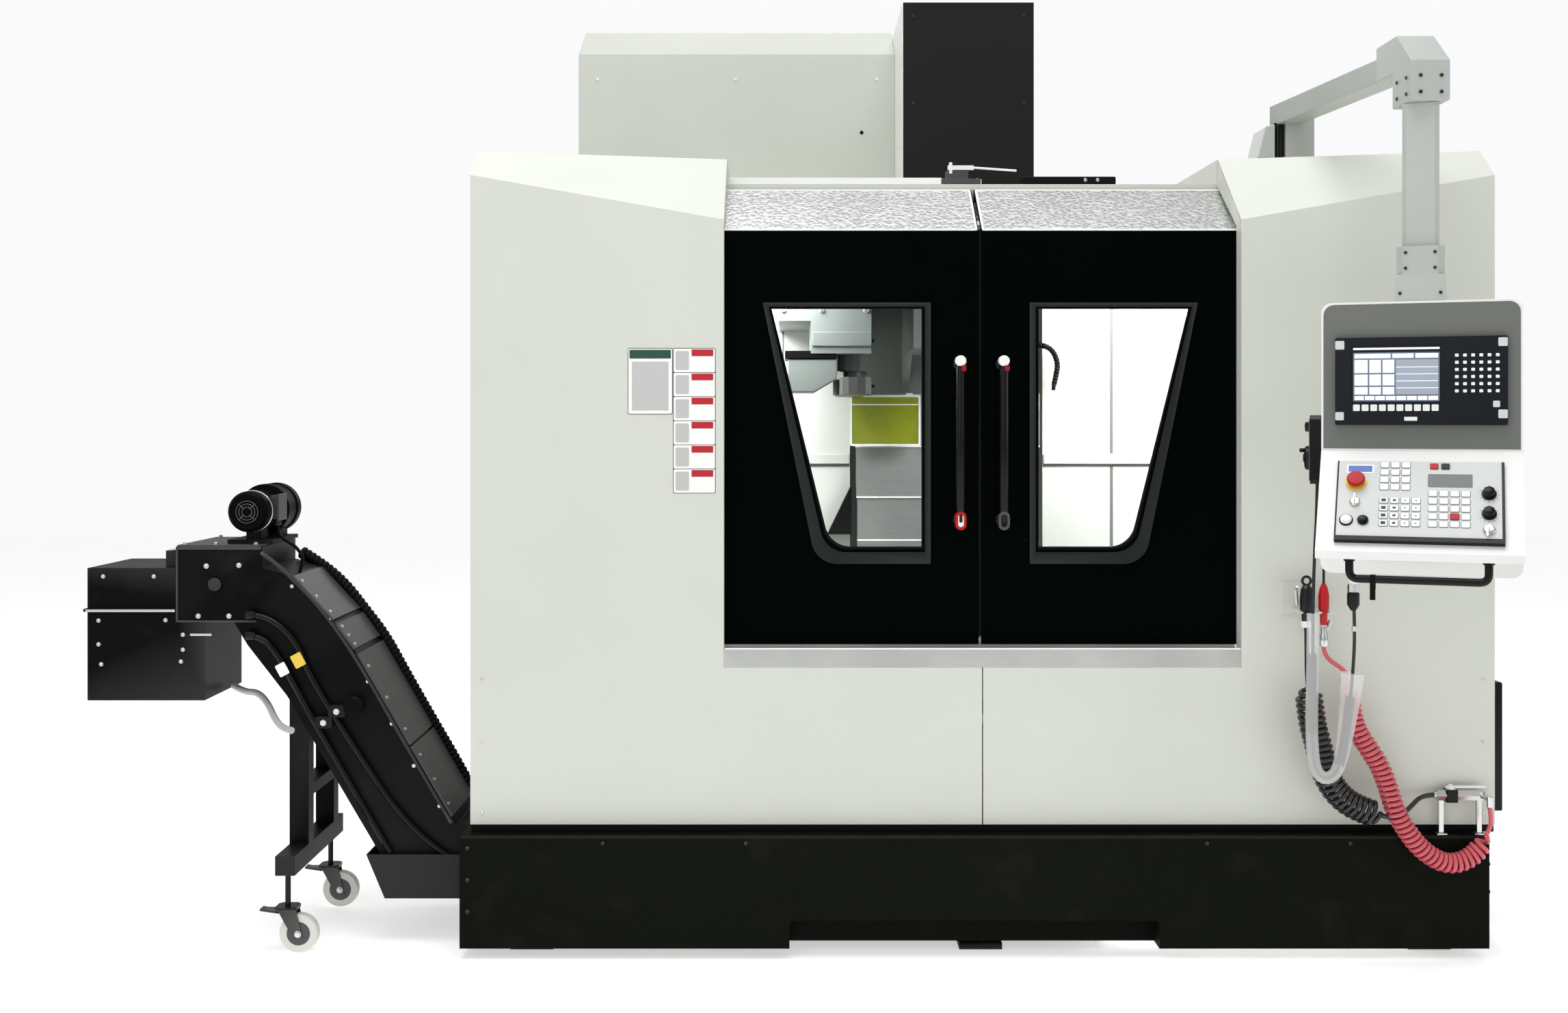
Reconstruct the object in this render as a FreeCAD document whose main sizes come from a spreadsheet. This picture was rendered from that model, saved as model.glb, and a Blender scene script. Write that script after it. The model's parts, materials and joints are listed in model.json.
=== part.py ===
"""Vertical machining center with a side chip conveyor, millimetres, +Z up, front towards -Y.

The origin is on the floor, at the centre of the anchor holes of the levelling feet. X = 0 is the
middle of the enclosure, and the door plane looks along -Y.
"""

import FreeCAD, Part
import math
import os
import re
import Sketcher

# Driving dimensions. Each has an alias in the sheet, and every sketch and feature is bound to it.
SIZES = {
    # enclosure and base
    "enclosure_width": 2600.0,
    "enclosure_depth": 2000.0,
    "panel_gauge": 3.0,
    "panel_bottom": 330.0,
    "roof_high": 2050.0,
    "wing_drop_outer": 75.0,
    "wing_drop_inner": 188.0,
    "bevel_rise": 0.8,
    "opening_half": 657.0,
    "centre_roof_high": 1985.0,
    "centre_roof_front": 245.0,
    "base_top": 310.0,
    "base_bottom": 27.0,
    "base_width": 2590.0,
    "base_shift": -25.0,
    "base_reach": 40.0,
    "base_wall": 6.0,
    "base_deck": 110.0,
    "base_bar": 60.0,
    "bed_low": 60.0,
    "toe_left": -490.0,
    "toe_right": 440.0,
    "toe_high": 97.0,
    "toe_corner": 14.0,
    "toe_deep": 66.0,
    "bar_left": -900.0,
    "bar_right": 180.0,
    "sill_bottom": 728.0,
    "sill_top": 773.0,
    "sill_deep": 108.0,
    "rib_high": 22.0,
    "seam_gap": 3.0,
    # feet
    "anchor_span_x": 2300.0,
    "anchor_span_y": 1720.0,
    "anchor_hole": 18.0,
    "foot_pad": 110.0,
    "foot_thick": 16.0,
    "foot_stem": 30.0,
    # doors
    "door_inset": 60.0,
    "door_width": 687.0,
    "door_gap": 6.0,
    "door_bottom": 779.0,
    "door_top": 1842.0,
    "door_strip_top": 1972.0,
    "door_strip_run": 180.0,
    "door_flange": 34.0,
    "jamb_clearance": 12.0,
    "frame_inner": 128.0,
    "frame_outer_top": 558.0,
    "frame_outer_low": 421.0,
    "frame_low": 988.0,
    "frame_high": 1657.0,
    "frame_proud": 8.0,
    "frame_band": 26.0,
    "frame_corner": 66.0,
    "glass_lap": 12.0,
    "glass_thick": 6.0,
    "handle_offset": 55.0,
    "handle_low": 1082.0,
    "handle_high": 1518.0,
    "handle_tube": 24.0,
    "handle_stand": 50.0,
    # bed, column, table
    "bed_half": 400.0,
    "bed_front": 850.0,
    "bed_back": 650.0,
    "bed_high": 560.0,
    "rail_wide": 36.0,
    "rail_high": 30.0,
    "rail_offset": 200.0,
    "running_gap": 0.3,
    "column_half": 280.0,
    "column_deep": 600.0,
    "column_shoulder": 1960.0,
    "column_top": 2400.0,
    "column_neck_half": 130.0,
    "spindle_reach": 450.0,
    "saddle_half": 260.0,
    "saddle_deep": 460.0,
    "saddle_high": 110.0,
    "table_long": 900.0,
    "table_deep": 410.0,
    "table_thick": 90.0,
    "slot_wide": 18.0,
    "slot_pitch": 100.0,
    "slot_deep": 32.0,
    # head, spindle, covers
    "head_half": 140.0,
    "head_low": 1555.0,
    "head_high": 1900.0,
    "carriage_low": 1437.0,
    "carriage_high": 1940.0,
    "carriage_half": 250.0,
    "carriage_thick": 45.0,
    "spindle_housing": 200.0,
    "spindle_bore": 90.0,
    "spindle_clear": 0.05,
    "spindle_nose": 1485.0,
    "taper_mouth": 44.45,
    "taper_long": 68.0,
    "cover_plate_gap": 0.5,
    "cover_upper_low": 1270.0,
    "cover_middle_low": 1113.0,
    "cover_lower_low": 900.0,
    "cover_overlap": 12.0,
    "cover_half": 285.0,
    "cover_stand": 62.0,
    # tool changer
    "changer_left": 520.0,
    "changer_right": 262.0,
    "changer_front": 600.0,
    "changer_low": 1540.0,
    "arm_axis": 310.0,
    "arm_low": 1425.0,
    "arm_thick": 45.0,
    "arm_wide": 76.0,
    "arm_claw": 45.0,
    "magazine_x": 730.0,
    "magazine_y": 250.0,
    "magazine_z": 1950.0,
    "magazine_radius": 400.0,
    "magazine_thick": 60.0,
    "pot_count": 16.0,
    "pot_radius": 42.0,
    # top covers
    "mag_cover_left": 1160.0,
    "mag_cover_right": 152.0,
    "mag_cover_front": 100.0,
    "mag_cover_back": 700.0,
    "mag_cover_top": 2520.0,
    "mag_cover_crown": 2630.0,
    "head_cover_left": 150.0,
    "head_cover_right": 240.0,
    "head_cover_front": 250.0,
    "head_cover_back": 650.0,
    "head_cover_top": 2600.0,
    # rear cabinet
    "cabinet_left": 620.0,
    "cabinet_right": 900.0,
    "cabinet_low": 420.0,
    "cabinet_high": 1930.0,
    "cabinet_deep": 280.0,
    # chip conveyor and tank
    "conveyor_front": 880.0,
    "conveyor_wide": 300.0,
    "conveyor_wall": 4.0,
    "conveyor_end": 300.0,
    "tank_low": 115.0,
    "tank_high": 229.0,
    "tank_side": 25.0,
    "tank_end": 1588.0,
    "hood_left": 2322.0,
    "hood_right": 2015.0,
    "hood_low": 624.0,
    "hood_high": 970.0,
    "drum_x": 1988.0,
    "drum_z": 927.5,
    "shaft_size": 35.0,
    "sprocket_size": 132.4,
    "motor_x": 1910.0,
    "motor_z": 1115.0,
    "motor_size": 100.0,
    "reducer_size": 135.0,
    "post_x": 1770.0,
    "post_size": 50.0,
    "beam_low": 200.0,
    "caster_front": 975.0,
    "caster_rear": 570.0,
    "caster_wheel": 98.0,
    "caster_width": 26.0,
    "caster_trail": 30.0,
    # support arm and pendant
    "arm_pivot_x": 897.0,
    "arm_pivot_y": 520.0,
    "support_low": 2125.0,
    "support_size": 66.0,
    "elbow_size": 165.0,
    "elbow_low": 2092.0,
    "elbow_high": 2268.0,
    "pendant_x": 985.0,
    "pendant_y": 1340.0,
    "pendant_yaw": -22.0,
    "pendant_width": 436.0,
    "pendant_top": 1631.0,
    "pendant_split": 1284.0,
    "pendant_lip": 1063.0,
    "pendant_under": 1045.0,
    "pendant_low": 1000.0,
    "pendant_deep": 60.0,
    "console_reach": 235.0,
    "post_tube": 80.0,
    "collar_low": 1693.0,
    "display_width": 372.0,
    "display_low": 1345.0,
    "display_high": 1548.0,
    "bezel_thick": 14.0,
    "operator_width": 354.0,
    "operator_thick": 8.0,
    "operator_deep": 212.0,
    "operator_bar": 12.0,
    "estop_size": 40.0,
    "estop_stem": 18.0,
    "estop_travel": 5.0,
    "pull_span": 290.0,
    "pull_tube": 15.0,
    "wheel_knob": 58.0,
    # guns, hoses and valve
    "gun_plane": 1062.0,
    "black_gun_x": 803.0,
    "red_gun_x": 846.0,
    "gun_shelf": 878.0,
    "black_grip": 26.0,
    "red_grip": 18.0,
    "hose_size": 9.0,
    "black_coil": 70.0,
    "red_coil": 50.0,
    "cable_size": 6.0,
    "valve_left": 1142.0,
    "valve_right": 1264.0,
    "valve_z": 410.0,
    "valve_y": 1021.0,
    "valve_size": 30.0,
}

BLACK_TURNS = 4
RED_TURNS = 6
CORD_SIDES = 6
CABLE_SIDES = 4

doc = FreeCAD.newDocument("MachiningCenter")
sheet = doc.addObject("Spreadsheet::Sheet", "Sizes")
for line, (alias, default) in enumerate(SIZES.items(), 1):
    sheet.set(f"A{line}", alias)
    sheet.set(f"B{line}", str(default))
    sheet.setAlias(f"B{line}", alias)
doc.recompute()

ALIAS = re.compile(r"\b(" + "|".join(SIZES) + r")\b")
PARTS = []


def bound(text):
    """The expression with each alias written as a cell of the sheet."""
    return ALIAS.sub(r"Sizes.\1", str(text))


def number(text):
    """The value of an expression, in millimetres."""
    value = sheet.evalExpression(bound(text))
    return float(getattr(value, "Value", value))


def minus(text):
    """The same length on the other side of zero."""
    return f"(-1) * ({text})"


def keep(thing, label):
    """Names a finished sub-part."""
    thing.Label = label
    PARTS.append(thing)
    return thing


def new_body(label):
    """An empty body that is one sub-part."""
    return keep(doc.addObject("PartDesign::Body", "Body"), label)


def place_on_pendant(thing):
    """Stands a sub-part that is drawn about the pendant's axis in its place, turned to the operator."""
    thing.Placement.Rotation = FreeCAD.Rotation(FreeCAD.Vector(0, 0, 1), number("pendant_yaw"))
    thing.setExpression("Placement.Base.x", bound("pendant_x"))
    thing.setExpression("Placement.Base.y", bound("-pendant_y"))
    thing.setExpression("Placement.Rotation.Angle", bound("pendant_yaw"))
    return thing


def start_sketch(body, plane, start, end):
    """A sketch half way between start and end, square to the plane's axis."""
    sketch = body.newObject("Sketcher::SketchObject", "Outline")
    for feature in body.Origin.OriginFeatures:
        if feature.Role == plane + "_Plane":
            sketch.AttachmentSupport = (feature, [""])
    sketch.MapMode = "FlatFace"
    side = "-1" if plane == "XZ" else "1"
    sketch.setExpression("AttachmentOffset.Base.z", bound(f"{side} * (({start}) + ({end})) / 2"))
    return sketch


def spot_of(corner):
    """The point of a corner or a circle's centre."""
    return FreeCAD.Vector(number(corner[0]), number(corner[1]), 0)


class Rules:
    """The constraints of one sketch, gathered so that they are added in one go."""

    def __init__(self, sketch):
        self.sketch = sketch
        self.made = []
        self.texts = []

    def add(self, *rule):
        """A plain constraint."""
        self.made.append(Sketcher.Constraint(*rule))

    def size(self, text, *rule):
        """A constraint whose value follows an expression."""
        self.texts.append((len(self.made), text))
        self.add(*rule, number(text))

    def hold(self, geometry, point, corner):
        """Holds a point at its distances from the origin."""
        self.size(corner[0], "DistanceX", -1, 1, geometry, point)
        self.size(corner[1], "DistanceY", -1, 1, geometry, point)

    def apply(self):
        """Adds them all to the sketch."""
        self.sketch.addConstraint(self.made)
        for index, text in self.texts:
            self.sketch.setExpression(f"Constraints[{index}]", bound(text))


def draw(sketch, outlines, circles=()):
    """Closed outlines and full circles, each point held by the sheet.

    A corner is (x, y) or, where it is rounded, (x, y, radius). A circle is (x, y, diameter).
    """
    rounded = [corner for corners in outlines for corner in corners if len(corner) == 3]
    rules = Rules(sketch)
    shapes = []
    mark = 0
    for corners in outlines:
        spots = [spot_of(corner) for corner in corners]
        count = len(corners)
        ways = [(spots[(i + 1) % count] - spots[i]).normalize() for i in range(count)]
        turns = [ways[i - 1].getAngle(ways[i]) for i in range(count)]
        starts = list(spots)
        ends = [spots[(i + 1) % count] for i in range(count)]
        for i, corner in enumerate(corners):
            if len(corner) == 3:
                run = number(corner[2]) * math.tan(turns[i] / 2)
                starts[i] = spots[i] + ways[i] * run
                ends[i - 1] = spots[i] - ways[i - 1] * run
        base = len(rounded) + len(shapes)
        shapes += [Part.LineSegment(starts[i], ends[i]) for i in range(count)]
        for i, corner in enumerate(corners):
            into, out = base + (i - 1) % count, base + i
            if len(corner) == 2:
                rules.add("Coincident", into, 2, out, 1)
                rules.hold(out, 1, corner)
                continue
            radius = number(corner[2])
            inward = (ways[i] - ways[i - 1]).normalize()
            centre = spots[i] + inward * (radius / math.cos(turns[i] / 2))
            arc = len(rounded) + len(shapes)
            shapes.append(Part.Arc(ends[i - 1], centre - inward * radius, starts[i]))
            first, last = (2, 1) if ways[i - 1].cross(ways[i]).z < 0 else (1, 2)
            rules.add("Tangent", into, 2, arc, first)
            rules.add("Tangent", out, 1, arc, last)
            rules.size(corner[2], "Radius", arc)
            rules.add("PointOnObject", mark, 1, into)
            rules.add("PointOnObject", mark, 1, out)
            rules.hold(mark, 1, corner)
            mark += 1
    for circle in circles:
        ring = len(rounded) + len(shapes)
        shapes.append(Part.Circle(spot_of(circle), FreeCAD.Vector(0, 0, 1), number(circle[2]) / 2))
        rules.size(circle[2], "Diameter", ring)
        rules.hold(ring, 3, circle)
    if rounded:
        sketch.addGeometry([Part.Point(spot_of(corner)) for corner in rounded], True)
    sketch.addGeometry(shapes, False)
    rules.apply()


def extrude(body, kind, plane, start, end, outlines=(), circles=()):
    """A pad or a pocket of outlines or circles, from start to end along the plane's axis."""
    sketch = start_sketch(body, plane, start, end)
    draw(sketch, outlines, circles)
    feature = body.newObject("PartDesign::" + kind, kind)
    feature.Profile = sketch
    feature.SideType = "Symmetric"
    feature.setExpression("Length", bound(f"({end}) - ({start})"))
    return feature


def pad(body, plane, start, end, *outlines):
    """Adds outlines from start to end."""
    return extrude(body, "Pad", plane, start, end, outlines)


def cut(body, plane, start, end, *outlines):
    """Takes outlines away from start to end."""
    return extrude(body, "Pocket", plane, start, end, outlines)


def peg(body, plane, start, end, x, y, diameter):
    """Adds a cylinder from start to end."""
    return extrude(body, "Pad", plane, start, end, circles=[(x, y, diameter)])


def bore(body, plane, start, end, x, y, diameter):
    """Takes a cylinder away from start to end."""
    return extrude(body, "Pocket", plane, start, end, circles=[(x, y, diameter)])


def box(x0, x1, y0, y1, round_by=None):
    """The four corners of a rectangle."""
    spots = [(x0, y0), (x1, y0), (x1, y1), (x0, y1)]
    if round_by:
        return [(x, y, round_by) for x, y in spots]
    return spots


def bevelled(x0, x1, y0, y1, cut_by):
    """A rectangle with its four corners cut off."""
    return [
        (f"{x0} + {cut_by}", y0),
        (f"{x1} - {cut_by}", y0),
        (x1, f"{y0} + {cut_by}"),
        (x1, f"{y1} - {cut_by}"),
        (f"{x1} - {cut_by}", y1),
        (f"{x0} + {cut_by}", y1),
        (x0, f"{y1} - {cut_by}"),
        (x0, f"{y0} + {cut_by}"),
    ]


def ring(x, y, size, sides, phase=0.0):
    """Corners of a regular outline whose corners lie on a circle."""
    corners = []
    for step in range(sides):
        way = 2 * math.pi * (step + phase) / sides
        corner_x = f"{x} + ({size}) / 2 * {math.cos(way):.5f}"
        corner_y = f"{y} + ({size}) / 2 * {math.sin(way):.5f}"
        corners.append((corner_x, corner_y))
    return corners


def prism(body, plane, start, end, x, y, size, sides, phase=0.0):
    """Adds a regular prism from start to end."""
    return pad(body, plane, start, end, ring(x, y, size, sides, phase))


def block(body, x, y, z):
    """Adds a box, each side given as (from, to)."""
    return pad(body, "XY", z[0], z[1], box(x[0], x[1], y[0], y[1]))


def hollow(body, x, y, z):
    """Takes a box away, each side given as (from, to)."""
    return cut(body, "XY", z[0], z[1], box(x[0], x[1], y[0], y[1]))


def flipped(corners, side):
    """The outline as it is drawn, or on the other side of X = 0 where side is -1."""
    if side > 0:
        return corners
    return [(minus(c[0]),) + tuple(c[1:]) for c in reversed(corners)]


def span(side, near, far):
    """From near to far, or the mirrored span in rising order where side is -1."""
    return (near, far) if side > 0 else (minus(far), minus(near))


def loft(body, plane, sections):
    """A ruled loft through outlines, each given as (place, corners)."""
    sketches = []
    for place, corners in sections:
        sketch = start_sketch(body, plane, place, place)
        draw(sketch, [corners])
        sketches.append(sketch)
    feature = body.newObject("PartDesign::AdditiveLoft", "Loft")
    feature.Profile = sketches[0]
    feature.Sections = sketches[1:]
    feature.Ruled = True
    return feature


def grid(body, feature, columns, pitch_x, rows, pitch_y):
    """Repeats a pad in columns and rows along its sketch's axes."""
    sketch = feature.Profile[0]
    steps = []
    for count, pitch, axis in ((columns, pitch_x, "H_Axis"), (rows, pitch_y, "V_Axis")):
        if count < 2:
            continue
        step = body.newObject("PartDesign::LinearPattern", "Row")
        step.Direction = (sketch, [axis])
        step.Occurrences = count
        step.Length = (count - 1) * pitch
        steps.append(step)
    pattern = body.newObject("PartDesign::MultiTransform", "Keys")
    pattern.Originals = [feature]
    pattern.Transformations = steps
    body.Tip = pattern
    return pattern


def round_edges(body, radius, wanted):
    """Rounds the edges of a body that wanted picks."""
    doc.recompute()
    sharp = body.Tip
    names = [f"Edge{i + 1}" for i, edge in enumerate(sharp.Shape.Edges) if wanted(edge)]
    feature = body.newObject("PartDesign::Fillet", "Fillet")
    feature.Base = (sharp, names)
    feature.setExpression("Radius", bound(radius))
    return feature


def along(direction, longer_than=0.0):
    """Picks straight edges along a direction."""
    way = FreeCAD.Vector(*direction)

    def wanted(edge):
        if edge.Curve.TypeId != "Part::GeomLine" or edge.Length < longer_than:
            return False
        return abs(edge.Curve.Direction.dot(way)) > 0.999

    return wanted


# Places that several sub-parts share.
FRONT = "-enclosure_depth / 2"
BACK = "enclosure_depth / 2"
SIDE = "enclosure_width / 2"
DOOR = f"({FRONT} + door_inset)"
STRIP_BACK = f"({DOOR} + door_strip_run)"
OUTER_TOP = "(roof_high - wing_drop_outer)"
INNER_TOP = "(roof_high - wing_drop_inner)"
OUTER_RUN = "(wing_drop_outer / bevel_rise)"
INNER_RUN = "(wing_drop_inner / bevel_rise)"
RAIL_TOP = "(bed_high + rail_high)"
SADDLE_TOP = f"({RAIL_TOP} + running_gap + saddle_high)"
TABLE_LOW = f"({SADDLE_TOP} + running_gap)"
TABLE_TOP = f"({TABLE_LOW} + table_thick)"
BASE_LEFT = "(base_shift - base_width / 2)"
BASE_RIGHT = "(base_shift + base_width / 2)"
BASE_FRONT = f"({FRONT} - base_reach)"
ROOF_TOP = "(roof_high + panel_gauge)"
CENTRE_TOP = "(centre_roof_high + panel_gauge)"
CONVEYOR_BACK = "(conveyor_wide - conveyor_front)"
TANK_FRONT = "(-conveyor_front - tank_side)"
TANK_BACK = f"({CONVEYOR_BACK} + tank_side)"


def base_pan():
    """Welded sheet base with a top deck, a recessed toe space at the front and a side opening for the conveyor."""
    body = new_body("base_pan")
    block(body, (BASE_LEFT, BASE_RIGHT), (BASE_FRONT, BACK), ("base_bottom", "base_top"))
    inner_x = (f"{BASE_LEFT} + base_wall", f"{BASE_RIGHT} - base_wall")
    inner_y = (f"{BASE_FRONT} + base_wall", f"{BACK} - base_wall")
    hollow(body, inner_x, inner_y, ("base_bottom", "base_top - base_wall"))
    hollow(
        body,
        (f"{BASE_LEFT} + base_deck", f"{BASE_RIGHT} - base_deck"),
        (f"{FRONT} + base_deck", f"{BACK} - base_deck"),
        ("base_top - base_wall", "base_top"),
    )
    toe = [
        ("toe_left", "base_bottom"),
        ("toe_left", "toe_high", "toe_corner"),
        ("toe_right", "toe_high", "toe_corner"),
        ("toe_right", "base_bottom"),
    ]
    cut(body, "XZ", BASE_FRONT, f"{BASE_FRONT} + base_wall", toe)
    toe_x = ("toe_left - base_wall", "toe_right + base_wall")
    toe_y = (f"{BASE_FRONT} + base_wall", f"{BASE_FRONT} + toe_deep + base_wall")
    block(body, toe_x, toe_y, ("toe_high", "toe_high + base_wall"))
    block(body, toe_x, (f"{BASE_FRONT} + toe_deep", toe_y[1]), ("base_bottom", "toe_high + base_wall"))
    for cheek in ((toe_x[0], "toe_left"), ("toe_right", toe_x[1])):
        block(body, cheek, toe_y, ("base_bottom", "toe_high + base_wall"))
    side_hole = box(f"{TANK_FRONT} - 6", f"{TANK_BACK} + 6", "base_bottom", "base_top - base_wall")
    cut(body, "YZ", BASE_LEFT, f"{BASE_LEFT} + base_wall", side_hole)
    for middle in ("bar_left", "bar_right"):
        bar = (f"{middle} - base_bar / 2", f"{middle} + base_bar / 2")
        block(body, bar, (inner_y[0], f"{TANK_BACK} + 10"), ("toe_high", "tank_low"))
    for low in (f"{TANK_BACK} + 35", "bed_back - 130"):
        block(body, inner_x, (low, f"{low} + base_bar"), ("base_bottom", "bed_low"))
    return body


def levelling_feet():
    """Six floor plates with anchor holes, each with a levelling screw that carries the base deck."""
    feet = []
    for along_x in ("-1", "0", "1"):
        for along_y in ("-1", "1"):
            body = doc.addObject("PartDesign::Body", "Foot")
            at_x = f"{along_x} * anchor_span_x / 2"
            at_y = f"{along_y} * anchor_span_y / 2"
            near = f"{at_y} - {along_y} * foot_pad / 2"
            reach = f"{at_y} + {along_y} * foot_pad * 0.9"
            low, high = sorted((near, reach), key=number)
            plate = box(f"{at_x} - foot_pad / 2", f"{at_x} + foot_pad / 2", low, high)
            pad(body, "XY", "0", "foot_thick", plate)
            bore(body, "XY", "0", "foot_thick", at_x, at_y, "anchor_hole")
            screw_y = f"{reach} - {along_y} * 20"
            prism(body, "XY", "0", "base_top - base_wall", at_x, screw_y, "foot_stem", 6)
            feet.append(body)
    group = doc.addObject("Part::MultiFuse", "Feet")
    group.Shapes = feet
    return keep(group, "levelling_feet")


def machine_bed():
    """Cast bed under the table, standing behind the conveyor, with two guide rails along Y."""
    body = new_body("machine_bed")
    side_view = [
        (f"{TANK_BACK} + 15", "bed_low"),
        ("bed_back", "bed_low"),
        ("bed_back", "bed_high - 120"),
        ("20", "bed_high - 120"),
        ("-20", "bed_high"),
        ("-bed_front", "bed_high"),
        ("-bed_front", "bed_high - 130"),
        (f"{TANK_BACK} - 90", "base_top + 25"),
        (f"{TANK_BACK} + 15", "base_top + 25"),
    ]
    pad(body, "YZ", "-bed_half", "bed_half", side_view)
    for side in ("-1", "1"):
        middle = f"{side} * rail_offset"
        rail = (f"{middle} - rail_wide / 2", f"{middle} + rail_wide / 2")
        block(body, rail, ("20 - bed_front", "-40"), ("bed_high", RAIL_TOP))
    for side in ("-1", "1"):
        inner, outer = sorted((f"{side} * bed_half", f"{side} * (bed_half - 70)"), key=number)
        recess = box("-380", "bed_back - 100", "150", "base_top - 10")
        cut(body, "YZ", inner, outer, recess)
    return body


def column():
    """Ribbed cast column with two rails up its front and a narrower neck through the roof."""
    body = new_body("column")
    foot = "bed_high - 120"
    front_view = [
        ("-column_half - 60", foot),
        ("column_half + 60", foot),
        ("column_half", f"{foot} + 260"),
        ("column_half", "column_shoulder"),
        ("column_neck_half", "column_shoulder"),
        ("column_neck_half", "column_top"),
        ("-column_neck_half", "column_top"),
        ("-column_neck_half", "column_shoulder"),
        ("-column_half", "column_shoulder"),
        ("-column_half", f"{foot} + 260"),
    ]
    pad(body, "XZ", "rail_high", "column_deep", front_view)
    for side in ("-1", "1"):
        middle = f"{side} * rail_offset"
        rail = (f"{middle} - rail_wide / 2", f"{middle} + rail_wide / 2")
        block(body, rail, ("0", "rail_high"), ("880", "column_shoulder - 10"))
    window = bevelled("-column_half + 70", "column_half - 70", f"{foot} + 300", "column_shoulder - 200", "60")
    cut(body, "XZ", "column_deep - 250", "column_deep", window)
    return body


def folded_sheet(ends):
    """A solid between two like outlines, each given as (x, corners in Y and Z), with flat faces."""
    loops = []
    for x, corners in ends:
        spots = [(number(y), number(z)) for y, z in corners]
        loops.append([FreeCAD.Vector(number(x), y, z) for y, z in spots])
    near, far = loops
    outlines = [near, far]
    for i in range(len(near)):
        outlines.append([near[i - 1], near[i], far[i], far[i - 1]])
    faces = [Part.Face(Part.makePolygon(outline + outline[:1])) for outline in outlines]
    shell = Part.makeShell(faces)
    shell.sewShape()
    solid = Part.makeSolid(shell)
    if solid.Volume < 0:
        shell.reverse()
        solid = Part.makeSolid(shell)
    feature = doc.addObject("Part::Feature", "Wing")
    feature.Shape = solid
    return feature


def front_panel(side, label):
    """One folded sheet: the wing beside the doors with its sloped top, jamb and the panel below the sill."""
    body = new_body(label)
    low = ("seam_gap / 2", SIDE) if side > 0 else (minus(SIDE), "-seam_gap / 2")
    skin = (FRONT, f"{FRONT} + panel_gauge")

    def section(top, run):
        return [
            (skin[0], "sill_bottom"),
            (skin[1], "sill_bottom"),
            (skin[1], top),
            (f"{FRONT} + {run} + panel_gauge", "roof_high"),
            (f"{FRONT} + {run}", ROOF_TOP),
            (skin[0], f"{top} + panel_gauge"),
        ]

    inner = section(INNER_TOP, INNER_RUN)
    outer = section(OUTER_TOP, OUTER_RUN)
    ends = [("opening_half", inner), (SIDE, outer)]
    if side < 0:
        ends = [(minus(SIDE), outer), ("-opening_half", inner)]
    body.BaseFeature = folded_sheet(ends)
    pad(body, "XZ", skin[0], skin[1], box(low[0], low[1], "panel_bottom", "sill_bottom"))
    jamb = [
        (skin[1], "sill_bottom"),
        (f"{DOOR} - jamb_clearance", "sill_bottom"),
        (f"{DOOR} - jamb_clearance", "door_top + 12"),
        (f"{STRIP_BACK} + 4", "door_strip_top + 12"),
        (f"{FRONT} + {INNER_RUN}", "roof_high - 6"),
        (skin[1], f"{INNER_TOP} - 8"),
    ]
    edge = span(side, "opening_half", "opening_half + panel_gauge")
    pad(body, "YZ", edge[0], edge[1], jamb)
    foot = span(side, f"{SIDE} - 700", SIDE)
    block(body, foot, (skin[1], f"{skin[1]} + 25"), ("panel_bottom", "panel_bottom + panel_gauge"))
    return body


def gun_holder(body):
    """Bracket on the right wing with two forks that hold the guns."""
    plate = ("black_gun_x - 45", "red_gun_x + 22")
    block(body, plate, (f"{FRONT} - 4", FRONT), ("gun_shelf - 13", "gun_shelf + 67"))
    for middle, grip in (("black_gun_x", "black_grip"), ("red_gun_x", "red_grip")):
        shelf = (f"{middle} - 20", f"{middle} + 20")
        block(body, shelf, ("-gun_plane - 18", FRONT), ("gun_shelf - 4", "gun_shelf"))
        half = f"({grip} / 2 + 0.5)"
        slot = (f"{middle} - {half}", f"{middle} + {half}")
        hollow(body, slot, ("-gun_plane - 18", f"-gun_plane + {half}"), ("gun_shelf - 4", "gun_shelf"))


def side_panel(side, label):
    """Flat side sheet, cut along the slope of the wing top."""
    body = new_body(label)
    inner = f"{SIDE} - panel_gauge"
    slope = f"(wing_drop_inner - wing_drop_outer) * panel_gauge / ({SIDE} - opening_half)"
    profile = [
        (f"{FRONT} + panel_gauge", "panel_bottom + panel_gauge"),
        (f"{BACK} - panel_gauge", "panel_bottom + panel_gauge"),
        (f"{BACK} - panel_gauge", "roof_high"),
        (f"{FRONT} + {OUTER_RUN} + panel_gauge * 1.4", "roof_high"),
        (f"{FRONT} + panel_gauge", f"{OUTER_TOP} - panel_gauge * 0.6 - {slope}"),
    ]
    ends = span(side, inner, SIDE)
    pad(body, "YZ", ends[0], ends[1], profile)
    if side < 0:
        return body
    duct = bevelled(f"{FRONT} + 8", f"{FRONT} + 68", "362", "688", "6")
    pad(body, "YZ", SIDE, f"{SIDE} + 22", duct)
    return body


def rear_panel():
    """Rear sheet behind the column."""
    body = new_body("rear_panel")
    outline = box(minus(SIDE), SIDE, "panel_bottom", ROOF_TOP)
    pad(body, "XZ", f"{BACK} - panel_gauge", BACK, outline)
    hollow_x = ("-column_half - 90", "column_half + 90")
    vent = box(hollow_x[0], hollow_x[1], "panel_bottom + 30", "cabinet_low - 30")
    cut(body, "XZ", f"{BACK} - panel_gauge", BACK, vent)
    return body


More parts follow.
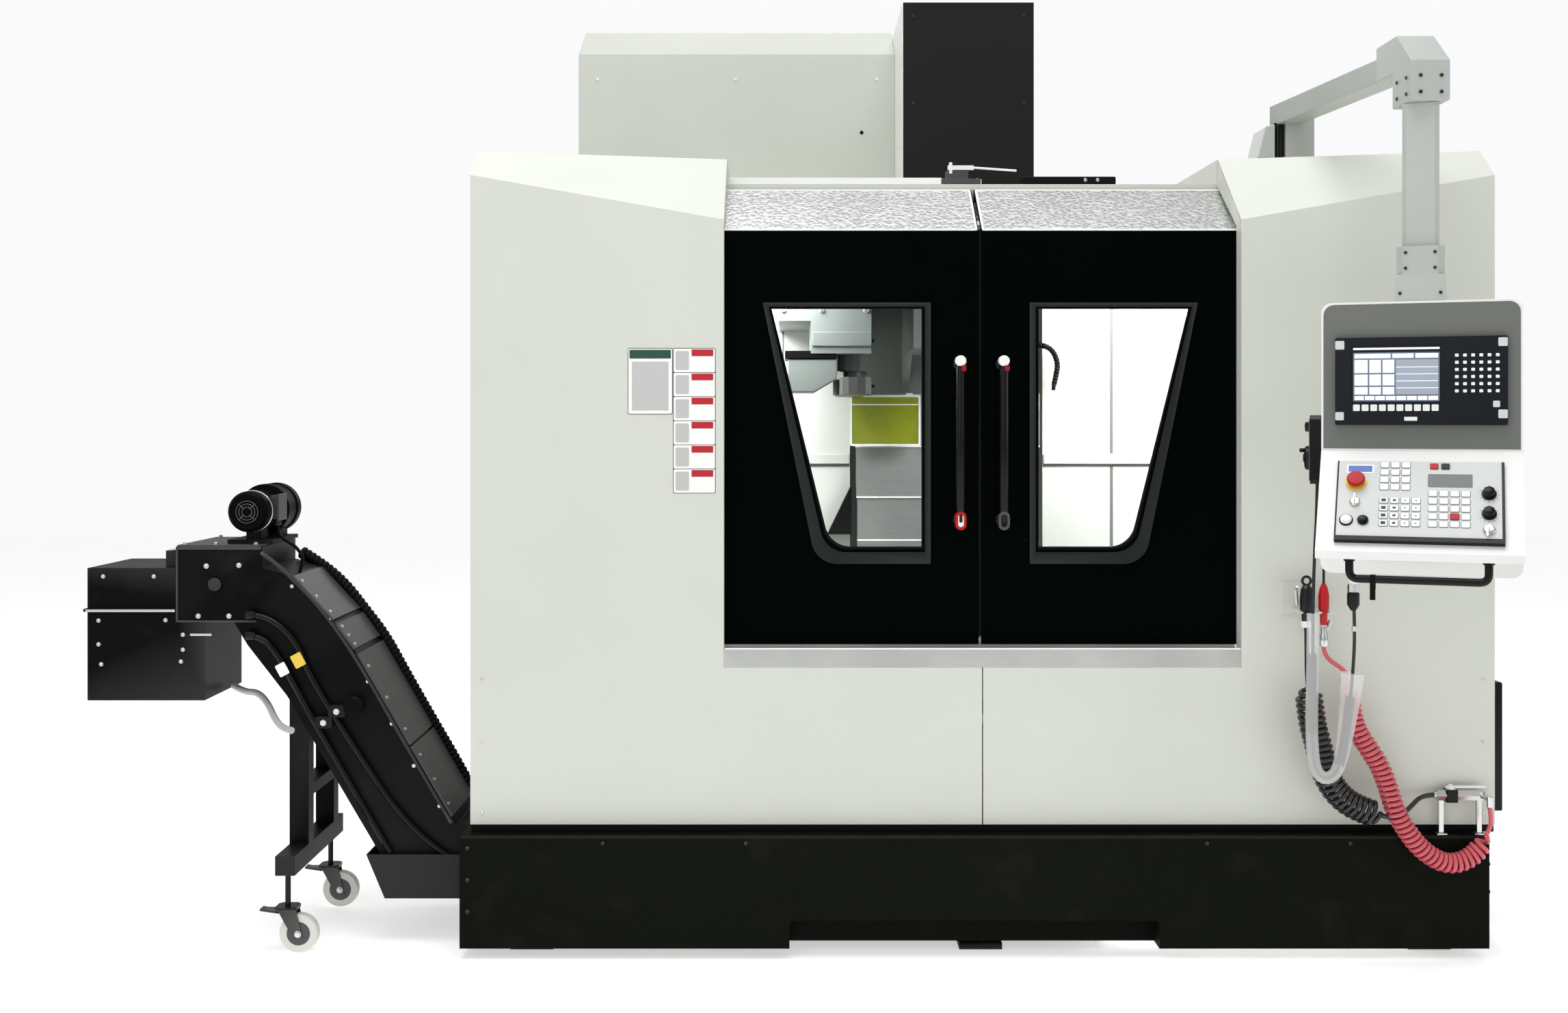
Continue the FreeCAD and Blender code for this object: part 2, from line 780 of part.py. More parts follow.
def roof_panel():
    """Roof sheet with a lower middle, a header that carries the doors and openings under the covers."""
    body = new_body("roof_panel")
    gauge = "panel_gauge"
    half = f"(opening_half + {gauge})"
    profile = [
        (minus(SIDE), "roof_high"),
        (minus(half), "roof_high"),
        (minus(half), "centre_roof_high"),
        (half, "centre_roof_high"),
        (half, "roof_high"),
        (SIDE, "roof_high"),
        (SIDE, ROOF_TOP),
        ("opening_half", ROOF_TOP),
        ("opening_half", CENTRE_TOP),
        ("-opening_half", CENTRE_TOP),
        ("-opening_half", ROOF_TOP),
        (minus(SIDE), ROOF_TOP),
    ]
    front = f"({STRIP_BACK} + 6)"
    pad(body, "XZ", front, f"{BACK} - {gauge}", profile)
    for side in (-1, 1):
        slope = [
            (half, front),
            (half, f"{FRONT} + {INNER_RUN} + {gauge}"),
            (SIDE, f"{FRONT} + {OUTER_RUN} + {gauge}"),
            (SIDE, front),
        ]
        pad(body, "XY", "roof_high", ROOF_TOP, flipped(slope, side))
    header = [
        (f"{SIDE} * -1 + {gauge}", "door_strip_top - 70"),
        (f"{SIDE} - {gauge}", "door_strip_top - 70"),
        (f"{SIDE} - {gauge}", "roof_high"),
        (half, "roof_high"),
        (half, "centre_roof_high"),
        (minus(half), "centre_roof_high"),
        (minus(half), "roof_high"),
        (f"{SIDE} * -1 + {gauge}", "roof_high"),
    ]
    pad(body, "XZ", front, f"{front} + {gauge}", header)
    hollow(
        body,
        ("-column_neck_half - 12", "column_neck_half + 12"),
        ("rail_high - 12", "column_deep + 12"),
        ("centre_roof_high", CENTRE_TOP),
    )
    disc = ("-magazine_x - magazine_radius - 8", "-magazine_x + magazine_radius + 8")
    deep = ("magazine_y - magazine_thick - 14", "magazine_y + magazine_thick + 14")
    hollow(body, disc, deep, ("centre_roof_high", ROOF_TOP))
    lock = (f"{front} + 6", f"{front} + 56")
    block(body, ("-86", "26"), lock, (CENTRE_TOP, f"{CENTRE_TOP} + 14"))
    block(body, ("-66", "-10"), (f"{front} + 14", f"{front} + 46"), (CENTRE_TOP, f"{CENTRE_TOP} + 34"))
    block(body, ("136", "385"), (lock[0], f"{front} + 36"), (CENTRE_TOP, f"{CENTRE_TOP} + 20"))
    return body


def door_sill():
    """Bright sill strip with a shelf and a low guide rib for the doors."""
    body = new_body("door_sill")
    shelf = ("sill_top - panel_gauge", "sill_top")
    rib = f"({DOOR} + panel_gauge + running_gap)"
    profile = [
        (FRONT, "sill_bottom + 0.3"),
        (f"{FRONT} + panel_gauge", "sill_bottom + 0.3"),
        (f"{FRONT} + panel_gauge", shelf[0]),
        (f"{FRONT} + sill_deep", shelf[0]),
        (f"{FRONT} + sill_deep", shelf[1]),
        (f"{rib} + 4", shelf[1]),
        (f"{rib} + 4", "sill_top + rib_high"),
        (rib, "sill_top + rib_high"),
        (rib, shelf[1]),
        (FRONT, shelf[1]),
    ]
    pad(body, "YZ", "-opening_half + 0.3", "opening_half - 0.3", profile)
    return body


def splash_lining():
    """White inner walls: two sides and a back with an opening for the head, folded from one sheet."""
    body = new_body("splash_lining")
    half = "(enclosure_width / 2 - 100)"
    front = f"({STRIP_BACK} + 12)"
    block(body, (minus(half), half), (front, "-17"), ("base_top + 30", "centre_roof_high - 10"))
    inside = (f"{half} * -1 + panel_gauge", f"{half} - panel_gauge")
    hollow(body, inside, (front, "-20"), ("base_top + 30", "centre_roof_high - 10"))
    hole = ("-column_half - 20", "column_half + 20")
    hollow(body, hole, ("-20", "-17"), ("base_top + 30", "centre_roof_high - 24"))
    round_bed = ("-bed_half - 10", "bed_half + 10")
    hollow(body, round_bed, ("-20", "-17"), ("base_top + 30", "bed_high + 10"))
    lug = ("-changer_left + 30", "-changer_right - 60")
    hollow(body, lug, ("-20", "-17"), ("1790", "1930"))
    return body


def magazine_cover():
    """Light cover over the tool magazine, with a sloped crown."""
    body = new_body("magazine_cover")
    gauge = "panel_gauge"
    outer = [
        ("mag_cover_front", CENTRE_TOP),
        ("mag_cover_back", CENTRE_TOP),
        ("mag_cover_back", "mag_cover_crown"),
        ("mag_cover_front + 190", "mag_cover_crown"),
        ("mag_cover_front", "mag_cover_top"),
    ]
    inner = [
        (f"mag_cover_front + {gauge}", CENTRE_TOP),
        (f"mag_cover_back - {gauge}", CENTRE_TOP),
        (f"mag_cover_back - {gauge}", f"mag_cover_crown - {gauge}"),
        (f"mag_cover_front + 190 + {gauge} / 2", f"mag_cover_crown - {gauge}"),
        (f"mag_cover_front + {gauge}", f"mag_cover_top - {gauge} / 2"),
    ]
    pad(body, "YZ", "-mag_cover_left", "-mag_cover_right", outer)
    cut(body, "YZ", f"-mag_cover_left + {gauge}", f"-mag_cover_right - {gauge}", inner)
    hollow(
        body,
        ("-mag_cover_left", "-opening_half + 0.3"),
        ("mag_cover_front", "mag_cover_back"),
        (CENTRE_TOP, ROOF_TOP),
    )
    return body


def column_cover():
    """Black cover over the column top."""
    body = new_body("column_cover")
    gauge = "panel_gauge"
    x = ("-head_cover_left", "head_cover_right")
    y = ("-head_cover_front", "head_cover_back")
    block(body, x, y, (CENTRE_TOP, "head_cover_top"))
    hollow(
        body,
        (f"{x[0]} + {gauge}", f"{x[1]} - {gauge}"),
        (f"{y[0]} + {gauge}", f"{y[1]} - {gauge}"),
        (CENTRE_TOP, f"head_cover_top - {gauge}"),
    )
    return body


def electrical_cabinet():
    """Open steel cabinet on the rear, with a mounting plate inside."""
    body = new_body("electrical_cabinet")
    x = ("-cabinet_left", "cabinet_right")
    y = (BACK, f"{BACK} + cabinet_deep")
    z = ("cabinet_low", "cabinet_high")
    block(body, x, y, z)
    gauge = "panel_gauge"
    hollow(
        body,
        (f"{x[0]} + {gauge}", f"{x[1]} - {gauge}"),
        (f"{BACK} + {gauge}", y[1]),
        (f"{z[0]} + {gauge}", f"{z[1]} - {gauge}"),
    )
    block(
        body,
        (f"{x[0]} + 60", f"{x[1]} - 60"),
        (f"{BACK} + {gauge}", f"{BACK} + 30"),
        (f"{z[0]} + 60", f"{z[1]} - 60"),
    )
    return body


def cabinet_door():
    """Cabinet door with folded edges and a turn latch, hinged on its left edge."""
    body = new_body("cabinet_door")
    y = (f"{BACK} + cabinet_deep + 0.5", f"{BACK} + cabinet_deep + 22")
    x = ("-cabinet_left", "cabinet_right")
    z = ("cabinet_low", "cabinet_high")
    block(body, x, y, z)
    gauge = "panel_gauge"
    hollow(
        body,
        (f"{x[0]} + {gauge}", f"{x[1]} - {gauge}"),
        (y[0], f"{y[1]} - {gauge}"),
        (f"{z[0]} + {gauge}", f"{z[1]} - {gauge}"),
    )
    latch = bevelled("cabinet_right - 70", "cabinet_right - 40", "1100", "1220", "6")
    pad(body, "XZ", y[1], f"{y[1]} + 14", latch)
    for knuckle in ("cabinet_low + 150", "cabinet_high - 250"):
        peg(body, "XY", knuckle, f"{knuckle} + 100", x[0], y[1], "14")
    return body


def coolant_tank():
    """Open coolant tray under the conveyor, with a slanted end outside the base."""
    body = new_body("coolant_tank")
    wall = "conveyor_wall"
    end = "(conveyor_end + 50)"
    outer = [
        ("-tank_end + 48", "tank_low"),
        (end, "tank_low"),
        (end, "tank_high"),
        ("-tank_end", "tank_high"),
    ]
    inner = [
        (f"-tank_end + 48 + {wall}", f"tank_low + {wall}"),
        (f"{end} - {wall}", f"tank_low + {wall}"),
        (f"{end} - {wall}", "tank_high"),
        (f"-tank_end + {wall} * 1.1", "tank_high"),
    ]
    pad(body, "XZ", TANK_FRONT, TANK_BACK, outer)
    cut(body, "XZ", f"{TANK_FRONT} + {wall}", f"{TANK_BACK} - {wall}", inner)
    return body


CASING_LOW = "(tank_low + conveyor_wall + running_gap)"
CASING_TOP = "300"


def casing_outline(inset):
    """Side view of the conveyor casing, moved inwards by inset: drive head, incline and flat run."""
    lean = math.tan(math.radians(15))
    part = f"({inset})"
    return [
        (f"-2090 + {part}", f"829 + {part}"),
        (f"-1940 + {part} * 0.55", f"829 + {part}"),
        (f"-1904 + {part} * 1.1", f"769 + {part} * 0.4"),
        (f"-1800 + {part} * 1.1", f"635 + {part} * 0.4"),
        (f"-1496 + {part} * 0.6", f"{CASING_LOW} + {part}"),
        (f"conveyor_end - {part}", f"{CASING_LOW} + {part}"),
        (f"conveyor_end - {part}", f"{CASING_TOP} - {part}"),
        (f"-1359 - {part} * 0.58", f"{CASING_TOP} - {part}"),
        (f"-1622 - {part} * 0.88", f"752 - {part} * 0.6"),
        (f"-1676 - {part} * 0.82", f"828 - {part} * 0.8"),
        (f"-1790 - {part} * 0.7", f"952 - {part}"),
        (f"-1865 - {part}", f"970 - {part} * {1 + lean:.3f}"),
        (f"-1865 - {part}", f"1026 - {part}"),
        (f"-2090 + {part}", f"1026 - {part}"),
    ]


def conveyor_casing():
    """Closed sheet casing of the conveyor with an inlet in its flat run and a mouth into the hood."""
    body = new_body("conveyor_casing")
    y = ("-conveyor_front", CONVEYOR_BACK)
    pad(body, "XZ", y[0], y[1], casing_outline("0"))
    cut(body, "XZ", f"{y[0]} + conveyor_wall", f"{y[1]} - conveyor_wall", casing_outline("conveyor_wall"))
    inner_y = (f"{y[0]} + conveyor_wall", f"{y[1]} - conveyor_wall")
    mouth = ("833", f"1026 - conveyor_wall")
    hollow(body, ("-2090", "-2090 + conveyor_wall"), inner_y, mouth)
    inlet_z = (f"{CASING_TOP} - conveyor_wall", CASING_TOP)
    hollow(body, ("-1150", "-450"), inner_y, inlet_z)
    bore(body, "XZ", y[0], y[1], "-drum_x", "drum_z", "shaft_size + 0.1")
    return body


def conveyor_belt():
    """Hinged steel belt with push cleats, closed round the drive sprocket and the tail."""
    body = new_body("conveyor_belt")
    y = ("-conveyor_front + 14", f"{CONVEYOR_BACK} - 14")
    pad(body, "XZ", y[0], y[1], casing_outline("24"))
    cut(body, "XZ", y[0], y[1], casing_outline("32"))
    return body


def discharge_hood():
    """Chute at the top of the conveyor, open below, that drops the chips into a bin."""
    body = new_body("discharge_hood")
    y = ("-conveyor_front", CONVEYOR_BACK)
    wall = "conveyor_wall"
    outer = [
        ("-hood_left", "hood_low"),
        ("-hood_right", "hood_low"),
        ("-hood_right", "828.7"),
        ("-2090.3", "828.7"),
        ("-2090.3", "hood_high"),
        ("-hood_left", "hood_high"),
    ]
    inner = [
        (f"-hood_left + {wall}", "hood_low"),
        (f"-hood_right - {wall}", "hood_low"),
        (f"-hood_right - {wall}", f"828.7 - {wall}"),
        ("-2090.3", f"828.7 - {wall}"),
        ("-2090.3", f"hood_high - {wall}"),
        (f"-hood_left + {wall}", f"hood_high - {wall}"),
    ]
    pad(body, "XZ", y[0], y[1], outer)
    cut(body, "XZ", f"{y[0]} + {wall}", f"{y[1]} - {wall}", inner)
    flange = ("-hood_left - 8", "-2090.3")
    block(body, flange, (f"{y[0]} - 8", y[0]), ("856", "864"))
    block(body, ("-hood_left - 8", "-hood_left"), y, ("856", "864"))
    return body


def conveyor_shaft():
    """Drive shaft with two belt sprockets."""
    body = new_body("conveyor_shaft")
    peg(body, "XZ", "-conveyor_front - 6", f"{CONVEYOR_BACK} + 30", "-drum_x", "drum_z", "shaft_size")
    for place in ("-conveyor_front + 60", f"{CONVEYOR_BACK} - 78"):
        prism(body, "XZ", place, f"{place} + 18", "-drum_x", "drum_z", "sprocket_size", 8)
    return body


def gear_motor():
    """Motor with its reducer, lying along Y on a foot plate over the drive head."""
    body = new_body("gear_motor")
    x, z = "-motor_x", "motor_z"
    front = "(-conveyor_front + 12)"
    prism(body, "XZ", front, f"{front} + 12", x, z, "motor_size + 6", 16)
    prism(body, "XZ", f"{front} + 12", f"{front} + 150", x, z, "motor_size", 12)
    prism(body, "XZ", f"{front} + 150", f"{front} + 270", x, z, "reducer_size", 16)
    foot = ("-motor_x - 62", "-motor_x + 42")
    block(body, foot, (f"{front} + 150", f"{front} + 262"), ("1026", "1036"))
    block(body, ("-motor_x - 44", "-motor_x + 36"), (f"{front} + 165", f"{front} + 250"), ("1026", z))
    block(body, ("-motor_x - 34", "-motor_x + 34"), (f"{front} + 60", f"{front} + 120"), (z, f"{z} + motor_size / 2 + 22"))
    return body


def conveyor_stand():
    """Two tube posts on a cross beam, with a brace, under the conveyor head."""
    body = new_body("conveyor_stand")
    half = "post_size / 2"
    x = (f"-post_x - {half}", f"-post_x + {half}")

    def under(place):
        return f"(635 + (({place}) + 1800) * (({CASING_LOW}) - 635) / 304)"

    posts = [
        (x[0], "beam_low + post_size"),
        (x[1], "beam_low + post_size"),
        (x[1], under(x[1])),
        (x[0], under(x[0])),
    ]
    block(body, x, ("-caster_front - 30", "-caster_rear + 40"), ("beam_low", "beam_low + post_size"))
    for start in ("-conveyor_front + 2", f"{CONVEYOR_BACK} - post_size - 2"):
        pad(body, "XZ", start, f"{start} + post_size", posts)
    block(body, x, ("-conveyor_front + 10", f"{CONVEYOR_BACK} - 10"), ("370", "400"))
    return body


def caster_fork(place, label):
    """Swivel fork with its threaded stem and a brake pedal."""
    body = new_body(label)
    x, y = "-post_x", f"(-{place})"
    crown = "(caster_wheel + 12)"
    cheek = "(caster_width / 2 + 1.5)"
    peg(body, "XY", crown, "beam_low - 0.3", x, y, "14")
    pad(body, "XY", crown, f"{crown} + 8", bevelled(f"{x} - 28", f"{x} + 28", f"{y} - 28", f"{y} + 28", "10"))
    for side in ("-1", "1"):
        near, far = sorted((f"{y} + {side} * {cheek}", f"{y} + {side} * ({cheek} + 3)"), key=number)
        leg = [
            (f"{x} - 24", f"{crown} + 3"),
            (f"{x} + 24", f"{crown} + 3"),
            (f"{x} + caster_trail + 12", "caster_wheel / 2 - 12"),
            (f"{x} + caster_trail - 12", "caster_wheel / 2 - 12"),
        ]
        pad(body, "XZ", near, far, leg)
    block(body, (f"{x} - 62", f"{x} - 20"), (f"{y} - 14", f"{y} + 14"), (f"{crown} - 4", crown))
    axle = (f"{y} - {cheek} - 3", f"{y} + {cheek} + 3")
    prism(body, "XZ", axle[0], axle[1], f"{x} + caster_trail", "caster_wheel / 2", "10", 8)
    return body


def caster_wheel(place, label):
    """Wheel with a hub and a bore for its axle."""
    body = new_body(label)
    x, y, z = "-post_x + caster_trail", f"(-{place})", "caster_wheel / 2"
    half = "caster_width / 2"
    prism(body, "XZ", f"{y} - {half}", f"{y} + {half}", x, z, "caster_wheel", 24)
    prism(body, "XZ", f"{y} - {half} - 1", f"{y} + {half} + 1", x, z, "30", 8)
    bore(body, "XZ", f"{y} - {half} - 1", f"{y} + {half} + 1", x, z, "10.1")
    return body


def window_outline(inset):
    """Window shape of the right door, moved inwards by inset: a slanted outer edge and a round low corner."""
    part = f"({inset})"
    return [
        (f"frame_inner + {part}", f"frame_low + {part} * 1.9"),
        (f"frame_outer_low - {part} * 1.6", f"frame_low + {part} * 1.9", "frame_corner"),
        (f"frame_outer_top - {part}", f"frame_high - {part} * 0.7"),
        (f"frame_inner + {part}", f"frame_high - {part} * 0.7"),
    ]


def door(side, label):
    """Folded door skin with a sloped top strip, edge flanges and a raised window frame."""
    body = new_body(label)
    gauge = "panel_gauge"
    back = f"({DOOR} + {gauge})"
    profile = [
        (DOOR, "door_bottom"),
        (back, "door_bottom"),
        (back, f"door_top - {gauge} * 0.35"),
        (f"{STRIP_BACK} - {gauge}", f"door_strip_top - {gauge} * 1.3"),
        (f"{STRIP_BACK} - {gauge}", "door_strip_top - door_flange"),
        (STRIP_BACK, "door_strip_top - door_flange"),
        (STRIP_BACK, "door_strip_top"),
        (DOOR, "door_top"),
    ]
    across = span(side, "door_gap / 2", "door_gap / 2 + door_width")
    pad(body, "YZ", across[0], across[1], profile)
    stile = [
        (back, "sill_top + rib_high + 4"),
        (f"{back} + 28", "sill_top + rib_high + 4"),
        (f"{back} + 28", "door_top + 10"),
        (back, "door_top - 8"),
    ]
    for edge in ("door_gap / 2", f"door_gap / 2 + door_width - {gauge}"):
        ends = span(side, edge, f"{edge} + {gauge}")
        pad(body, "YZ", ends[0], ends[1], stile)
    pad(body, "XZ", f"{DOOR} - frame_proud", DOOR, flipped(window_outline("0"), side))
    cut(body, "XZ", f"{DOOR} - frame_proud", back, flipped(window_outline("frame_band * 0.75"), side))
    return body


def window_glass(side, label):
    """Laminated pane, held behind the door skin."""
    body = new_body(label)
    back = f"({DOOR} + panel_gauge)"
    outline = window_outline("frame_band * 0.75 - glass_lap")
    pad(body, "XZ", back, f"{back} + glass_thick", flipped(outline, side))
    return body


def door_handle(side, label):
    """Upright tube handle on two end brackets."""
    body = new_body(label)
    middle = f"{side} * handle_offset"
    out = f"({DOOR} - handle_stand)"
    prism(body, "XY", "handle_low", "handle_high", middle, out, "handle_tube", 12)
    for end in ("handle_low", "handle_high"):
        bracket = bevelled(f"{middle} - 17", f"{middle} + 17", f"{end} - 26", f"{end} + 26", "9")
        pad(body, "XZ", f"{out} - 14", DOOR, bracket)
    return body


def saddle():
    """Cross saddle that rides on the bed and carries two rails along X."""
    body = new_body("saddle")
    low = f"({RAIL_TOP} + running_gap)"
    y = ("-spindle_reach - saddle_deep / 2", "-spindle_reach + saddle_deep / 2")
    block(body, ("-saddle_half", "saddle_half"), y, (low, f"{SADDLE_TOP} - rail_high"))
    for side in ("-1", "1"):
        middle = f"(-spindle_reach + {side} * 140)"
        rail = (f"{middle} - rail_wide / 2", f"{middle} + rail_wide / 2")
        block(body, ("-saddle_half", "saddle_half"), rail, (f"{SADDLE_TOP} - rail_high", SADDLE_TOP))
    apron = (f"{y[0]} - 24", y[0])
    block(body, ("-saddle_half", "saddle_half"), apron, (low, f"{SADDLE_TOP} - 44"))
    return body


def table():
    """Work table with T-slots along X and a coolant lip."""
    body = new_body("table")
    y = ("-spindle_reach - table_deep / 2", "-spindle_reach + table_deep / 2")
    x = ("-table_long / 2", "table_long / 2")
    block(body, x, y, (TABLE_LOW, TABLE_TOP))
    for slot in ("-1", "0", "1"):
        middle = f"(-spindle_reach + {slot} * slot_pitch)"
        shape = [
            (f"{middle} - slot_wide / 2", TABLE_TOP),
            (f"{middle} - slot_wide / 2", f"{TABLE_TOP} - slot_deep + 12"),
            (f"{middle} - slot_wide / 2 - 6", f"{TABLE_TOP} - slot_deep + 12"),
            (f"{middle} - slot_wide / 2 - 6", f"{TABLE_TOP} - slot_deep"),
            (f"{middle} + slot_wide / 2 + 6", f"{TABLE_TOP} - slot_deep"),
            (f"{middle} + slot_wide / 2 + 6", f"{TABLE_TOP} - slot_deep + 12"),
            (f"{middle} + slot_wide / 2", f"{TABLE_TOP} - slot_deep + 12"),
            (f"{middle} + slot_wide / 2", TABLE_TOP),
        ]
        cut(body, "YZ", x[0], x[1], shape)
    return body


def spindle_head():
    """Cast head with its carriage, the round spindle housing and a bore for the spindle."""
    body = new_body("spindle_head")
    back = "(-running_gap)"
    front = "(-carriage_thick)"
    carriage = box("-carriage_half", "carriage_half", "carriage_low", "carriage_high")
    pad(body, "XZ", front, back, carriage)
    nose = "(-spindle_reach - spindle_housing / 2 - 10)"
    side_view = [
        (front, "head_low"),
        (nose, "head_low"),
        (nose, "head_high - 150"),
        (f"{nose} + 110", "head_high"),
        (front, "head_high"),
    ]
    pad(body, "YZ", "-head_half", "head_half", side_view)
    rib = [
        (front, "carriage_low + 12"),
        (f"{front} - 130", "head_low"),
        (front, "head_low"),
    ]
    for side in ("-1", "1"):
        near, far = sorted((f"{side} * 118", f"{side} * 140"), key=number)
        pad(body, "YZ", near, far, rib)
    prism(body, "XY", "head_low - 45", "head_low", "0", "-spindle_reach", "spindle_housing", 20)
    size = "spindle_bore + 2 * spindle_clear"
    bore(body, "XY", "head_low - 45", "head_high - 100", "0", "-spindle_reach", size)
    return body


def spindle():
    """Spindle with a stepped nose and a tapered tool socket."""
    body = new_body("spindle")
    peg(body, "XY", "spindle_nose", "head_high - 110", "0", "0", "spindle_bore")
    mouth = "taper_mouth / 2"
    socket = [
        ("0", "spindle_nose"),
        (mouth, "spindle_nose"),
        (f"{mouth} - taper_long * 7 / 48", "spindle_nose + taper_long"),
        ("0", "spindle_nose + taper_long"),
    ]
    sketch = start_sketch(body, "XZ", "0", "0")
    draw(sketch, [socket])
    groove = body.newObject("PartDesign::Groove", "Groove")
    groove.Profile = sketch
    groove.ReferenceAxis = (sketch, ["V_Axis"])
    groove.Angle = 360.0
    body.setExpression("Placement.Base.y", bound("-spindle_reach"))
    return body


def way_cover(label, level, low, high):
    """One plate of the telescopic cover in front of the column, with folded sides.

    The upper plate hangs from the carriage by its top flange, and the lower one stands on the column.
    """
    body = new_body(label)
    step = f"{level} * (cover_plate_gap + panel_gauge)"
    front = f"(-cover_stand + {step})"
    half = f"(cover_half - {step})"
    back = "rail_high" if level == 2 else "-8"
    block(body, (minus(half), half), (front, f"{front} + panel_gauge"), (low, high))
    for side in (-1, 1):
        edge = span(side, f"{half} - panel_gauge", half)
        block(body, edge, (f"{front} + panel_gauge", back), (low, high))
    if level == 0:
        block(body, (minus(half), half), (f"{front} + panel_gauge", back), (f"{high} - panel_gauge", high))
    return body


def changer_housing():
    """Cam box of the tool changer, hung under the roof, with the beam and stub shaft of the magazine."""
    body = new_body("changer_housing")
    x = ("-changer_left", "-changer_right")
    y = ("-changer_front", "-20")
    block(body, x, y, ("changer_low + 90", "centre_roof_high"))
    block(body, ("-changer_left + 90", x[1]), (y[0], "-300"), ("changer_low", "changer_low + 90"))
    beam_z = ("1800", "1920")
    beam_x = ("-changer_left + 40", "-changer_right - 70")
    block(body, beam_x, ("-20", "magazine_y - magazine_thick - 20"), beam_z)
    plate = ("magazine_y - magazine_thick - 40", "magazine_y - magazine_thick - 20")
    block(body, ("-magazine_x - 90", beam_x[1]), plate, ("magazine_z - 150", "magazine_z + 30"))
    stub = (plate[0], "magazine_y + magazine_thick")
    peg(body, "XZ", stub[0], stub[1], "-magazine_x", "magazine_z", "60")
    prism(body, "XY", "arm_low + arm_thick + 24", "changer_low", "-arm_axis", "-spindle_reach", "84", 12)
    prism(body, "XY", "arm_low + arm_thick + 0.3", "changer_low", "-arm_axis", "-spindle_reach", "50", 12)
    return body


def tool_magazine():
    """Magazine disc with a ring of tool pots and a bore for its stub shaft."""
    body = new_body("tool_magazine")
    count = int(number("pot_count"))
    pot_ring = "(magazine_radius - pot_radius)"
    pad(body, "XZ", "-12", "12", ring("0", "0", f"2 * {pot_ring}", count))
    prism(body, "XZ", "-magazine_thick", "magazine_thick", "0", "0", "150", 12)
    bore(body, "XZ", "-magazine_thick", "magazine_thick", "0", "0", "60.1")
    pot = prism(body, "XZ", "-magazine_thick", "30", pot_ring, "0", "2 * pot_radius", 6)
    circle = body.newObject("PartDesign::PolarPattern", "Pots")
    circle.Originals = [pot]
    circle.Axis = (pot.Profile[0], ["N_Axis"])
    circle.Angle = 360.0
    circle.Occurrences = count
    body.Tip = circle
    body.setExpression("Placement.Base.x", bound("-magazine_x"))
    body.setExpression("Placement.Base.y", bound("magazine_y"))
    body.setExpression("Placement.Base.z", bound("magazine_z"))
    return body


def change_arm():
    """Double-ended change arm with open claws, parked along Y."""
    body = new_body("change_arm")
    x, y = "-arm_axis", "-spindle_reach"
    z = ("arm_low", "arm_low + arm_thick")
    half = "arm_wide / 2"
    block(body, (f"{x} - {half}", f"{x} + {half}"), (f"{y} - arm_axis", f"{y} + arm_axis"), z)
    peg(body, "XY", z[0], z[1], x, y, "110")
    for side in ("-1", "1"):
        claw_y = f"({y} + {side} * arm_axis)"
        prism(body, "XY", z[0], z[1], x, claw_y, "2 * arm_claw", 12)
        cut(body, "XY", z[0], z[1], ring(x, claw_y, "2 * arm_claw - 28", 12))
        way = span(-int(side), "0", "arm_claw + 2")
        mouth_x = (f"{x} + {way[0]}", f"{x} + {way[1]}")
        hollow(body, mouth_x, (f"{claw_y} - 24", f"{claw_y} + 24"), z)
    return body


def arm_pivot():
    """Round base on the roof with the pin that carries the support arm."""
    body = new_body("arm_pivot")
    x, y = "arm_pivot_x", "-arm_pivot_y"
    prism(body, "XY", ROOF_TOP, f"{ROOF_TOP} + 12", x, y, "190", 8, 0.5)
    prism(body, "XY", ROOF_TOP, "elbow_low - 8", x, y, "130", 16)
    peg(body, "XY", ROOF_TOP, "elbow_low + 60", x, y, "50")
    return body


def support_arm():
    """Hub, box beam and elbow block of the arm that carries the pendant."""
    body = new_body("support_arm")
    hub = ("elbow_low - 7.7", "support_low + support_size")
    half = "elbow_size / 2"
    x = (f"arm_pivot_x - {half}", f"arm_pivot_x + {half}")
    y = (f"-arm_pivot_y - {half}", f"-arm_pivot_y + {half}")
    pad(body, "XY", hub[0], hub[1], bevelled(x[0], x[1], y[0], y[1], "14"))
    wide = "support_size / 2"
    beam = [
        (f"pendant_x - {wide}", "-pendant_y"),
        (f"pendant_x + {wide}", "-pendant_y"),
        (f"arm_pivot_x + {wide}", "-arm_pivot_y"),
        (f"arm_pivot_x - {wide}", "-arm_pivot_y"),
    ]
    pad(body, "XY", "support_low", "support_low + support_size", beam)
    x = (f"pendant_x - {half}", f"pendant_x + {half}")
    elbow = [
        (x[0], "elbow_low"),
        (x[1], "elbow_low"),
        (x[1], "elbow_high - 18"),
        (f"{x[1]} - 18", "elbow_high"),
        (f"{x[0]} + 18", "elbow_high"),
        (x[0], "elbow_high - 18"),
    ]
    pad(body, "XZ", f"-pendant_y - {half}", f"-pendant_y + {half}", elbow)
    bore(body, "XY", hub[0], "elbow_low + 62", "arm_pivot_x", "-arm_pivot_y", "50.1")
    bore(body, "XY", "elbow_low", "elbow_low + 62", "pendant_x", "-pendant_y", "50.1")
    return body


def pendant_post():
    """Square tube under the elbow with a pin, a bolted collar and a flared foot."""
    body = place_on_pendant(new_body("pendant_post"))
    half = "post_tube / 2"
    top = "elbow_low - 0.3"
    peg(body, "XY", "elbow_low - 30", "elbow_low + 60", "0", "0", "50")
    pad(body, "XY", "collar_low", top, bevelled(minus(half), half, minus(half), half, "9"))
    size = f"({half} + 12)"
    pad(body, "XY", "collar_low", "collar_low + 66", bevelled(minus(size), size, minus(size), size, "14"))
    wide = f"({half} + 16)"
    foot = "pendant_top"
    flare = [(foot, box(minus(wide), wide, minus(wide), wide)), ("collar_low", box(minus(size), size, minus(size), size))]
    loft(body, "XY", flare)
    return body


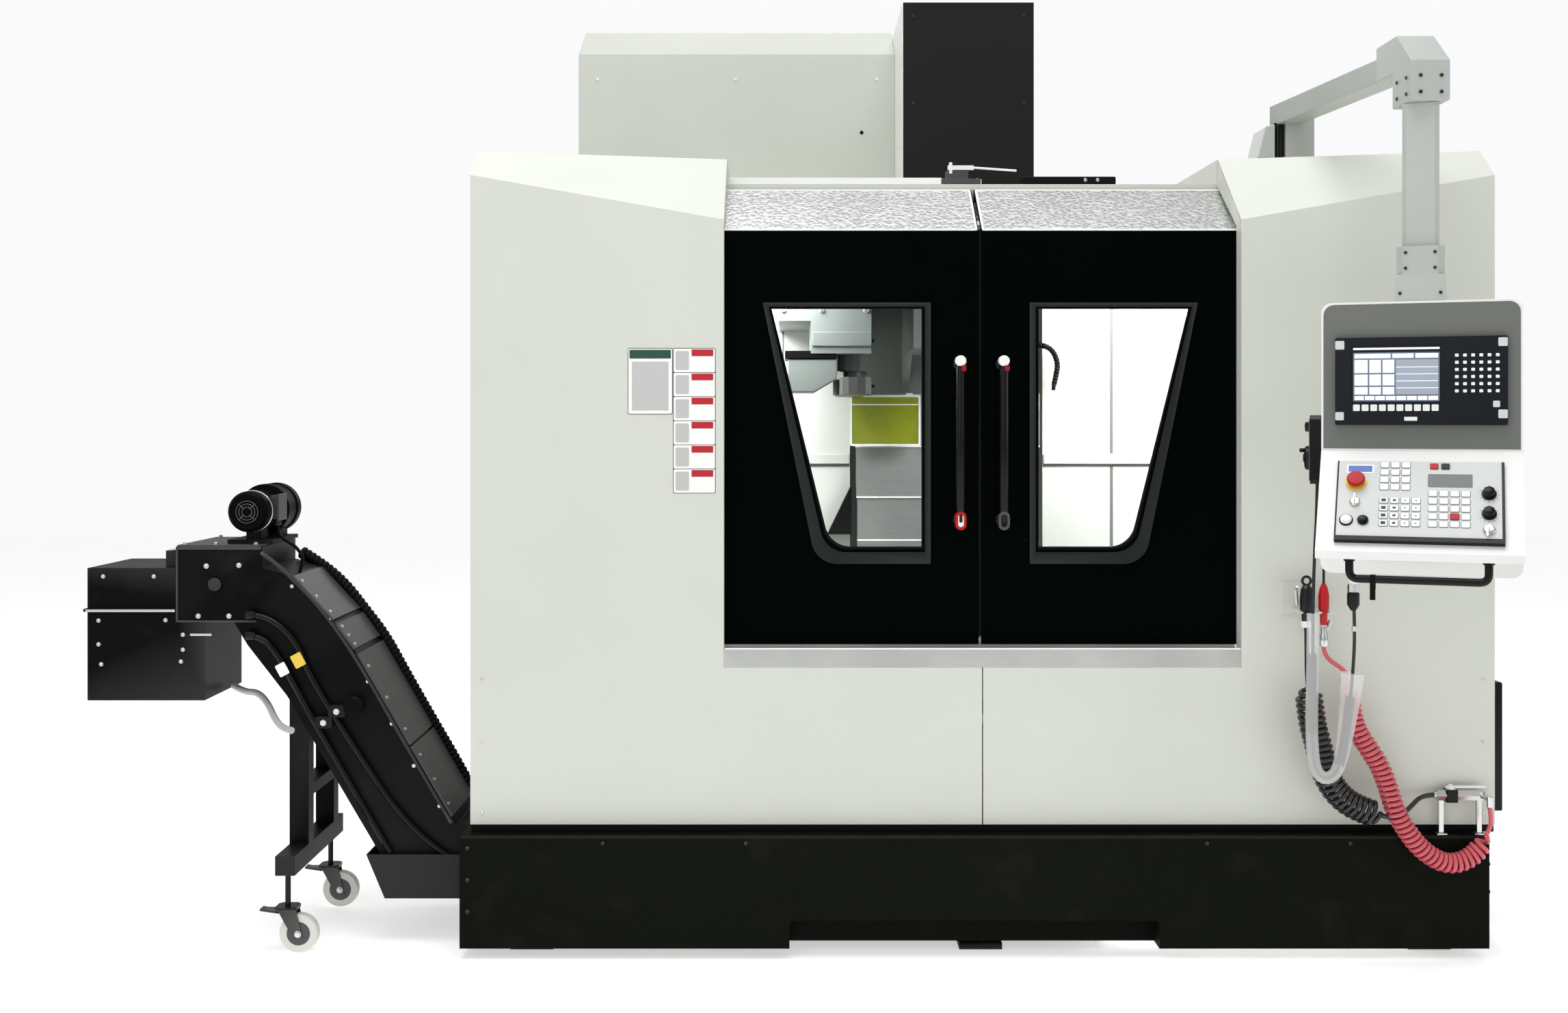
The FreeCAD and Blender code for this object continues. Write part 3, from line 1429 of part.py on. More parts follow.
# The cable gland under the pendant, from its axis.
GLAND_AT = ("-150", "0")


def pendant_housing():
    """Pendant shell: an upright display part and a sloping console with a small box below."""
    body = place_on_pendant(new_body("pendant_housing"))
    deep = "pendant_deep"
    profile = [
        (deep, "pendant_top"),
        (minus(deep), "pendant_top"),
        (minus(deep), "pendant_split"),
        ("-console_reach", "pendant_lip"),
        ("-console_reach", "pendant_under"),
        ("-80", "pendant_under"),
        ("-80", "pendant_low"),
        (deep, "pendant_low"),
    ]
    half = "pendant_width / 2"
    pad(body, "YZ", minus(half), half, profile)
    corner = number("pendant_top"), number("pendant_low")

    def ends(edge):
        if not along((0, 1, 0))(edge):
            return False
        level = edge.BoundBox.ZMin
        return abs(level - corner[0]) < 1 or abs(level - corner[1]) < 1

    round_edges(body, "24", ends)
    prism(body, "XY", "pendant_low - 32", "pendant_low", GLAND_AT[0], GLAND_AT[1], "24", 8)
    return body


def display_unit():
    """Screen bezel with its key field, set into the upright part."""
    body = place_on_pendant(new_body("display_unit"))
    half = "display_width / 2"
    front = "(-pendant_deep - bezel_thick)"
    outline = bevelled(minus(half), half, "display_low", "display_high", "4")
    pad(body, "XZ", front, "-pendant_deep", outline)
    screen = box(f"{minus(half)} + 42", f"{minus(half)} + 226", "display_low + 42", "display_high - 22")
    cut(body, "XZ", front, f"{front} + 4", screen)
    left, low = "(display_width / 2 - 106)", "(display_low + 52)"
    row = pad(body, "XZ", f"{front} - 1.5", front, box(left, f"{left} + 92", low, f"{low} + 10.5"))
    grid(body, row, 1, 0, 6, 14.5)
    return body


def place_on_slope(thing):
    """Places a sub-part that is drawn lying flat on the slope of the console."""
    fall = number("(pendant_split - pendant_lip) / (console_reach - pendant_deep)")
    turn_z = FreeCAD.Rotation(FreeCAD.Vector(0, 0, 1), number("pendant_yaw"))
    turn_x = FreeCAD.Rotation(FreeCAD.Vector(1, 0, 0), math.degrees(math.atan(fall)))
    thing.Placement.Rotation = turn_z.multiply(turn_x)
    half_way = "(pendant_deep + console_reach) / 2"
    yaw = "pendant_yaw * 1 deg"
    thing.setExpression("Placement.Base.x", bound(f"pendant_x + {half_way} * sin({yaw})"))
    thing.setExpression("Placement.Base.y", bound(f"-pendant_y - {half_way} * cos({yaw})"))
    thing.setExpression("Placement.Base.z", bound("(pendant_split + pendant_lip) / 2"))
    return thing


# Controls on the console, each (x, y) on its slope from the middle, in millimetres.
ESTOP_AT = ("-136", "45")
ESTOP_SEAT = "(operator_thick + 3)"
STEM_CLEAR = "0.3"
KNOBS_AT = [("146", "16"), ("146", "-38"), ("146", "-82")]
BUTTONS_AT = [("-154", "-62"), ("-118", "-62")]
# Fields of keys: rows, columns, and the left and low corner of the first key.
KEY_FIELDS = [(4, 3, -84, 24), (4, 4, -84, -76), (1, 3, 22, 84), (5, 4, 20, -76)]


def operator_panel():
    """Operator panel plate with rows of keys, two override knobs, a key switch and push buttons."""
    body = place_on_slope(new_body("operator_panel"))
    half = "operator_width / 2"
    deep = "operator_deep / 2"
    face = "operator_thick"
    pad(body, "XY", "0", face, bevelled(minus(half), half, minus(deep), deep, "4"))
    block(body, (minus(half), half), (f"-{deep} - operator_bar", minus(deep)), ("0", f"{face} + 4"))
    for rows, columns, left, low in KEY_FIELDS:
        row = box(left, left + 23 * columns - 5, low, low + 15)
        keys = pad(body, "XY", face, f"{face} + 2.5", row)
        if rows > 1:
            grid(body, keys, 1, 0, rows, 21)
    for x, y in KNOBS_AT:
        prism(body, "XY", face, f"{face} + 16", x, y, "32", 8)
    for x, y in BUTTONS_AT:
        prism(body, "XY", face, f"{face} + 9", x, y, "24", 8)
    prism(body, "XY", face, ESTOP_SEAT, ESTOP_AT[0], ESTOP_AT[1], "46", 12)
    well = f"{ESTOP_SEAT} - estop_travel - 1"
    cut(body, "XY", well, ESTOP_SEAT, ring(ESTOP_AT[0], ESTOP_AT[1], f"estop_stem + 2.1 * {STEM_CLEAR}", 12))
    return body


def estop_button():
    """Mushroom push button whose stem slides in the collar on the operator panel."""
    body = place_on_slope(new_body("estop_button"))
    x, y = ESTOP_AT
    cap = f"{ESTOP_SEAT} + estop_travel + 0.5"
    prism(body, "XY", cap, f"{cap} + 9", x, y, "estop_size", 20)
    prism(body, "XY", f"{cap} + 9", f"{cap} + 12.5", x, y, "estop_size - 8", 20)
    prism(body, "XY", f"{ESTOP_SEAT} - 0.5", cap, x, y, "estop_stem", 12)
    return body


def pendant_handle():
    """Bent tube handle under the console's front edge."""
    size = number("pull_tube")
    half = number("pull_span") / 2
    top = number("pendant_under")
    low = top - 44.0
    y = -number("console_reach") + 12.0
    bend = 14.0
    spots = [
        FreeCAD.Vector(-half, y, top),
        FreeCAD.Vector(-half, y, low + bend),
        FreeCAD.Vector(-half + bend, y, low),
        FreeCAD.Vector(half - bend, y, low),
        FreeCAD.Vector(half, y, low + bend),
        FreeCAD.Vector(half, y, top),
    ]
    profile = section_at(spots[0], (spots[1] - spots[0]).normalize(), size, 8)
    handle = doc.addObject("Part::Feature", "Handle")
    handle.Shape = Part.makePolygon(spots).makePipeShell([profile], True, False, 1)
    return place_on_pendant(keep(handle, "pendant_handle"))


def handwheel_box():
    """Hand unit hung on the left side of the pendant, with its axis selector."""
    body = place_on_pendant(new_body("handwheel_box"))
    x = ("-pendant_width / 2 - 28", "-pendant_width / 2 - 0.3")
    pad(body, "YZ", x[0], x[1], bevelled("-44", "40", "1205", "1368", "10"))
    prism(body, "YZ", f"{x[0]} - 14", x[0], "0", "1340", "24", 8)
    return body


def handwheel():
    """Hand wheel with a crank pin, turning about the pendant's X axis."""
    body = place_on_pendant(new_body("handwheel"))
    face = "(-pendant_width / 2 - 28.3)"
    prism(body, "YZ", f"{face} - 14", face, "0", "1266", "wheel_knob", 20)
    peg(body, "YZ", f"{face} - 18", f"{face} - 14", "0", "1266", "18")
    prism(body, "YZ", f"{face} - 26", f"{face} - 14", "0", "1284", "10", 6)
    return body


def tube_path(spots, radii):
    """Straight runs joined by tangent arcs."""
    edges = []
    at = spots[0]
    for i in range(1, len(spots) - 1):
        before = (spots[i] - spots[i - 1]).normalize()
        after = (spots[i + 1] - spots[i]).normalize()
        turn_by = before.getAngle(after)
        run = radii[i - 1] * math.tan(turn_by / 2)
        start = spots[i] - before * run
        end = spots[i] + after * run
        inward = (after - before).normalize()
        centre = spots[i] + inward * (radii[i - 1] / math.cos(turn_by / 2))
        edges.append(Part.LineSegment(at, start).toShape())
        edges.append(Part.Arc(start, centre - inward * radii[i - 1], end).toShape())
        at = end
    edges.append(Part.LineSegment(at, spots[-1]).toShape())
    return edges


def section_at(point, direction, size, sides=0):
    """Round section, or a regular one with few sides, square to the direction."""
    turn_to = FreeCAD.Rotation(FreeCAD.Vector(0, 0, 1), direction)
    if not sides:
        return Part.Wire([Part.Circle(point, direction, size / 2).toShape()])
    corners = []
    for step in range(sides + 1):
        way = 2 * math.pi * step / sides
        flat = FreeCAD.Vector(math.cos(way), math.sin(way), 0) * (size / 2)
        corners.append(point + turn_to.multVec(flat))
    corners[-1] = corners[0]
    return Part.makePolygon(corners)


def tube(spots, size, radii, sides=0):
    """A solid tube along straight runs and arcs."""
    edges = tube_path(spots, radii)
    path = Part.Wire(edges)
    profile = section_at(spots[0], (spots[1] - spots[0]).normalize(), size, sides)
    return path.makePipeShell([profile], True, False)


def cord_radii(spots):
    """Each bend as large as its two runs allow."""
    radii = []
    for i in range(1, len(spots) - 1):
        before = spots[i] - spots[i - 1]
        after = spots[i + 1] - spots[i]
        turn_by = before.getAngle(after)
        radii.append(0.45 * min(before.Length, after.Length) / math.tan(turn_by / 2))
    return radii


def biarc(p0, t0, p1, t1):
    """Two arcs that leave p0 along t0 and reach p1 along t1."""
    chord = p1 - p0
    total = t0 + t1
    a = 2 * (1 - t0.dot(t1))
    b = 2 * chord.dot(total)
    c = -chord.dot(chord)
    if abs(a) < 1e-9:
        reach = -c / b
    else:
        reach = (-b + math.sqrt(b * b - 4 * a * c)) / (2 * a)
    q0 = p0 + t0 * reach
    q1 = p1 - t1 * reach
    joint = (q0 + q1) * 0.5
    edges = []
    for start, corner, end in ((p0, q0, joint), (joint, q1, p1)):
        weight = (end - start).Length / (2 * (corner - start).Length)
        middle = (start + corner * (2 * weight) + end) * (1 / (2 + 2 * weight))
        edges.append(Part.Arc(start, middle, end).toShape())
    return edges


def air_gun():
    """Black blow gun hanging in its shelf, with a ring, a trigger lever and a collar for its hose."""
    body = new_body("air_gun")
    seat = "gun_shelf + 0.3"
    prism(body, "XY", "gun_shelf - 40", seat, "0", "0", "black_grip", 10)
    prism(body, "XY", seat, "gun_shelf + 66", "0", "0", "34", 10)
    prism(body, "XZ", "-5", "5", "0", "gun_shelf + 76", "28", 8, 0.5)
    cut(body, "XZ", "-5", "5", ring("0", "gun_shelf + 76", "14", 8, 0.5))
    lever = [
        ("-14", "gun_shelf + 62"),
        ("-20", "gun_shelf + 66"),
        ("-31", "gun_shelf + 58"),
        ("-25", "gun_shelf + 16"),
        ("-20", "gun_shelf + 16"),
        ("-24", "gun_shelf + 52"),
        ("-14", "gun_shelf + 50"),
    ]
    pad(body, "XZ", "-5", "5", lever)
    body.setExpression("Placement.Base.x", bound("black_gun_x"))
    body.setExpression("Placement.Base.y", bound("-gun_plane"))
    return body


def coolant_gun():
    """Red coolant gun with a thin nozzle and a valve body below its fork."""
    body = new_body("coolant_gun")
    seat = "gun_shelf + 0.3"
    prism(body, "XY", "gun_shelf - 88", "gun_shelf - 34", "0", "0", "22", 10)
    prism(body, "XY", "gun_shelf - 34", seat, "0", "0", "red_grip", 10)
    prism(body, "XY", seat, "gun_shelf + 56", "0", "0", "26", 10)
    prism(body, "XY", "gun_shelf + 56", "gun_shelf + 68", "0", "0", "18", 10)
    prism(body, "XY", "gun_shelf + 68", "gun_shelf + 160", "0", "0", "6.4", 8)
    body.setExpression("Placement.Base.x", bound("red_gun_x"))
    body.setExpression("Placement.Base.y", bound("-gun_plane"))
    return body


# The end of the red hose's stub.
RED_STUB_Y = "(-valve_y - 54)"


def valve_block():
    """Hexagonal air and coolant manifold on two posts on the base, with a hose stub at each end."""
    body = new_body("valve_block")
    y = "-valve_y"
    prism(body, "YZ", "valve_left", "valve_right", y, "valve_z", "valve_size", 6)
    block(body, ("valve_left + 22", "valve_left + 52"), (f"{y} - 17", f"{y} + 17"), ("valve_z - 17", "valve_z + 14"))
    for post in ("valve_left + 12", "valve_right - 14"):
        block(body, (f"{post} - 6", f"{post} + 6"), (f"{y} - 6", f"{y} + 6"), ("base_top", "valve_z"))
        block(body, (f"{post} - 14", f"{post} + 14"), (f"{y} - 14", f"{y} + 14"), ("base_top", "base_top + 5"))
    prism(body, "XZ", RED_STUB_Y, y, "valve_right - 8", "valve_z", "16", 8)
    prism(body, "XY", "valve_z - 20", "valve_z", "valve_right - 8", RED_STUB_Y, "16", 8)
    return body


def valve_lever():
    """Flat lever on the stem of the shut-off valve."""
    body = new_body("valve_lever")
    x, y = "valve_left + 37", "-valve_y"
    low = "valve_z + 14.3"
    prism(body, "XY", low, f"{low} + 8", x, y, "24", 12)
    peg(body, "XY", f"{low} + 8", f"{low} + 12", x, y, "10")
    block(body, (x, "valve_right + 4"), (f"{y} - 7", f"{y} + 7"), (f"{low} + 4", f"{low} + 8"))
    return body


def point(x, y, z):
    """A route point of a cord."""
    return FreeCAD.Vector(x, y, z)


def curl_points(line, coil_size, size, turns):
    """Points and directions of one helix that grows out of its middle line and ends on it."""
    radius = (coil_size - size) / 2
    places = Part.Wire(tube_path(line, cord_radii(line))).discretize(Number=600)
    last = len(places) - 1
    side = point(0, 1, 0)

    def middle(share):
        spot = min(max(share, 0.0), 1.0) * last
        low = min(int(spot), last - 1)
        return places[low] + (places[low + 1] - places[low]) * (spot - low)

    def helix(share):
        ahead = (middle(share + 0.01) - middle(share - 0.01)).normalize()
        across = ahead.cross(side).normalize()
        grow = min(1.0, share * turns, (1 - share) * turns)
        grow = (1 - math.cos(math.pi * max(grow, 0.0))) / 2
        way = 2 * math.pi * turns * share
        return middle(share) + (across * math.cos(way) + side * math.sin(way)) * (radius * grow)

    quarter = 0.25 / turns
    shares = [step * quarter for step in range(5)]
    shares += [(1.5 + 0.5 * step) / turns for step in range(2 * turns - 5)]
    shares += [1 - step * quarter for step in range(4, -1, -1)]
    step = 0.01 / turns
    ways = [(helix(share + step) - helix(share - step)).normalize() for share in shares]
    ways[0] = (line[1] - line[0]).normalize()
    ways[-1] = (line[-1] - line[-2]).normalize()
    return [helix(share) for share in shares], ways, [helix(n / 40 / turns) for n in range(40 * turns + 1)]


def curly_cord(label, lead_in, line, lead_out, coil_size, size, turns, straight):
    """A cord in one tube: a free stretch, one helix of turns along the line, and a free stretch."""
    spots, ways, fine = curl_points(line, coil_size, size, turns)
    before = lead_in + [spots[0] - ways[0] * straight, spots[0]]
    after = [spots[-1], spots[-1] + ways[-1] * straight] + lead_out
    edges = tube_path(before, cord_radii(before))
    for i in range(len(spots) - 1):
        edges += biarc(spots[i], ways[i], spots[i + 1], ways[i + 1])
    edges += tube_path(after, cord_radii(after))
    path = Part.Wire(edges)
    profile = section_at(before[0], (before[1] - before[0]).normalize(), size, CORD_SIDES)
    feature = doc.addObject("Part::Feature", "Cord")
    feature.Shape = path.makePipeShell([profile], True, False)
    section = CORD_SIDES / 2 * math.sin(2 * math.pi / CORD_SIDES) * (size / 2) ** 2
    gap = min(fine[i].distanceToPoint(fine[j]) for i in range(len(fine)) for j in range(i + 30, len(fine)))
    radii = [round(radius) for radius in cord_radii(before) + cord_radii(after)]
    share = feature.Shape.Volume / (section * path.Length)
    print(f"{label}: {path.Length:.0f} mm, volume share {share:.3f}, gap {gap - size:.1f} mm, radii {radii}")
    return keep(feature, label)


def air_hose():
    """Black curly hose from the blow gun to the left end of the valve block."""
    gun_x, gun_y = number("black_gun_x"), -number("gun_plane")
    plane = gun_y - 18
    lead_in = [point(gun_x, gun_y, number("gun_shelf - 40")), point(gun_x, gun_y - 3, 790)]
    line = [
        point(801, plane, 700),
        point(808, plane, 612),
        point(829, plane, 541),
        point(844, plane, 471),
        point(885, plane, 411),
        point(952, plane, 378),
        point(990, plane, 370),
    ]
    valve_x, valve_y, valve_z = number("valve_left"), -number("valve_y"), number("valve_z")
    lead_out = [point(1060, -1062, 384), point(1106, valve_y, valve_z), point(valve_x, valve_y, valve_z)]
    return curly_cord(
        "air_hose", lead_in, line, lead_out, number("black_coil"), number("hose_size"), BLACK_TURNS, 30
    )


def coolant_hose():
    """Red curly hose from the coolant gun round to the right stub of the valve block."""
    gun_x, gun_y = number("red_gun_x"), -number("gun_plane")
    plane = number(RED_STUB_Y)
    lead_in = [point(gun_x, gun_y, number("gun_shelf - 88")), point(gun_x, gun_y, 764)]
    line = [
        point(899, plane, 712),
        point(908, plane, 650),
        point(920, plane, 590),
        point(950, plane, 543),
        point(981, plane, 497),
        point(1003, plane, 440),
        point(1018, plane, 385),
        point(1046, plane, 335),
        point(1087, plane, 282),
        point(1147, plane, 247),
        point(1204, plane, 260),
        point(1241, plane, 300),
        point(1254, plane, 335),
    ]
    stub = point(number("valve_right - 8"), plane, number("valve_z - 20"))
    return curly_cord(
        "coolant_hose", lead_in, line, [stub], number("red_coil"), number("hose_size"), RED_TURNS, 20
    )


def handwheel_cable():
    """Fine cable from the gland under the pendant down in a loop and up to the hand unit."""
    spots = [
        point(846, -1284, number("pendant_low - 32")),
        point(848, -1284, 900),
        point(849, -1284, 830),
        point(845, -1284, 760),
        point(838, -1284, 690),
        point(829, -1284, 625),
        point(820, -1284, 565),
        point(806, -1283, 517),
        point(779, -1281, 503),
        point(757, -1278, 525),
        point(751, -1275, 578),
        point(751, -1271, 650),
        point(754, -1268, 730),
        point(756, -1265, 815),
        point(757, -1262, 900),
        point(760, -1259, 985),
        point(764, -1256, 1065),
        point(769, -1253, 1140),
        point(770, -1253, 1205),
    ]
    size = number("cable_size")
    feature = doc.addObject("Part::Feature", "Cord")
    feature.Shape = tube(spots, size, cord_radii(spots), CABLE_SIDES)
    print("handwheel_cable: radii", [round(radius) for radius in cord_radii(spots)])
    return keep(feature, "handwheel_cable")


def build():
    """Makes every sub-part."""
    base_pan()
    levelling_feet()
    machine_bed()
    column()
    front_panel(-1, "left_front_panel")
    gun_holder(front_panel(1, "right_front_panel"))
    side_panel(-1, "left_side_panel")
    side_panel(1, "right_side_panel")
    rear_panel()
    roof_panel()
    door_sill()
    splash_lining()
    magazine_cover()
    column_cover()
    electrical_cabinet()
    cabinet_door()
    coolant_tank()
    conveyor_casing()
    conveyor_belt()
    discharge_hood()
    conveyor_shaft()
    gear_motor()
    conveyor_stand()
    for place in ("front", "rear"):
        caster_fork(f"caster_{place}", f"{place}_caster_fork")
        caster_wheel(f"caster_{place}", f"{place}_caster_wheel")
    for side, name in ((-1, "left"), (1, "right")):
        door(side, f"{name}_door")
        window_glass(side, f"{name}_window")
        door_handle(side, f"{name}_door_handle")
    saddle()
    table()
    spindle_head()
    spindle()
    overlap = "cover_overlap"
    way_cover("upper_way_cover", 0, "cover_upper_low", "carriage_low - running_gap")
    way_cover("middle_way_cover", 1, "cover_middle_low", f"cover_upper_low + {overlap}")
    way_cover("lower_way_cover", 2, "cover_lower_low", f"cover_middle_low + {overlap}")
    changer_housing()
    tool_magazine()
    change_arm()
    arm_pivot()
    support_arm()
    pendant_post()
    pendant_housing()
    display_unit()
    operator_panel()
    estop_button()
    pendant_handle()
    handwheel_box()
    handwheel()
    air_gun()
    coolant_gun()
    valve_block()
    valve_lever()
    air_hose()
    coolant_hose()
    handwheel_cable()


build()
doc.recompute()
problems = []
for thing in doc.Objects:
    if "Invalid" in thing.State or "Error" in thing.State:
        problems.append(f"{thing.Label}: {thing.State}")
for thing in PARTS:
    if thing.Shape.isNull() or not thing.Shape.isValid() or not thing.Shape.Solids:
        problems.append(f"{thing.Label} has no valid solid")
if problems:
    raise ValueError("; ".join(problems))
os.makedirs("parts", exist_ok=True)
for thing in PARTS:
    thing.Shape.exportStep(f"parts/{thing.Label}.step")
print(len(PARTS), "sub-parts")
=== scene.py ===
"""Looks of a vertical machining center, in metres, +Z up, front towards -Y."""

import json
import logging
import math
from dataclasses import dataclass, field
from enum import Enum
from itertools import product
from typing import Iterable, Sequence

import bmesh
import bpy
from mathutils import Matrix, Vector

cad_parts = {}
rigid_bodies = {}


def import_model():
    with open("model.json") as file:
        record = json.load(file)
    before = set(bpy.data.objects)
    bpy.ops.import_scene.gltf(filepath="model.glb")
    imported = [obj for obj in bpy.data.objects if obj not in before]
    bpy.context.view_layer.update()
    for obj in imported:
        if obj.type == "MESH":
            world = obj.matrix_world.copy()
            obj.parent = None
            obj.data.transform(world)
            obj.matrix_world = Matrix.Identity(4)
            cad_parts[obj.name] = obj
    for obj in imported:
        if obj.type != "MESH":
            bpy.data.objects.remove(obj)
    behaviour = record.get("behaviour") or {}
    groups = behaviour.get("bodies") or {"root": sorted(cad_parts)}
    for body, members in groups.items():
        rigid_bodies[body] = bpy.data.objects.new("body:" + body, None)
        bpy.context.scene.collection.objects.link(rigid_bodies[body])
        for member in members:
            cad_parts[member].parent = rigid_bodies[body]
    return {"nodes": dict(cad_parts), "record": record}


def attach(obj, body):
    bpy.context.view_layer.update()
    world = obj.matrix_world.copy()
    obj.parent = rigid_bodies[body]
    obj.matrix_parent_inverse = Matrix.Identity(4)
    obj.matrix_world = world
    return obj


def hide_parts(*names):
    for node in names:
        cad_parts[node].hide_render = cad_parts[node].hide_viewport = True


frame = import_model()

logging.basicConfig(level=logging.INFO, format="%(message)s")
LOG = logging.getLogger("scene")

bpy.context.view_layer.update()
Spot = Sequence[float]
Colour = tuple[float, float, float]
Line = list[tuple[float, float]]
Tree = bpy.types.NodeTree
Socket = bpy.types.NodeSocket

# Directions of the machine
UP, DOWN = (0, 0, 1), (0, 0, -1)
FRONT, REAR = (0, -1, 0), (0, 1, 0)
LEFT, RIGHT = (-1, 0, 0), (1, 0, 0)

# Looks that all finishes share
COAT_ROUGHNESS = 0.12
PANE_IOR = 1.06
BUMP_DEPTH = 0.0006
ROUGH_SPREAD = 0.09
BROAD_NOISE, DUST_NOISE = 3.1, 9.0
RAMP_START, RAMP_END = 0.3, 0.7
BARE_METAL, DUST = (0.32, 0.32, 0.31), (0.16, 0.155, 0.14)
VALLEY = 0.35

# Edges, in degrees and metres
SMOOTH_ANGLE, BEVEL_ANGLE, NODE_BEVEL_ANGLE = 34, 40, 50
BEVEL_STEPS = 2
WELD = 0.00002

# The console's face over its own plane, and the hole in it for the stop button's stem
CONSOLE_FACE = 0.008
STOP_BORE = 0.0098
STOP_POINTS = 48

# Where the guns hang and the valve block stands
BLACK_GUN_X, RED_GUN_X, GUN_PLANE = 0.803, 0.846, -1.062
VALVE_Y, VALVE_Z = -1.021, 0.410

# A painted highlight strip on the way covers lies in the 0.5 mm gap from plate to plate, so it is thinner than that
COVER_EDGE_HIGHLIGHT = 0.0003


class Grain(Enum):
    """How the surface of a finish is worked."""

    PAINT = "paint"
    BRUSHED = "brushed"
    CAST = "cast"
    EMBOSSED = "embossed"
    MOULDED = "moulded"
    RUBBER = "rubber"
    GLASS = "glass"
    LIT = "lit"


class Axis(Enum):
    """The direction in which an outline is drawn out."""

    X = (1, 2, 0)
    Y = (0, 2, 1)
    Z = (0, 1, 2)


def fill(tree: Tree, node: bpy.types.Node, inputs: dict[str | int, object]) -> None:
    """Sets the inputs of a node, or links them where the value is another node's output.

    Args:
        tree: The tree that holds the node.
        node: The node.
        inputs: The value or output that goes into each input.
    """
    for name, value in inputs.items():
        if isinstance(value, Socket):
            tree.links.new(value, node.inputs[name])
        else:
            node.inputs[name].default_value = value


def socket(tree: Tree, kind: str, inputs: dict[str | int, object], output: str) -> Socket:
    """One output of a new shader node.

    Args:
        tree: The tree that takes the node.
        kind: The node's type, without its prefix.
        inputs: The value or output that goes into each input.
        output: The name of the output.

    Returns:
        The output.
    """
    node = tree.nodes.new("ShaderNode" + kind)
    fill(tree, node, inputs)
    return node.outputs[output]


@dataclass(frozen=True)
class Finish:
    """One finish of the machine, as a procedural material."""

    name: str
    colour: Colour
    slot: str
    rough: float = 0.4
    metal: float = 0.0
    coat: float = 0.0
    grain: Grain = Grain.PAINT
    scale: float = 900.0
    bump: float = 0.12
    mottle: float = 0.05
    wear: float = 0.0
    soil: float = 0.0
    glow: float = 0.0
    shine: float = 0.5
    clear: float = 0.0
    cover: float = 1.0

    def material(self) -> bpy.types.Material:
        """The material of this finish, made once.

        Returns:
            The node material that all pieces of this finish share.
        """
        made = bpy.data.materials.get(self.name)
        return made if made else self._build()

    def _build(self) -> bpy.types.Material:
        """Makes the node material."""
        made = bpy.data.materials.new(self.name)
        made.use_nodes = True
        tree = made.node_tree
        shader = next(n for n in tree.nodes if n.type == "BSDF_PRINCIPLED")
        place = socket(tree, "TexCoord", {}, "Object")
        stretch = (0.02, 1.0, 1.0) if self.grain is Grain.BRUSHED else (1.0, 1.0, 1.0)
        drawn = socket(tree, "Mapping", {"Scale": stretch, "Vector": place}, "Vector")
        broad = socket(tree, "TexNoise", {"Scale": BROAD_NOISE, "Detail": 4.0, "Vector": place}, "Fac")
        fine = self._fine(tree, drawn)
        colour = self._ground(tree, broad)
        if self.grain in (Grain.BRUSHED, Grain.EMBOSSED, Grain.CAST):
            valley = tuple(c * VALLEY for c in self.colour)
            most = 0.35 if self.grain is Grain.EMBOSSED else 0.14
            colour = self._over(tree, fine, colour, valley, (0.62, 0.3), most)
        if self.wear:
            edge = socket(tree, "NewGeometry", {}, "Pointiness")
            colour = self._over(tree, edge, colour, BARE_METAL, (0.53, 0.62), self.wear)
        if self.soil:
            patches = socket(tree, "TexNoise", {"Scale": DUST_NOISE, "Detail": 6.0, "Vector": place}, "Fac")
            colour = self._over(tree, patches, colour, DUST, (0.55, 0.78), self.soil)
        bump = {"Strength": self.bump, "Distance": BUMP_DEPTH, "Height": fine}
        looks = {
            "Metallic": self.metal, "Coat Weight": self.coat, "Coat Roughness": COAT_ROUGHNESS,
            "Specular IOR Level": self.shine, "Transmission Weight": self.clear, "Alpha": self.cover,
            "Base Color": colour, "Roughness": self._spread(tree, fine, broad),
            "Normal": socket(tree, "Bump", bump, "Normal"),
        }
        if self.grain is Grain.GLASS:
            looks["IOR"] = PANE_IOR
        if self.glow:
            looks |= {"Emission Color": colour, "Emission Strength": self.glow}
        fill(tree, shader, looks)
        return made

    def _fine(self, tree: Tree, place: Socket) -> Socket:
        """The grain: a fine noise, or cells where the finish is embossed."""
        if self.grain is Grain.EMBOSSED:
            return socket(tree, "TexVoronoi", {"Scale": self.scale, "Vector": place}, "Distance")
        return socket(tree, "TexNoise", {"Scale": self.scale, "Detail": 3.0, "Vector": place}, "Fac")

    def _ground(self, tree: Tree, share: Socket) -> Socket:
        """The finish's colour, a little darker and lighter in broad patches."""
        ramp = tree.nodes.new("ShaderNodeValToRGB")
        ends = ((RAMP_START, 1 - self.mottle), (RAMP_END, 1 + self.mottle))
        for element, (position, level) in zip(ramp.color_ramp.elements, ends):
            element.position = position
            element.color = (*(min(1.0, c * level) for c in self.colour), 1.0)
        tree.links.new(share, ramp.inputs["Fac"])
        return ramp.outputs["Color"]

    def _over(self, tree: Tree, share: Socket, under: Socket, top: Colour, spread: Spot, most: float) -> Socket:
        """A colour laid over another where the share passes from spread's start to its end."""
        run = {"From Min": spread[0], "From Max": spread[1], "To Max": most, "Value": share}
        mix = tree.nodes.new("ShaderNodeMix")
        mix.data_type = "RGBA"
        fill(tree, mix, {0: socket(tree, "MapRange", run, "Result"), 6: under, 7: (*top, 1.0)})
        return mix.outputs[2]

    def _spread(self, tree: Tree, fine: Socket, broad: Socket) -> Socket:
        """Roughness that varies a little with both noises."""
        both = tree.nodes.new("ShaderNodeMath")
        both.operation = "ADD"
        fill(tree, both, {0: fine, 1: broad})
        low, high = max(0.02, self.rough - ROUGH_SPREAD), min(1.0, self.rough + ROUGH_SPREAD)
        run = {"From Max": 2.0, "To Min": low, "To Max": high, "Value": both.outputs[0]}
        return socket(tree, "MapRange", run, "Result")


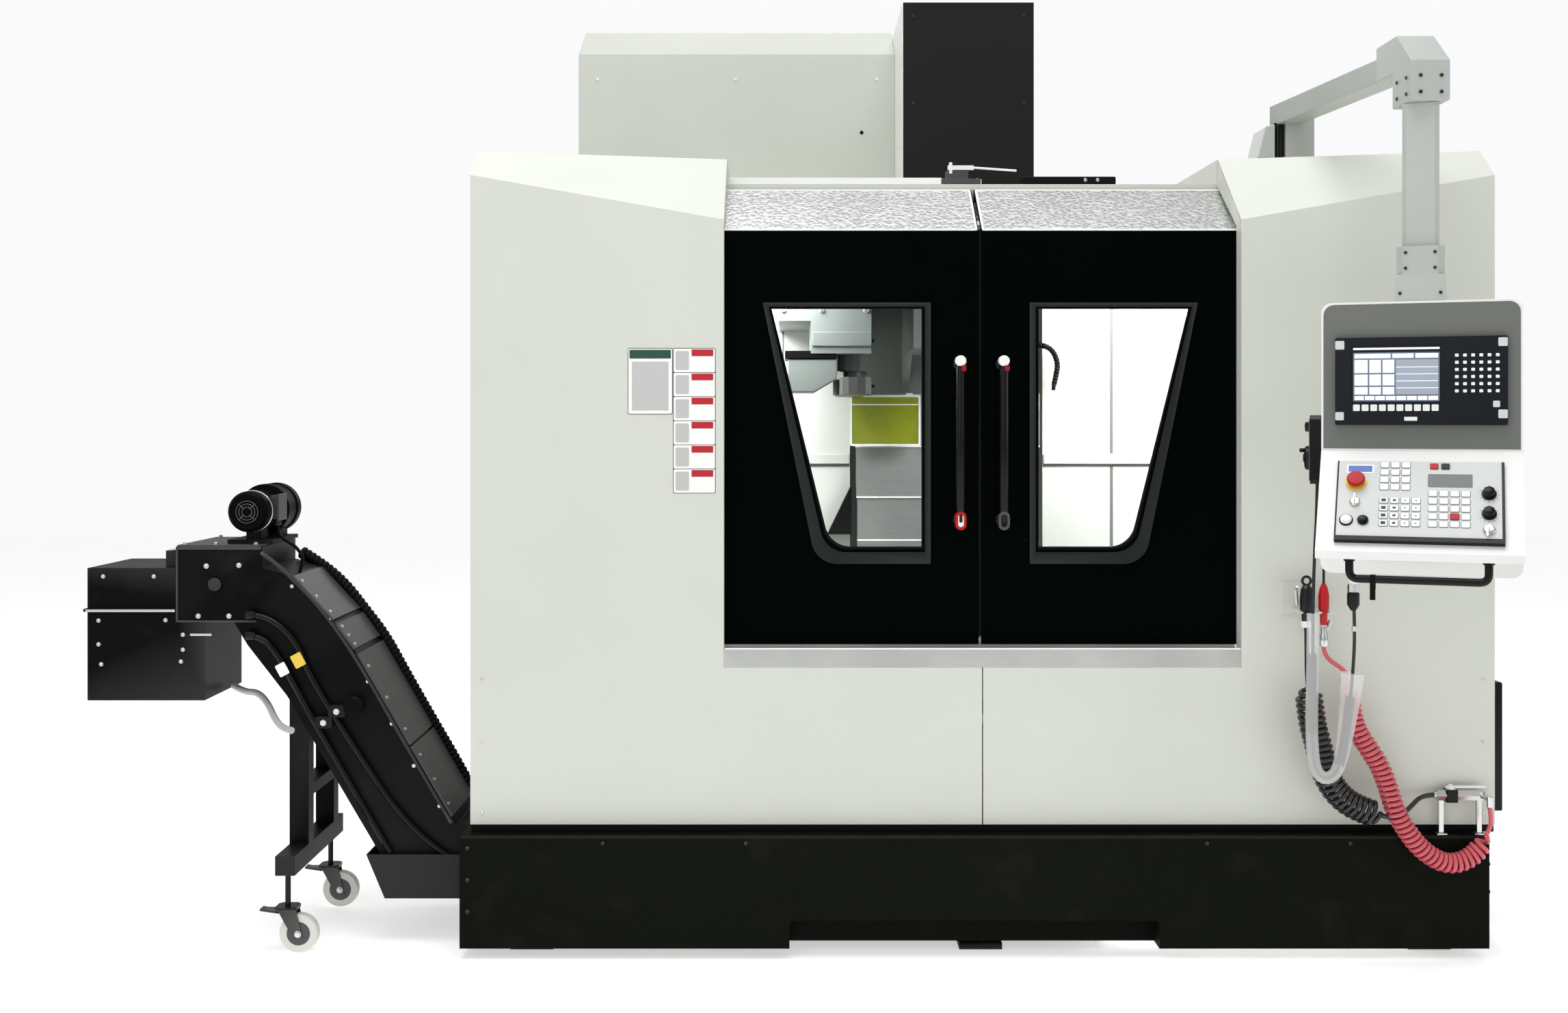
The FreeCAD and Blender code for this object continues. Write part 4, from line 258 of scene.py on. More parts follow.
class Coat:
    """The finishes of the machine."""

    # Magazine cover: a darker copy of the warm white enclosure paint, painted shade on the roof cover under the
    # strong top light.
    SHADED_ROOF_WHITE = Finish(
        "warm_white_cover_coat", (0.54, 0.56, 0.51), "enclosure_white", 0.42, bump=0.1, shine=0.3, mottle=0.02,
    )
    WHITE = Finish(
        "warm_white_coat", (0.63, 0.65, 0.585), "enclosure_white", 0.42, coat=0.08, bump=0.1, shine=0.3,
        mottle=0.02,
    )
    TRIM = Finish("white_trim", (0.88, 0.89, 0.87), "enclosure_white", 0.4, mottle=0.02)
    LINING = Finish("lining_white", (0.86, 0.88, 0.85), "lining_white", 0.42, bump=0.08, mottle=0.05)
    BASE = Finish(
        "greenish_black_coat", (0.0040, 0.0052, 0.0030), "base_black", 0.55,
        grain=Grain.CAST, scale=420.0, bump=0.25, soil=0.03, shine=0.05,
    )
    COVER = Finish("cover_black_coat", (0.0012, 0.0016, 0.0015), "base_black", 0.45, wear=0.1, shine=0.04)
    DOOR = Finish("door_black_coat", (0.0006, 0.0016, 0.0014), "door_black", 0.30, bump=0.05, shine=0.015)
    RIM = Finish(
        "window_rim_charcoal", (0.0065, 0.0080, 0.0080), "door_black", 0.5, grain=Grain.RUBBER, wear=0.15,
        shine=0.2,
    )
    EMBOSSED = Finish(
        "embossed_bright_strip", (
            0.60, 0.61, 0.60,
        ), "stainless", 0.30, 0.9, grain=Grain.EMBOSSED, scale=95.0, bump=1.0
    )
    CONVEYOR = Finish(
        "conveyor_black_coat", (0.0018, 0.0024, 0.0020), "conveyor_black", 0.40, soil=0.03, wear=0.2, shine=0.06,
    )
    LID = Finish("lid_dark_coat", (0.010, 0.0125, 0.012), "conveyor_black", 0.42, soil=0.1, wear=0.3, shine=0.25)
    STAINLESS = Finish(
        "brushed_stainless", (0.52, 0.53, 0.51), "stainless", 0.32, 1.0, grain=Grain.BRUSHED, scale=700.0,
        mottle=0.16,
    )
    GLASS = Finish(
        "window_pane", (0.97, 1.0, 0.99), "window_glass", 0.02, grain=Grain.GLASS, bump=0.01, mottle=0.005,
        clear=1.0,
    )
    BLACK_PLASTIC = Finish(
        "black_plastic", (0.0020, 0.0022, 0.0022), "handle_black", 0.24, grain=Grain.MOULDED, shine=0.22,
    )
    RUBBER = Finish(
        "black_rubber", (0.0020, 0.0022, 0.0022), "handle_black", 0.5, grain=Grain.RUBBER, bump=0.3, shine=0.12,
    )
    RED_PLASTIC = Finish("red_plastic", (0.42, 0.006, 0.008), "button_red", 0.34, grain=Grain.MOULDED, shine=0.25)
    GREY_PLASTIC = Finish("grey_plastic", (0.055, 0.057, 0.056), "handle_black", 0.4, grain=Grain.MOULDED)
    WHITE_PLASTIC = Finish("white_plastic", (0.84, 0.84, 0.81), "wheel_white", 0.34, grain=Grain.MOULDED)
    MACHINE = Finish(
        "machine_grey_coat", (0.19, 0.21, 0.20), "machine_grey", 0.42, grain=Grain.CAST, scale=260.0, soil=0.2,
    )
    WAY_STEEL = Finish(
        "way_cover_steel", (0.36, 0.375, 0.365), "ground_steel", 0.38, 0.55, grain=Grain.BRUSHED, scale=500.0,
        mottle=0.14, soil=0.12,
    )
    GROUND = Finish(
        "ground_steel", (0.44, 0.44, 0.43), "ground_steel", 0.28, 1.0, grain=Grain.BRUSHED, scale=900.0, soil=0.1,
    )
    ZINC = Finish("zinc_bolts", (0.70, 0.71, 0.69), "ground_steel", 0.3, 0.9, mottle=0.12, wear=0.2)
    OXIDE = Finish("black_oxide", (0.008, 0.008, 0.008), "tool_black", 0.36, 0.3, wear=0.3, shine=0.3)
    TREAD = Finish("clear_nylon_tread", (0.66, 0.66, 0.61), "wheel_white", 0.4, grain=Grain.MOULDED, soil=0.2)
    SHELL = Finish("pendant_white_coat", (0.80, 0.81, 0.79), "pendant_shell", 0.36, coat=0.15, bump=0.1)
    POST = Finish("arm_grey_white_coat", (0.44, 0.46, 0.43), "pendant_shell", 0.38, coat=0.1, bump=0.1)
    SHADE = Finish("pendant_grey_coat", (0.145, 0.152, 0.140), "pendant_shell", 0.42, shine=0.3)
    BEZEL = Finish(
        "bezel_navy_black", (0.0016, 0.0032, 0.0066), "panel_dark", 0.28, grain=Grain.MOULDED, shine=0.25,
    )
    SCREEN = Finish(
        "screen_grey_blue", (0.10, 0.13, 0.18), "panel_dark", 0.12, grain=Grain.LIT, glow=0.55, bump=0.0,
    )
    SCREEN_GREY = Finish(
        "screen_grey_panel", (0.24, 0.27, 0.32), "panel_dark", 0.15, grain=Grain.LIT, glow=0.5, bump=0.0,
    )
    FIELD = Finish(
        "screen_light_field", (0.72, 0.77, 0.84), "panel_dark", 0.15, grain=Grain.LIT, glow=0.6, bump=0.0,
    )
    PLATE = Finish("key_plate_light", (0.62, 0.64, 0.62), "key_panel_light", 0.42, grain=Grain.MOULDED, shine=0.3)
    KEY = Finish("key_white", (0.82, 0.84, 0.83), "key_panel_light", 0.4, grain=Grain.MOULDED, mottle=0.03)
    KEY_EDGE = Finish("key_grey_outline", (0.16, 0.175, 0.18), "key_panel_light", 0.5, grain=Grain.MOULDED)
    KEY_MARK = Finish("key_dark_mark", (0.018, 0.02, 0.022), "key_panel_light", 0.5, grain=Grain.MOULDED)
    BLUE = Finish("status_window_blue", (0.012, 0.07, 0.34), "panel_dark", 0.2, grain=Grain.LIT, glow=0.3, bump=0.0)
    YELLOW = Finish("yellow_ring", (0.80, 0.56, 0.06), "button_red", 0.35, grain=Grain.MOULDED)
    GREEN = Finish("green_field", (0.006, 0.060, 0.035), "enclosure_white", 0.45, mottle=0.03)
    RED_FIELD = Finish("red_field", (0.46, 0.004, 0.014), "enclosure_white", 0.45, mottle=0.03)
    GREY_FIELD = Finish("grey_field", (0.50, 0.51, 0.50), "enclosure_white", 0.45, mottle=0.05)
    GUN_RED = Finish("gun_red_enamel", (0.46, 0.006, 0.010), "gun_red", 0.28, shine=0.35)
    GUN_BLACK = Finish("gun_black_enamel", (0.0045, 0.0045, 0.005), "gun_black", 0.26, coat=0.1, shine=0.3)
    VALVE = Finish("valve_nickel", (0.64, 0.64, 0.62), "valve_metal", 0.22, 1.0, mottle=0.08)
    HOSE_BLACK = Finish("hose_black", (0.0035, 0.0035, 0.0038), "hose_black", 0.22, grain=Grain.MOULDED, shine=0.5)
    HOSE_RED = Finish("hose_red", (0.62, 0.075, 0.115), "hose_red", 0.26, grain=Grain.MOULDED, coat=0.3)
    DRAIN = Finish("grey_drain_pipe", (0.46, 0.47, 0.46), "wheel_white", 0.34, grain=Grain.MOULDED, soil=0.15)
    SLEEVE = Finish(
        "clear_spiral_sleeve", (0.86, 0.87, 0.85), "wheel_white", 0.3, grain=Grain.MOULDED, cover=0.42,
        mottle=0.06,
    )
    BRACKET_RED = Finish("bracket_red", (0.26, 0.006, 0.014), "button_red", 0.3, grain=Grain.MOULDED, shine=0.3)
    TINTED = Finish(
        "yellow_green_sheet", (0.25, 0.28, 0.018), "window_glass", 0.22, grain=Grain.CAST, scale=60.0, mottle=0.16,
    )


def soften(corners: Sequence[Spot], radii: Sequence[float], steps: int = 6) -> Line:
    """Rounds the corners of an outline.

    Args:
        corners: The corners, as (u, v).
        radii: One radius a corner, 0 where it stays sharp.
        steps: How many runs each arc has.

    Returns:
        The points of the rounded outline.
    """
    spots = [Vector((c[0], c[1])) for c in corners]
    outline: Line = []
    for i, spot in enumerate(spots):
        if radii[i] <= 0:
            outline.append(tuple(spot))
            continue
        back = (spots[i - 1] - spot).normalized()
        ahead = (spots[(i + 1) % len(spots)] - spot).normalized()
        half = back.angle(ahead) / 2
        run = radii[i] / math.tan(half)
        centre = spot + (back + ahead).normalized() * (radii[i] / math.sin(half))
        first, last = spot + back * run - centre, spot + ahead * run - centre
        sweep = first.angle_signed(last)
        for step in range(steps + 1):
            way = -sweep * step / steps
            cos, sin = math.cos(way), math.sin(way)
            outline.append((centre.x + first.x * cos - first.y * sin, centre.y + first.x * sin + first.y * cos))
    return outline


def rounded(u0: float, u1: float, v0: float, v1: float, radius: float, steps: int = 5) -> Line:
    """A rectangle with round corners.

    Args:
        u0, u1: The sides across.
        v0, v1: The sides up.
        radius: The corner radius.
        steps: How many runs each corner has.

    Returns:
        The points of the outline.
    """
    return soften([(u0, v0), (u1, v0), (u1, v1), (u0, v1)], [radius] * 4, steps)


def ring(centre: Spot, radius: float, angles: Iterable[float]) -> Line:
    """Points of a circle.

    Args:
        centre: Its centre, as (u, v).
        radius: Its radius.
        angles: The angle of each point, in radians.

    Returns:
        The points.
    """
    return [(centre[0] + radius * math.cos(a), centre[1] + radius * math.sin(a)) for a in angles]


class Form:
    """A mesh that is put together from plain solids and made into one named piece."""

    def __init__(self, at: Matrix | None = None) -> None:
        """Starts an empty form.

        Args:
            at: Where the form is drawn, if not about the origin.
        """
        self.mesh = bmesh.new()
        self.at = at if at else Matrix()

    def _corner(self, spot: Spot) -> bmesh.types.BMVert:
        """Adds one corner."""
        return self.mesh.verts.new(self.at @ Vector(spot))

    def _loop(self, outline: Sequence[Spot], axis: Axis, level: float) -> list[bmesh.types.BMVert]:
        """Adds the corners of an outline at one level of an axis."""
        first, second, along = axis.value
        loop = []
        for u, v in outline:
            spot = [0.0, 0.0, 0.0]
            spot[first], spot[second], spot[along] = u, v, level
            loop.append(self._corner(spot))
        return loop

    def slab(self, outline: Sequence[Spot], axis: Axis, start: float, end: float) -> "Form":
        """An outline drawn out along an axis.

        Args:
            outline: Its points, as the two other coordinates.
            axis: The direction.
            start, end: Where it begins and ends along the axis.

        Returns:
            This form.
        """
        low, high = self._loop(outline, axis, start), self._loop(outline, axis, end)
        self.mesh.faces.new(low)
        self.mesh.faces.new(high[::-1])
        self._walls(low, high)
        return self

    def _walls(self, low: list[bmesh.types.BMVert], high: list[bmesh.types.BMVert]) -> None:
        """Joins two closed loops."""
        for i in range(len(low)):
            j = (i + 1) % len(low)
            self.mesh.faces.new((low[i], low[j], high[j], high[i]))

    def _skin(self, loops: list[list[bmesh.types.BMVert]]) -> "Form":
        """Joins loops one after another and closes both ends."""
        for low, high in zip(loops, loops[1:]):
            self._walls(low, high)
        self.mesh.faces.new(loops[0][::-1])
        self.mesh.faces.new(loops[-1])
        return self

    def band(
        self, outer: Sequence[Spot], inner: Sequence[Spot], axis: Axis, start: float, end: float
    ) -> "Form":
        """A frame between two outlines with as many points each."""
        loops = [self._loop(outline, axis, level) for outline in (outer, inner) for level in (start, end)]
        for low, high in ((0, 1), (2, 3), (0, 2), (1, 3)):
            self._walls(loops[low], loops[high])
        return self

    def block(self, x: Spot, y: Spot, z: Spot) -> "Form":
        """A box, each side given as (from, to)."""
        return self.slab([(x[0], y[0]), (x[1], y[0]), (x[1], y[1]), (x[0], y[1])], Axis.Z, z[0], z[1])

    def lathe(self, base: Spot, way: Spot, profile: Sequence[Spot], sides: int = 24) -> "Form":
        """A turned solid.

        Args:
            base: The start of its axis.
            way: The direction of its axis.
            profile: (radius, height) from one end to the other.
            sides: How many sides it has.

        Returns:
            This form.
        """
        turn = Vector(UP).rotation_difference(Vector(way).normalized()).to_matrix()
        angles = [2 * math.pi * (k + 0.5) / sides for k in range(sides)]
        loops = [
            [self._corner(Vector(base) + turn @ Vector((x, y, height))) for x, y in ring((0, 0), radius, angles)]
            for radius, height in profile
        ]
        return self._skin(loops)

    def rod(self, start: Spot, end: Spot, radius: float, sides: int = 16) -> "Form":
        """A plain rod with small chamfers from start to end."""
        way = Vector(end) - Vector(start)
        edge = min(radius * 0.15, way.length * 0.2)
        profile = [(radius - edge, 0), (radius, edge), (radius, way.length - edge), (radius - edge, way.length)]
        return self.lathe(start, way, profile, sides)

    def tube(self, spots: Iterable[Spot], radius: float | Sequence[float], sides: int = 10) -> "Form":
        """A round tube along points, with closed ends.

        Args:
            spots: The points of its middle line.
            radius: Its radius, or one radius a point.
            sides: How many sides it has.

        Returns:
            This form.
        """
        line = [Vector(spot) for spot in spots]
        radii = [radius] * len(line) if isinstance(radius, float) else list(radius)
        ways = [(line[min(i + 1, len(line) - 1)] - line[max(i - 1, 0)]).normalized() for i in range(len(line))]
        across = ways[0].orthogonal().normalized()
        loops = []
        for i, spot in enumerate(line):
            if i:
                across = (ways[i - 1].rotation_difference(ways[i]) @ across).normalized()
            other = ways[i].cross(across)
            round_it = ring((0, 0), radii[i], (2 * math.pi * k / sides for k in range(sides)))
            loops.append([self._corner(spot + across * u + other * v) for u, v in round_it])
        return self._skin(loops)

    def ribbed(self, spots: Sequence[Spot], radius: float, depth: float, pitch: float, sides: int = 12) -> "Form":
        """A tube with rings of ribs along points.

        Args:
            spots: The points of its middle line.
            radius: The radius over the ribs.
            depth: How deep the grooves are.
            pitch: The distance from rib to rib.
            sides: How many sides it has.

        Returns:
            This form.
        """
        line = evened([Vector(spot) for spot in spots], pitch / 4)
        radii = [radius - depth * (1, 0.3, 0, 0.3)[i % 4] for i in range(len(line))]
        return self.tube(line, radii, sides)

    def add(self, part: "Form") -> "Form":
        """Takes over the faces of another form."""
        mesh = bpy.data.meshes.new("part")
        part.mesh.to_mesh(mesh)
        part.mesh.free()
        self.mesh.from_mesh(mesh)
        bpy.data.meshes.remove(mesh)
        return self

    def screw(self, spot: Spot, way: Spot, size: float = 0.010) -> "Form":
        """A socket screw's head, standing on a face."""
        half = size / 2
        profile = [
            (half, 0.0), (half, half * 0.5), (half * 0.75, half * 0.8), (half * 0.45, half * 0.8),
            (half * 0.4, half * 0.35),
        ]
        return self.lathe(spot, way, profile, 12)

    def screws(self, xs: Spot, ys: Spot, zs: Spot, way: Spot, size: float) -> "Form":
        """A screw's head at each crossing of the given places."""
        for spot in product(xs, ys, zs):
            self.screw(spot, way, size)
        return self

    def nut(self, spot: Spot, way: Spot, size: float = 0.016) -> "Form":
        """A hexagon head on a round washer."""
        self.lathe(spot, way, [(size * 0.62, 0.0), (size * 0.62, size * 0.12)], 18)
        top = Vector(spot) + Vector(way).normalized() * size * 0.12
        profile = [(size * 0.5, 0.0), (size * 0.5, size * 0.4), (size * 0.42, size * 0.46)]
        return self.lathe(top, way, profile, 6)

    def make(self, name: str, body: str, finish: Finish, bevel: float = 0.0) -> bpy.types.Object:
        """Turns the form into a piece that rides on a body.

        Args:
            name: The piece's name.
            body: The CAD body it moves with.
            finish: Its finish.
            bevel: The width of the bevel on its sharp edges, 0 for none.

        Returns:
            The piece.
        """
        bmesh.ops.recalc_face_normals(self.mesh, faces=self.mesh.faces)
        mesh = bpy.data.meshes.new(name)
        self.mesh.to_mesh(mesh)
        self.mesh.free()
        mesh.materials.append(finish.material())
        for face in mesh.polygons:
            face.use_smooth = True
        mesh.set_sharp_from_angle(angle=math.radians(SMOOTH_ANGLE))
        piece = bpy.data.objects.new(name, mesh)
        bpy.context.scene.collection.objects.link(piece)
        if bevel:
            edge = piece.modifiers.new("Edges", "BEVEL")
            edge.width = bevel
            edge.segments = BEVEL_STEPS
            edge.limit_method = "ANGLE"
            edge.angle_limit = math.radians(BEVEL_ANGLE)
            edge.use_clamp_overlap = True
            edge.harden_normals = True
        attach(piece, body)
        return piece


def flat_piece(
    name: str,
    body: str,
    finish: Finish,
    sides: Spot,
    axis: Axis,
    span: Spot,
    bevel: float = 0.0,
    at: Matrix | None = None,
) -> bpy.types.Object:
    """Makes a flat piece with round corners.

    Args:
        name: The piece's name.
        body: The CAD body it moves with.
        finish: Its finish.
        sides: Its sides across and up, and the radius of its corners.
        axis: The direction of its thickness.
        span: Where it begins and ends along that.
        bevel: The width of the bevel on its edges, 0 for none.
        at: Where it is drawn, if not about the origin.

    Returns:
        The piece.
    """
    return Form(at).slab(rounded(*sides), axis, *span).make(name, body, finish, bevel)


def evened(line: Sequence[Vector], step: float) -> list[Vector]:
    """Points at even steps along a line.

    Args:
        line: The points of the line.
        step: The distance from point to point.

    Returns:
        The even points, with the line's own two ends.
    """
    spots, rest = [line[0]], step
    for start, end in zip(line, line[1:]):
        run = (end - start).length
        place = rest
        while place < run:
            spots.append(start.lerp(end, place / run))
            place += step
        rest = place - run
    return spots + [line[-1]]


def nurbs(name: str, spots: Sequence[Spot], detail: int, thick: float = 0.0) -> bpy.types.Object:
    """A smooth curve through its control points.

    Args:
        name: Its name.
        spots: The control points.
        detail: How many runs lie between two of them.
        thick: The diameter of the tube about it, 0 for a bare line.

    Returns:
        The curve.
    """
    data = bpy.data.curves.new(name, "CURVE")
    data.dimensions = "3D"
    data.resolution_u = detail
    data.use_fill_caps = True
    spline = data.splines.new("NURBS")
    spline.points.add(len(spots) - 1)
    for point, spot in zip(spline.points, spots):
        point.co = (*spot, 1.0)
    spline.order_u = 3
    spline.use_endpoint_u = True
    data.bevel_depth = thick / 2
    data.bevel_resolution = 3
    made = bpy.data.objects.new(name, data)
    bpy.context.scene.collection.objects.link(made)
    return made


def smooth(spots: Sequence[Spot], detail: int = 12) -> list[Vector]:
    """Points read from the smooth line of its control points.

    Args:
        spots: The control points.
        detail: How many runs lie between two of them.

    Returns:
        The points along the line.
    """
    guide = nurbs("guide", spots, detail)
    mesh = bpy.data.meshes.new_from_object(guide)
    line = [v.co.copy() for v in mesh.vertices]
    bpy.data.meshes.remove(mesh)
    bpy.data.objects.remove(guide)
    return line


def bent(corners: Sequence[Spot], radius: float, steps: int = 6) -> list[Vector]:
    """The middle line of a bent tube.

    Args:
        corners: Its ends and corners.
        radius: The bend radius of its middle line.
        steps: How many runs each bend has.

    Returns:
        The points along it.
    """
    spots = [Vector(c) for c in corners]
    line = [spots[0]]
    for before, spot, after in zip(spots, spots[1:], spots[2:]):
        back, ahead = (before - spot).normalized(), (after - spot).normalized()
        half = back.angle(ahead) / 2
        run = min(radius / math.tan(half), 0.48 * min((before - spot).length, (after - spot).length))
        start, end = spot + back * run, spot + ahead * run
        for step in range(steps + 1):
            t = step / steps
            line.append(start * (1 - t) ** 2 + spot * (2 * t * (1 - t)) + end * t**2)
    line.append(spots[-1])
    return line


@dataclass
class Studio:
    """Camera at the photograph's angle, soft lights and a pale floor."""

    spot: Spot = (-0.498, -5.300, 1.363)
    lens: float = 38.9
    shift: Spot = (-0.0015, -0.0569)
    fill: float = 0.46

    def build(self) -> None:
        """Sets the camera, the lights, the world and the floor."""
        scene = bpy.context.scene
        scene.view_settings.view_transform = "Standard"
        data = bpy.data.cameras.new("Camera")
        data.lens = self.lens
        data.sensor_width = 36.0
        data.shift_x, data.shift_y = self.shift
        data.clip_end = 60.0
        camera = bpy.data.objects.new("Camera", data)
        camera.location = self.spot
        camera.rotation_euler = (math.radians(90), 0, 0)
        scene.collection.objects.link(camera)
        scene.camera = camera
        self._light("front_softbox", (-2.8, -6.0, 3.6), (-0.4, -0.6, 1.1), 4.6, 62)
        self._light("right_softbox", (4.8, -4.6, 3.0), (0.6, -0.8, 1.2), 3.4, 26)
        self._light("top_softbox", (-0.4, -1.6, 6.4), (-0.2, -0.4, 1.0), 4.6, 250)
        self._light("rear_softbox", (0.5, 6.0, 3.4), (0.0, 0.5, 1.2), 3.6, 60)
        self._light("left_work_lamp", (-0.70, -0.62, 1.86), (-0.70, -0.10, 1.0), 0.5, 24)
        self._light("right_work_lamp", (0.70, -0.62, 1.86), (0.70, -0.10, 1.0), 0.5, 24)
        world = bpy.data.worlds.new("Studio")
        world.use_nodes = True
        tree = world.node_tree
        back = tree.nodes["Background"]
        back.inputs["Color"].default_value = (0.985, 0.99, 1.0, 1.0)
        seen = tree.nodes.new("ShaderNodeLightPath").outputs["Is Camera Ray"]
        level = tree.nodes.new("ShaderNodeMapRange")
        level.inputs["To Min"].default_value = self.fill
        level.inputs["To Max"].default_value = 0.97
        tree.links.new(seen, level.inputs["Value"])
        tree.links.new(level.outputs["Result"], back.inputs["Strength"])
        scene.world = world
        form = Form()
        form.slab(rounded(-14, 14, -9, 14, 3.0), Axis.Z, -0.05, -0.0005)
        mesh = bpy.data.meshes.new("studio_floor")
        bmesh.ops.recalc_face_normals(form.mesh, faces=form.mesh.faces)
        form.mesh.to_mesh(mesh)
        form.mesh.free()
        floor = Finish(
            "studio_floor", (0.86, 0.86, 0.855), "enclosure_white", 0.8, mottle=0.01, bump=0.02, glow=0.62,
        )
        mesh.materials.append(floor.material())
        stage = bpy.data.objects.new("studio_floor", mesh)
        scene.collection.objects.link(stage)

    def _light(self, name: str, spot: Spot, aim: Spot, size: float, power: float) -> None:
        """Adds one area light that faces a point."""
        data = bpy.data.lights.new(name, "AREA")
        data.size = size
        data.energy = power
        lamp = bpy.data.objects.new(name, data)
        lamp.location = spot
        lamp.rotation_euler = (Vector(aim) - Vector(spot)).to_track_quat("-Z", "Y").to_euler()
        bpy.context.scene.collection.objects.link(lamp)


@dataclass
class Route:
    """A hose or cable along its route, curled where it has turns."""

    name: str
    lead_in: list[Spot]
    line: list[Spot]
    lead_out: list[Spot]
    size: float
    coil: float
    turns: int
    straight: float
    finish: Finish
    body: str = "enclosure"
    around: int = 15
    detail: int = 24
    ease: float = 0.085
    wraps: bool = False

    def _turned(self, share: float) -> float:
        """The turns made up to a share of the line, few near both its ends."""
        rate = self.turns / (1 - self.ease)
        if share < self.ease:
            return rate * share**2 / (2 * self.ease)
        if share > 1 - self.ease:
            return self.turns - rate * (1 - share) ** 2 / (2 * self.ease)
        return rate * (share - self.ease / 2)

    def _curl(self) -> list[Vector]:
        """Control points of the turns about the line."""
        line = smooth(self.line, self.detail)
        runs = [0.0]
        for a, b in zip(line, line[1:]):
            runs.append(runs[-1] + (b - a).length)

        def middle(share: float) -> Vector:
            """The point at a share of the line."""
            goal = min(max(share, 0.0), 1.0) * runs[-1]
            i = next((k for k in range(1, len(runs)) if runs[k] >= goal), len(runs) - 1)
            part = (goal - runs[i - 1]) / max(runs[i] - runs[i - 1], 1e-9)
            return line[i - 1].lerp(line[i], part)

        side = Vector(REAR)
        radius = (self.coil - self.size) / 2
        count = self.turns * self.around
        spots = []
        for k in range(count + 1):
            share = k / count
            ahead = (middle(share + 0.01) - middle(share - 0.01)).normalized()
            across = ahead.cross(side).normalized()
            grow = min(1.0, share / self.ease, (1 - share) / self.ease)
            grow = (1 - math.cos(math.pi * max(grow, 0.0))) / 2
            way = 2 * math.pi * self._turned(share)
            spots.append(middle(share) + (across * math.cos(way) + side * math.sin(way)) * (radius * grow))
        return spots

    def _wraps(self, line: Sequence[Vector]) -> list[bpy.types.Object]:
        """The clear sleeve and the braided stretch that lie round the line.

        Args:
            line: The points read from the hose's own smooth line.

        Returns:
            The pieces on the hose.
        """
        even = evened(list(line), 0.004)

        def part(start: float, end: float) -> list[Vector]:
            """The points between two shares of the line."""
            return even[int(start * len(even)) : int(end * len(even))]

        loop = part(0.18, 0.74)
        radii = []
        for i in range(len(loop)):
            share = i / (len(loop) - 1)
            narrowing = min(1.0, share / 0.34)
            radii.append(0.0270 - 0.0125 * narrowing + 0.0005 * (-1) ** i)
        sleeve = Form().tube(loop, radii, 20).make(f"{self.name}_sleeve", self.body, Coat.SLEEVE)
        braid = Form().ribbed(part(0.225, 0.365), 0.0115, 0.0016, 0.0075, 14)
        braid.ribbed(part(0.50, 0.66), 0.0095, 0.0012, 0.0075, 14)
        clamp = Form().tube(part(0.085, 0.098), 0.0065, 14).make(f"{self.name}_clamp", self.body, Coat.VALVE)
        return [sleeve, braid.make(f"{self.name}_braid", self.body, Coat.RUBBER), clamp]

    def build(self) -> bpy.types.Object:
        """Returns:
            The hose.
        """
        spots = [Vector(s) for s in self.lead_in]
        if self.turns:
            first, last = Vector(self.line[0]), Vector(self.line[-1])
            way_in = (Vector(self.line[1]) - first).normalized()
            way_out = (last - Vector(self.line[-2])).normalized()
            spots += [first - way_in * self.straight]
            spots += self._curl()
            spots += [last + way_out * self.straight]
        else:
            spots += [Vector(s) for s in self.line]
        spots += [Vector(s) for s in self.lead_out]
        hose = nurbs(self.name + "_line", spots, 6, self.size)
        hose.data.materials.append(self.finish.material())
        measured = smooth(spots, self.detail)
        wraps = self._wraps(measured) if self.wraps else []
        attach(hose, self.body)
        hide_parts(self.name)
        return hose


@dataclass
class Hoses:
    """The two curly hoses of the guns and the cable of the hand unit."""

    black_turns: int = 26
    red_turns: int = 45

    def build(self) -> None:
        """Makes the three cords."""
        Route(
            "air_hose",
            [(BLACK_GUN_X, GUN_PLANE, 0.838), (BLACK_GUN_X, -1.065, 0.790)],
            [
                (0.801, -1.080, 0.700), (0.808, -1.080, 0.612), (0.829, -1.080, 0.541), (0.844, -1.080, 0.471),
                (0.885, -1.080, 0.411), (0.952, -1.080, 0.378), (0.990, -1.080, 0.370),
            ],
            [(1.060, GUN_PLANE, 0.384), (1.106, VALVE_Y, VALVE_Z), (1.142, VALVE_Y, VALVE_Z)],
            0.012, 0.070, self.black_turns, 0.030, Coat.HOSE_BLACK,
        ).build()
        Route(
            "coolant_hose",
            [(RED_GUN_X, GUN_PLANE, 0.790), (RED_GUN_X, GUN_PLANE, 0.764)],
            [
                (0.899, -1.075, 0.712), (0.908, -1.075, 0.650), (0.920, -1.075, 0.590), (0.950, -1.075, 0.543),
                (0.981, -1.075, 0.497), (1.003, -1.075, 0.440), (1.018, -1.075, 0.385), (1.046, -1.075, 0.335),
                (1.087, -1.075, 0.282), (1.147, -1.075, 0.247), (1.204, -1.075, 0.260), (1.241, -1.075, 0.300),
                (1.254, -1.075, 0.335),
            ],
            [(1.256, -1.075, 0.390)],
            0.011, 0.052, self.red_turns, 0.020, Coat.HOSE_RED,
        ).build()
        Route(
            "handwheel_cable",
            [(0.846, -1.284, 0.968)],
            [
                (0.848, -1.284, 0.900), (0.849, -1.284, 0.830), (0.845, -1.284, 0.760), (0.838, -1.284, 0.690),
                (0.829, -1.284, 0.625), (0.820, -1.284, 0.565), (0.806, -1.283, 0.517), (0.779, -1.281, 0.503),
                (0.757, -1.278, 0.525), (0.751, -1.275, 0.578), (0.751, -1.271, 0.650), (0.754, -1.268, 0.730),
                (0.756, -1.265, 0.815), (0.757, -1.262, 0.900), (0.760, -1.259, 0.985), (0.764, -1.256, 1.065),
                (0.769, -1.253, 1.140),
            ],
            [(0.770, -1.253, 1.205)],
            0.008, 0.0, 0, 0.0, Coat.HOSE_BLACK, "pendant", wraps=True,
        ).build()


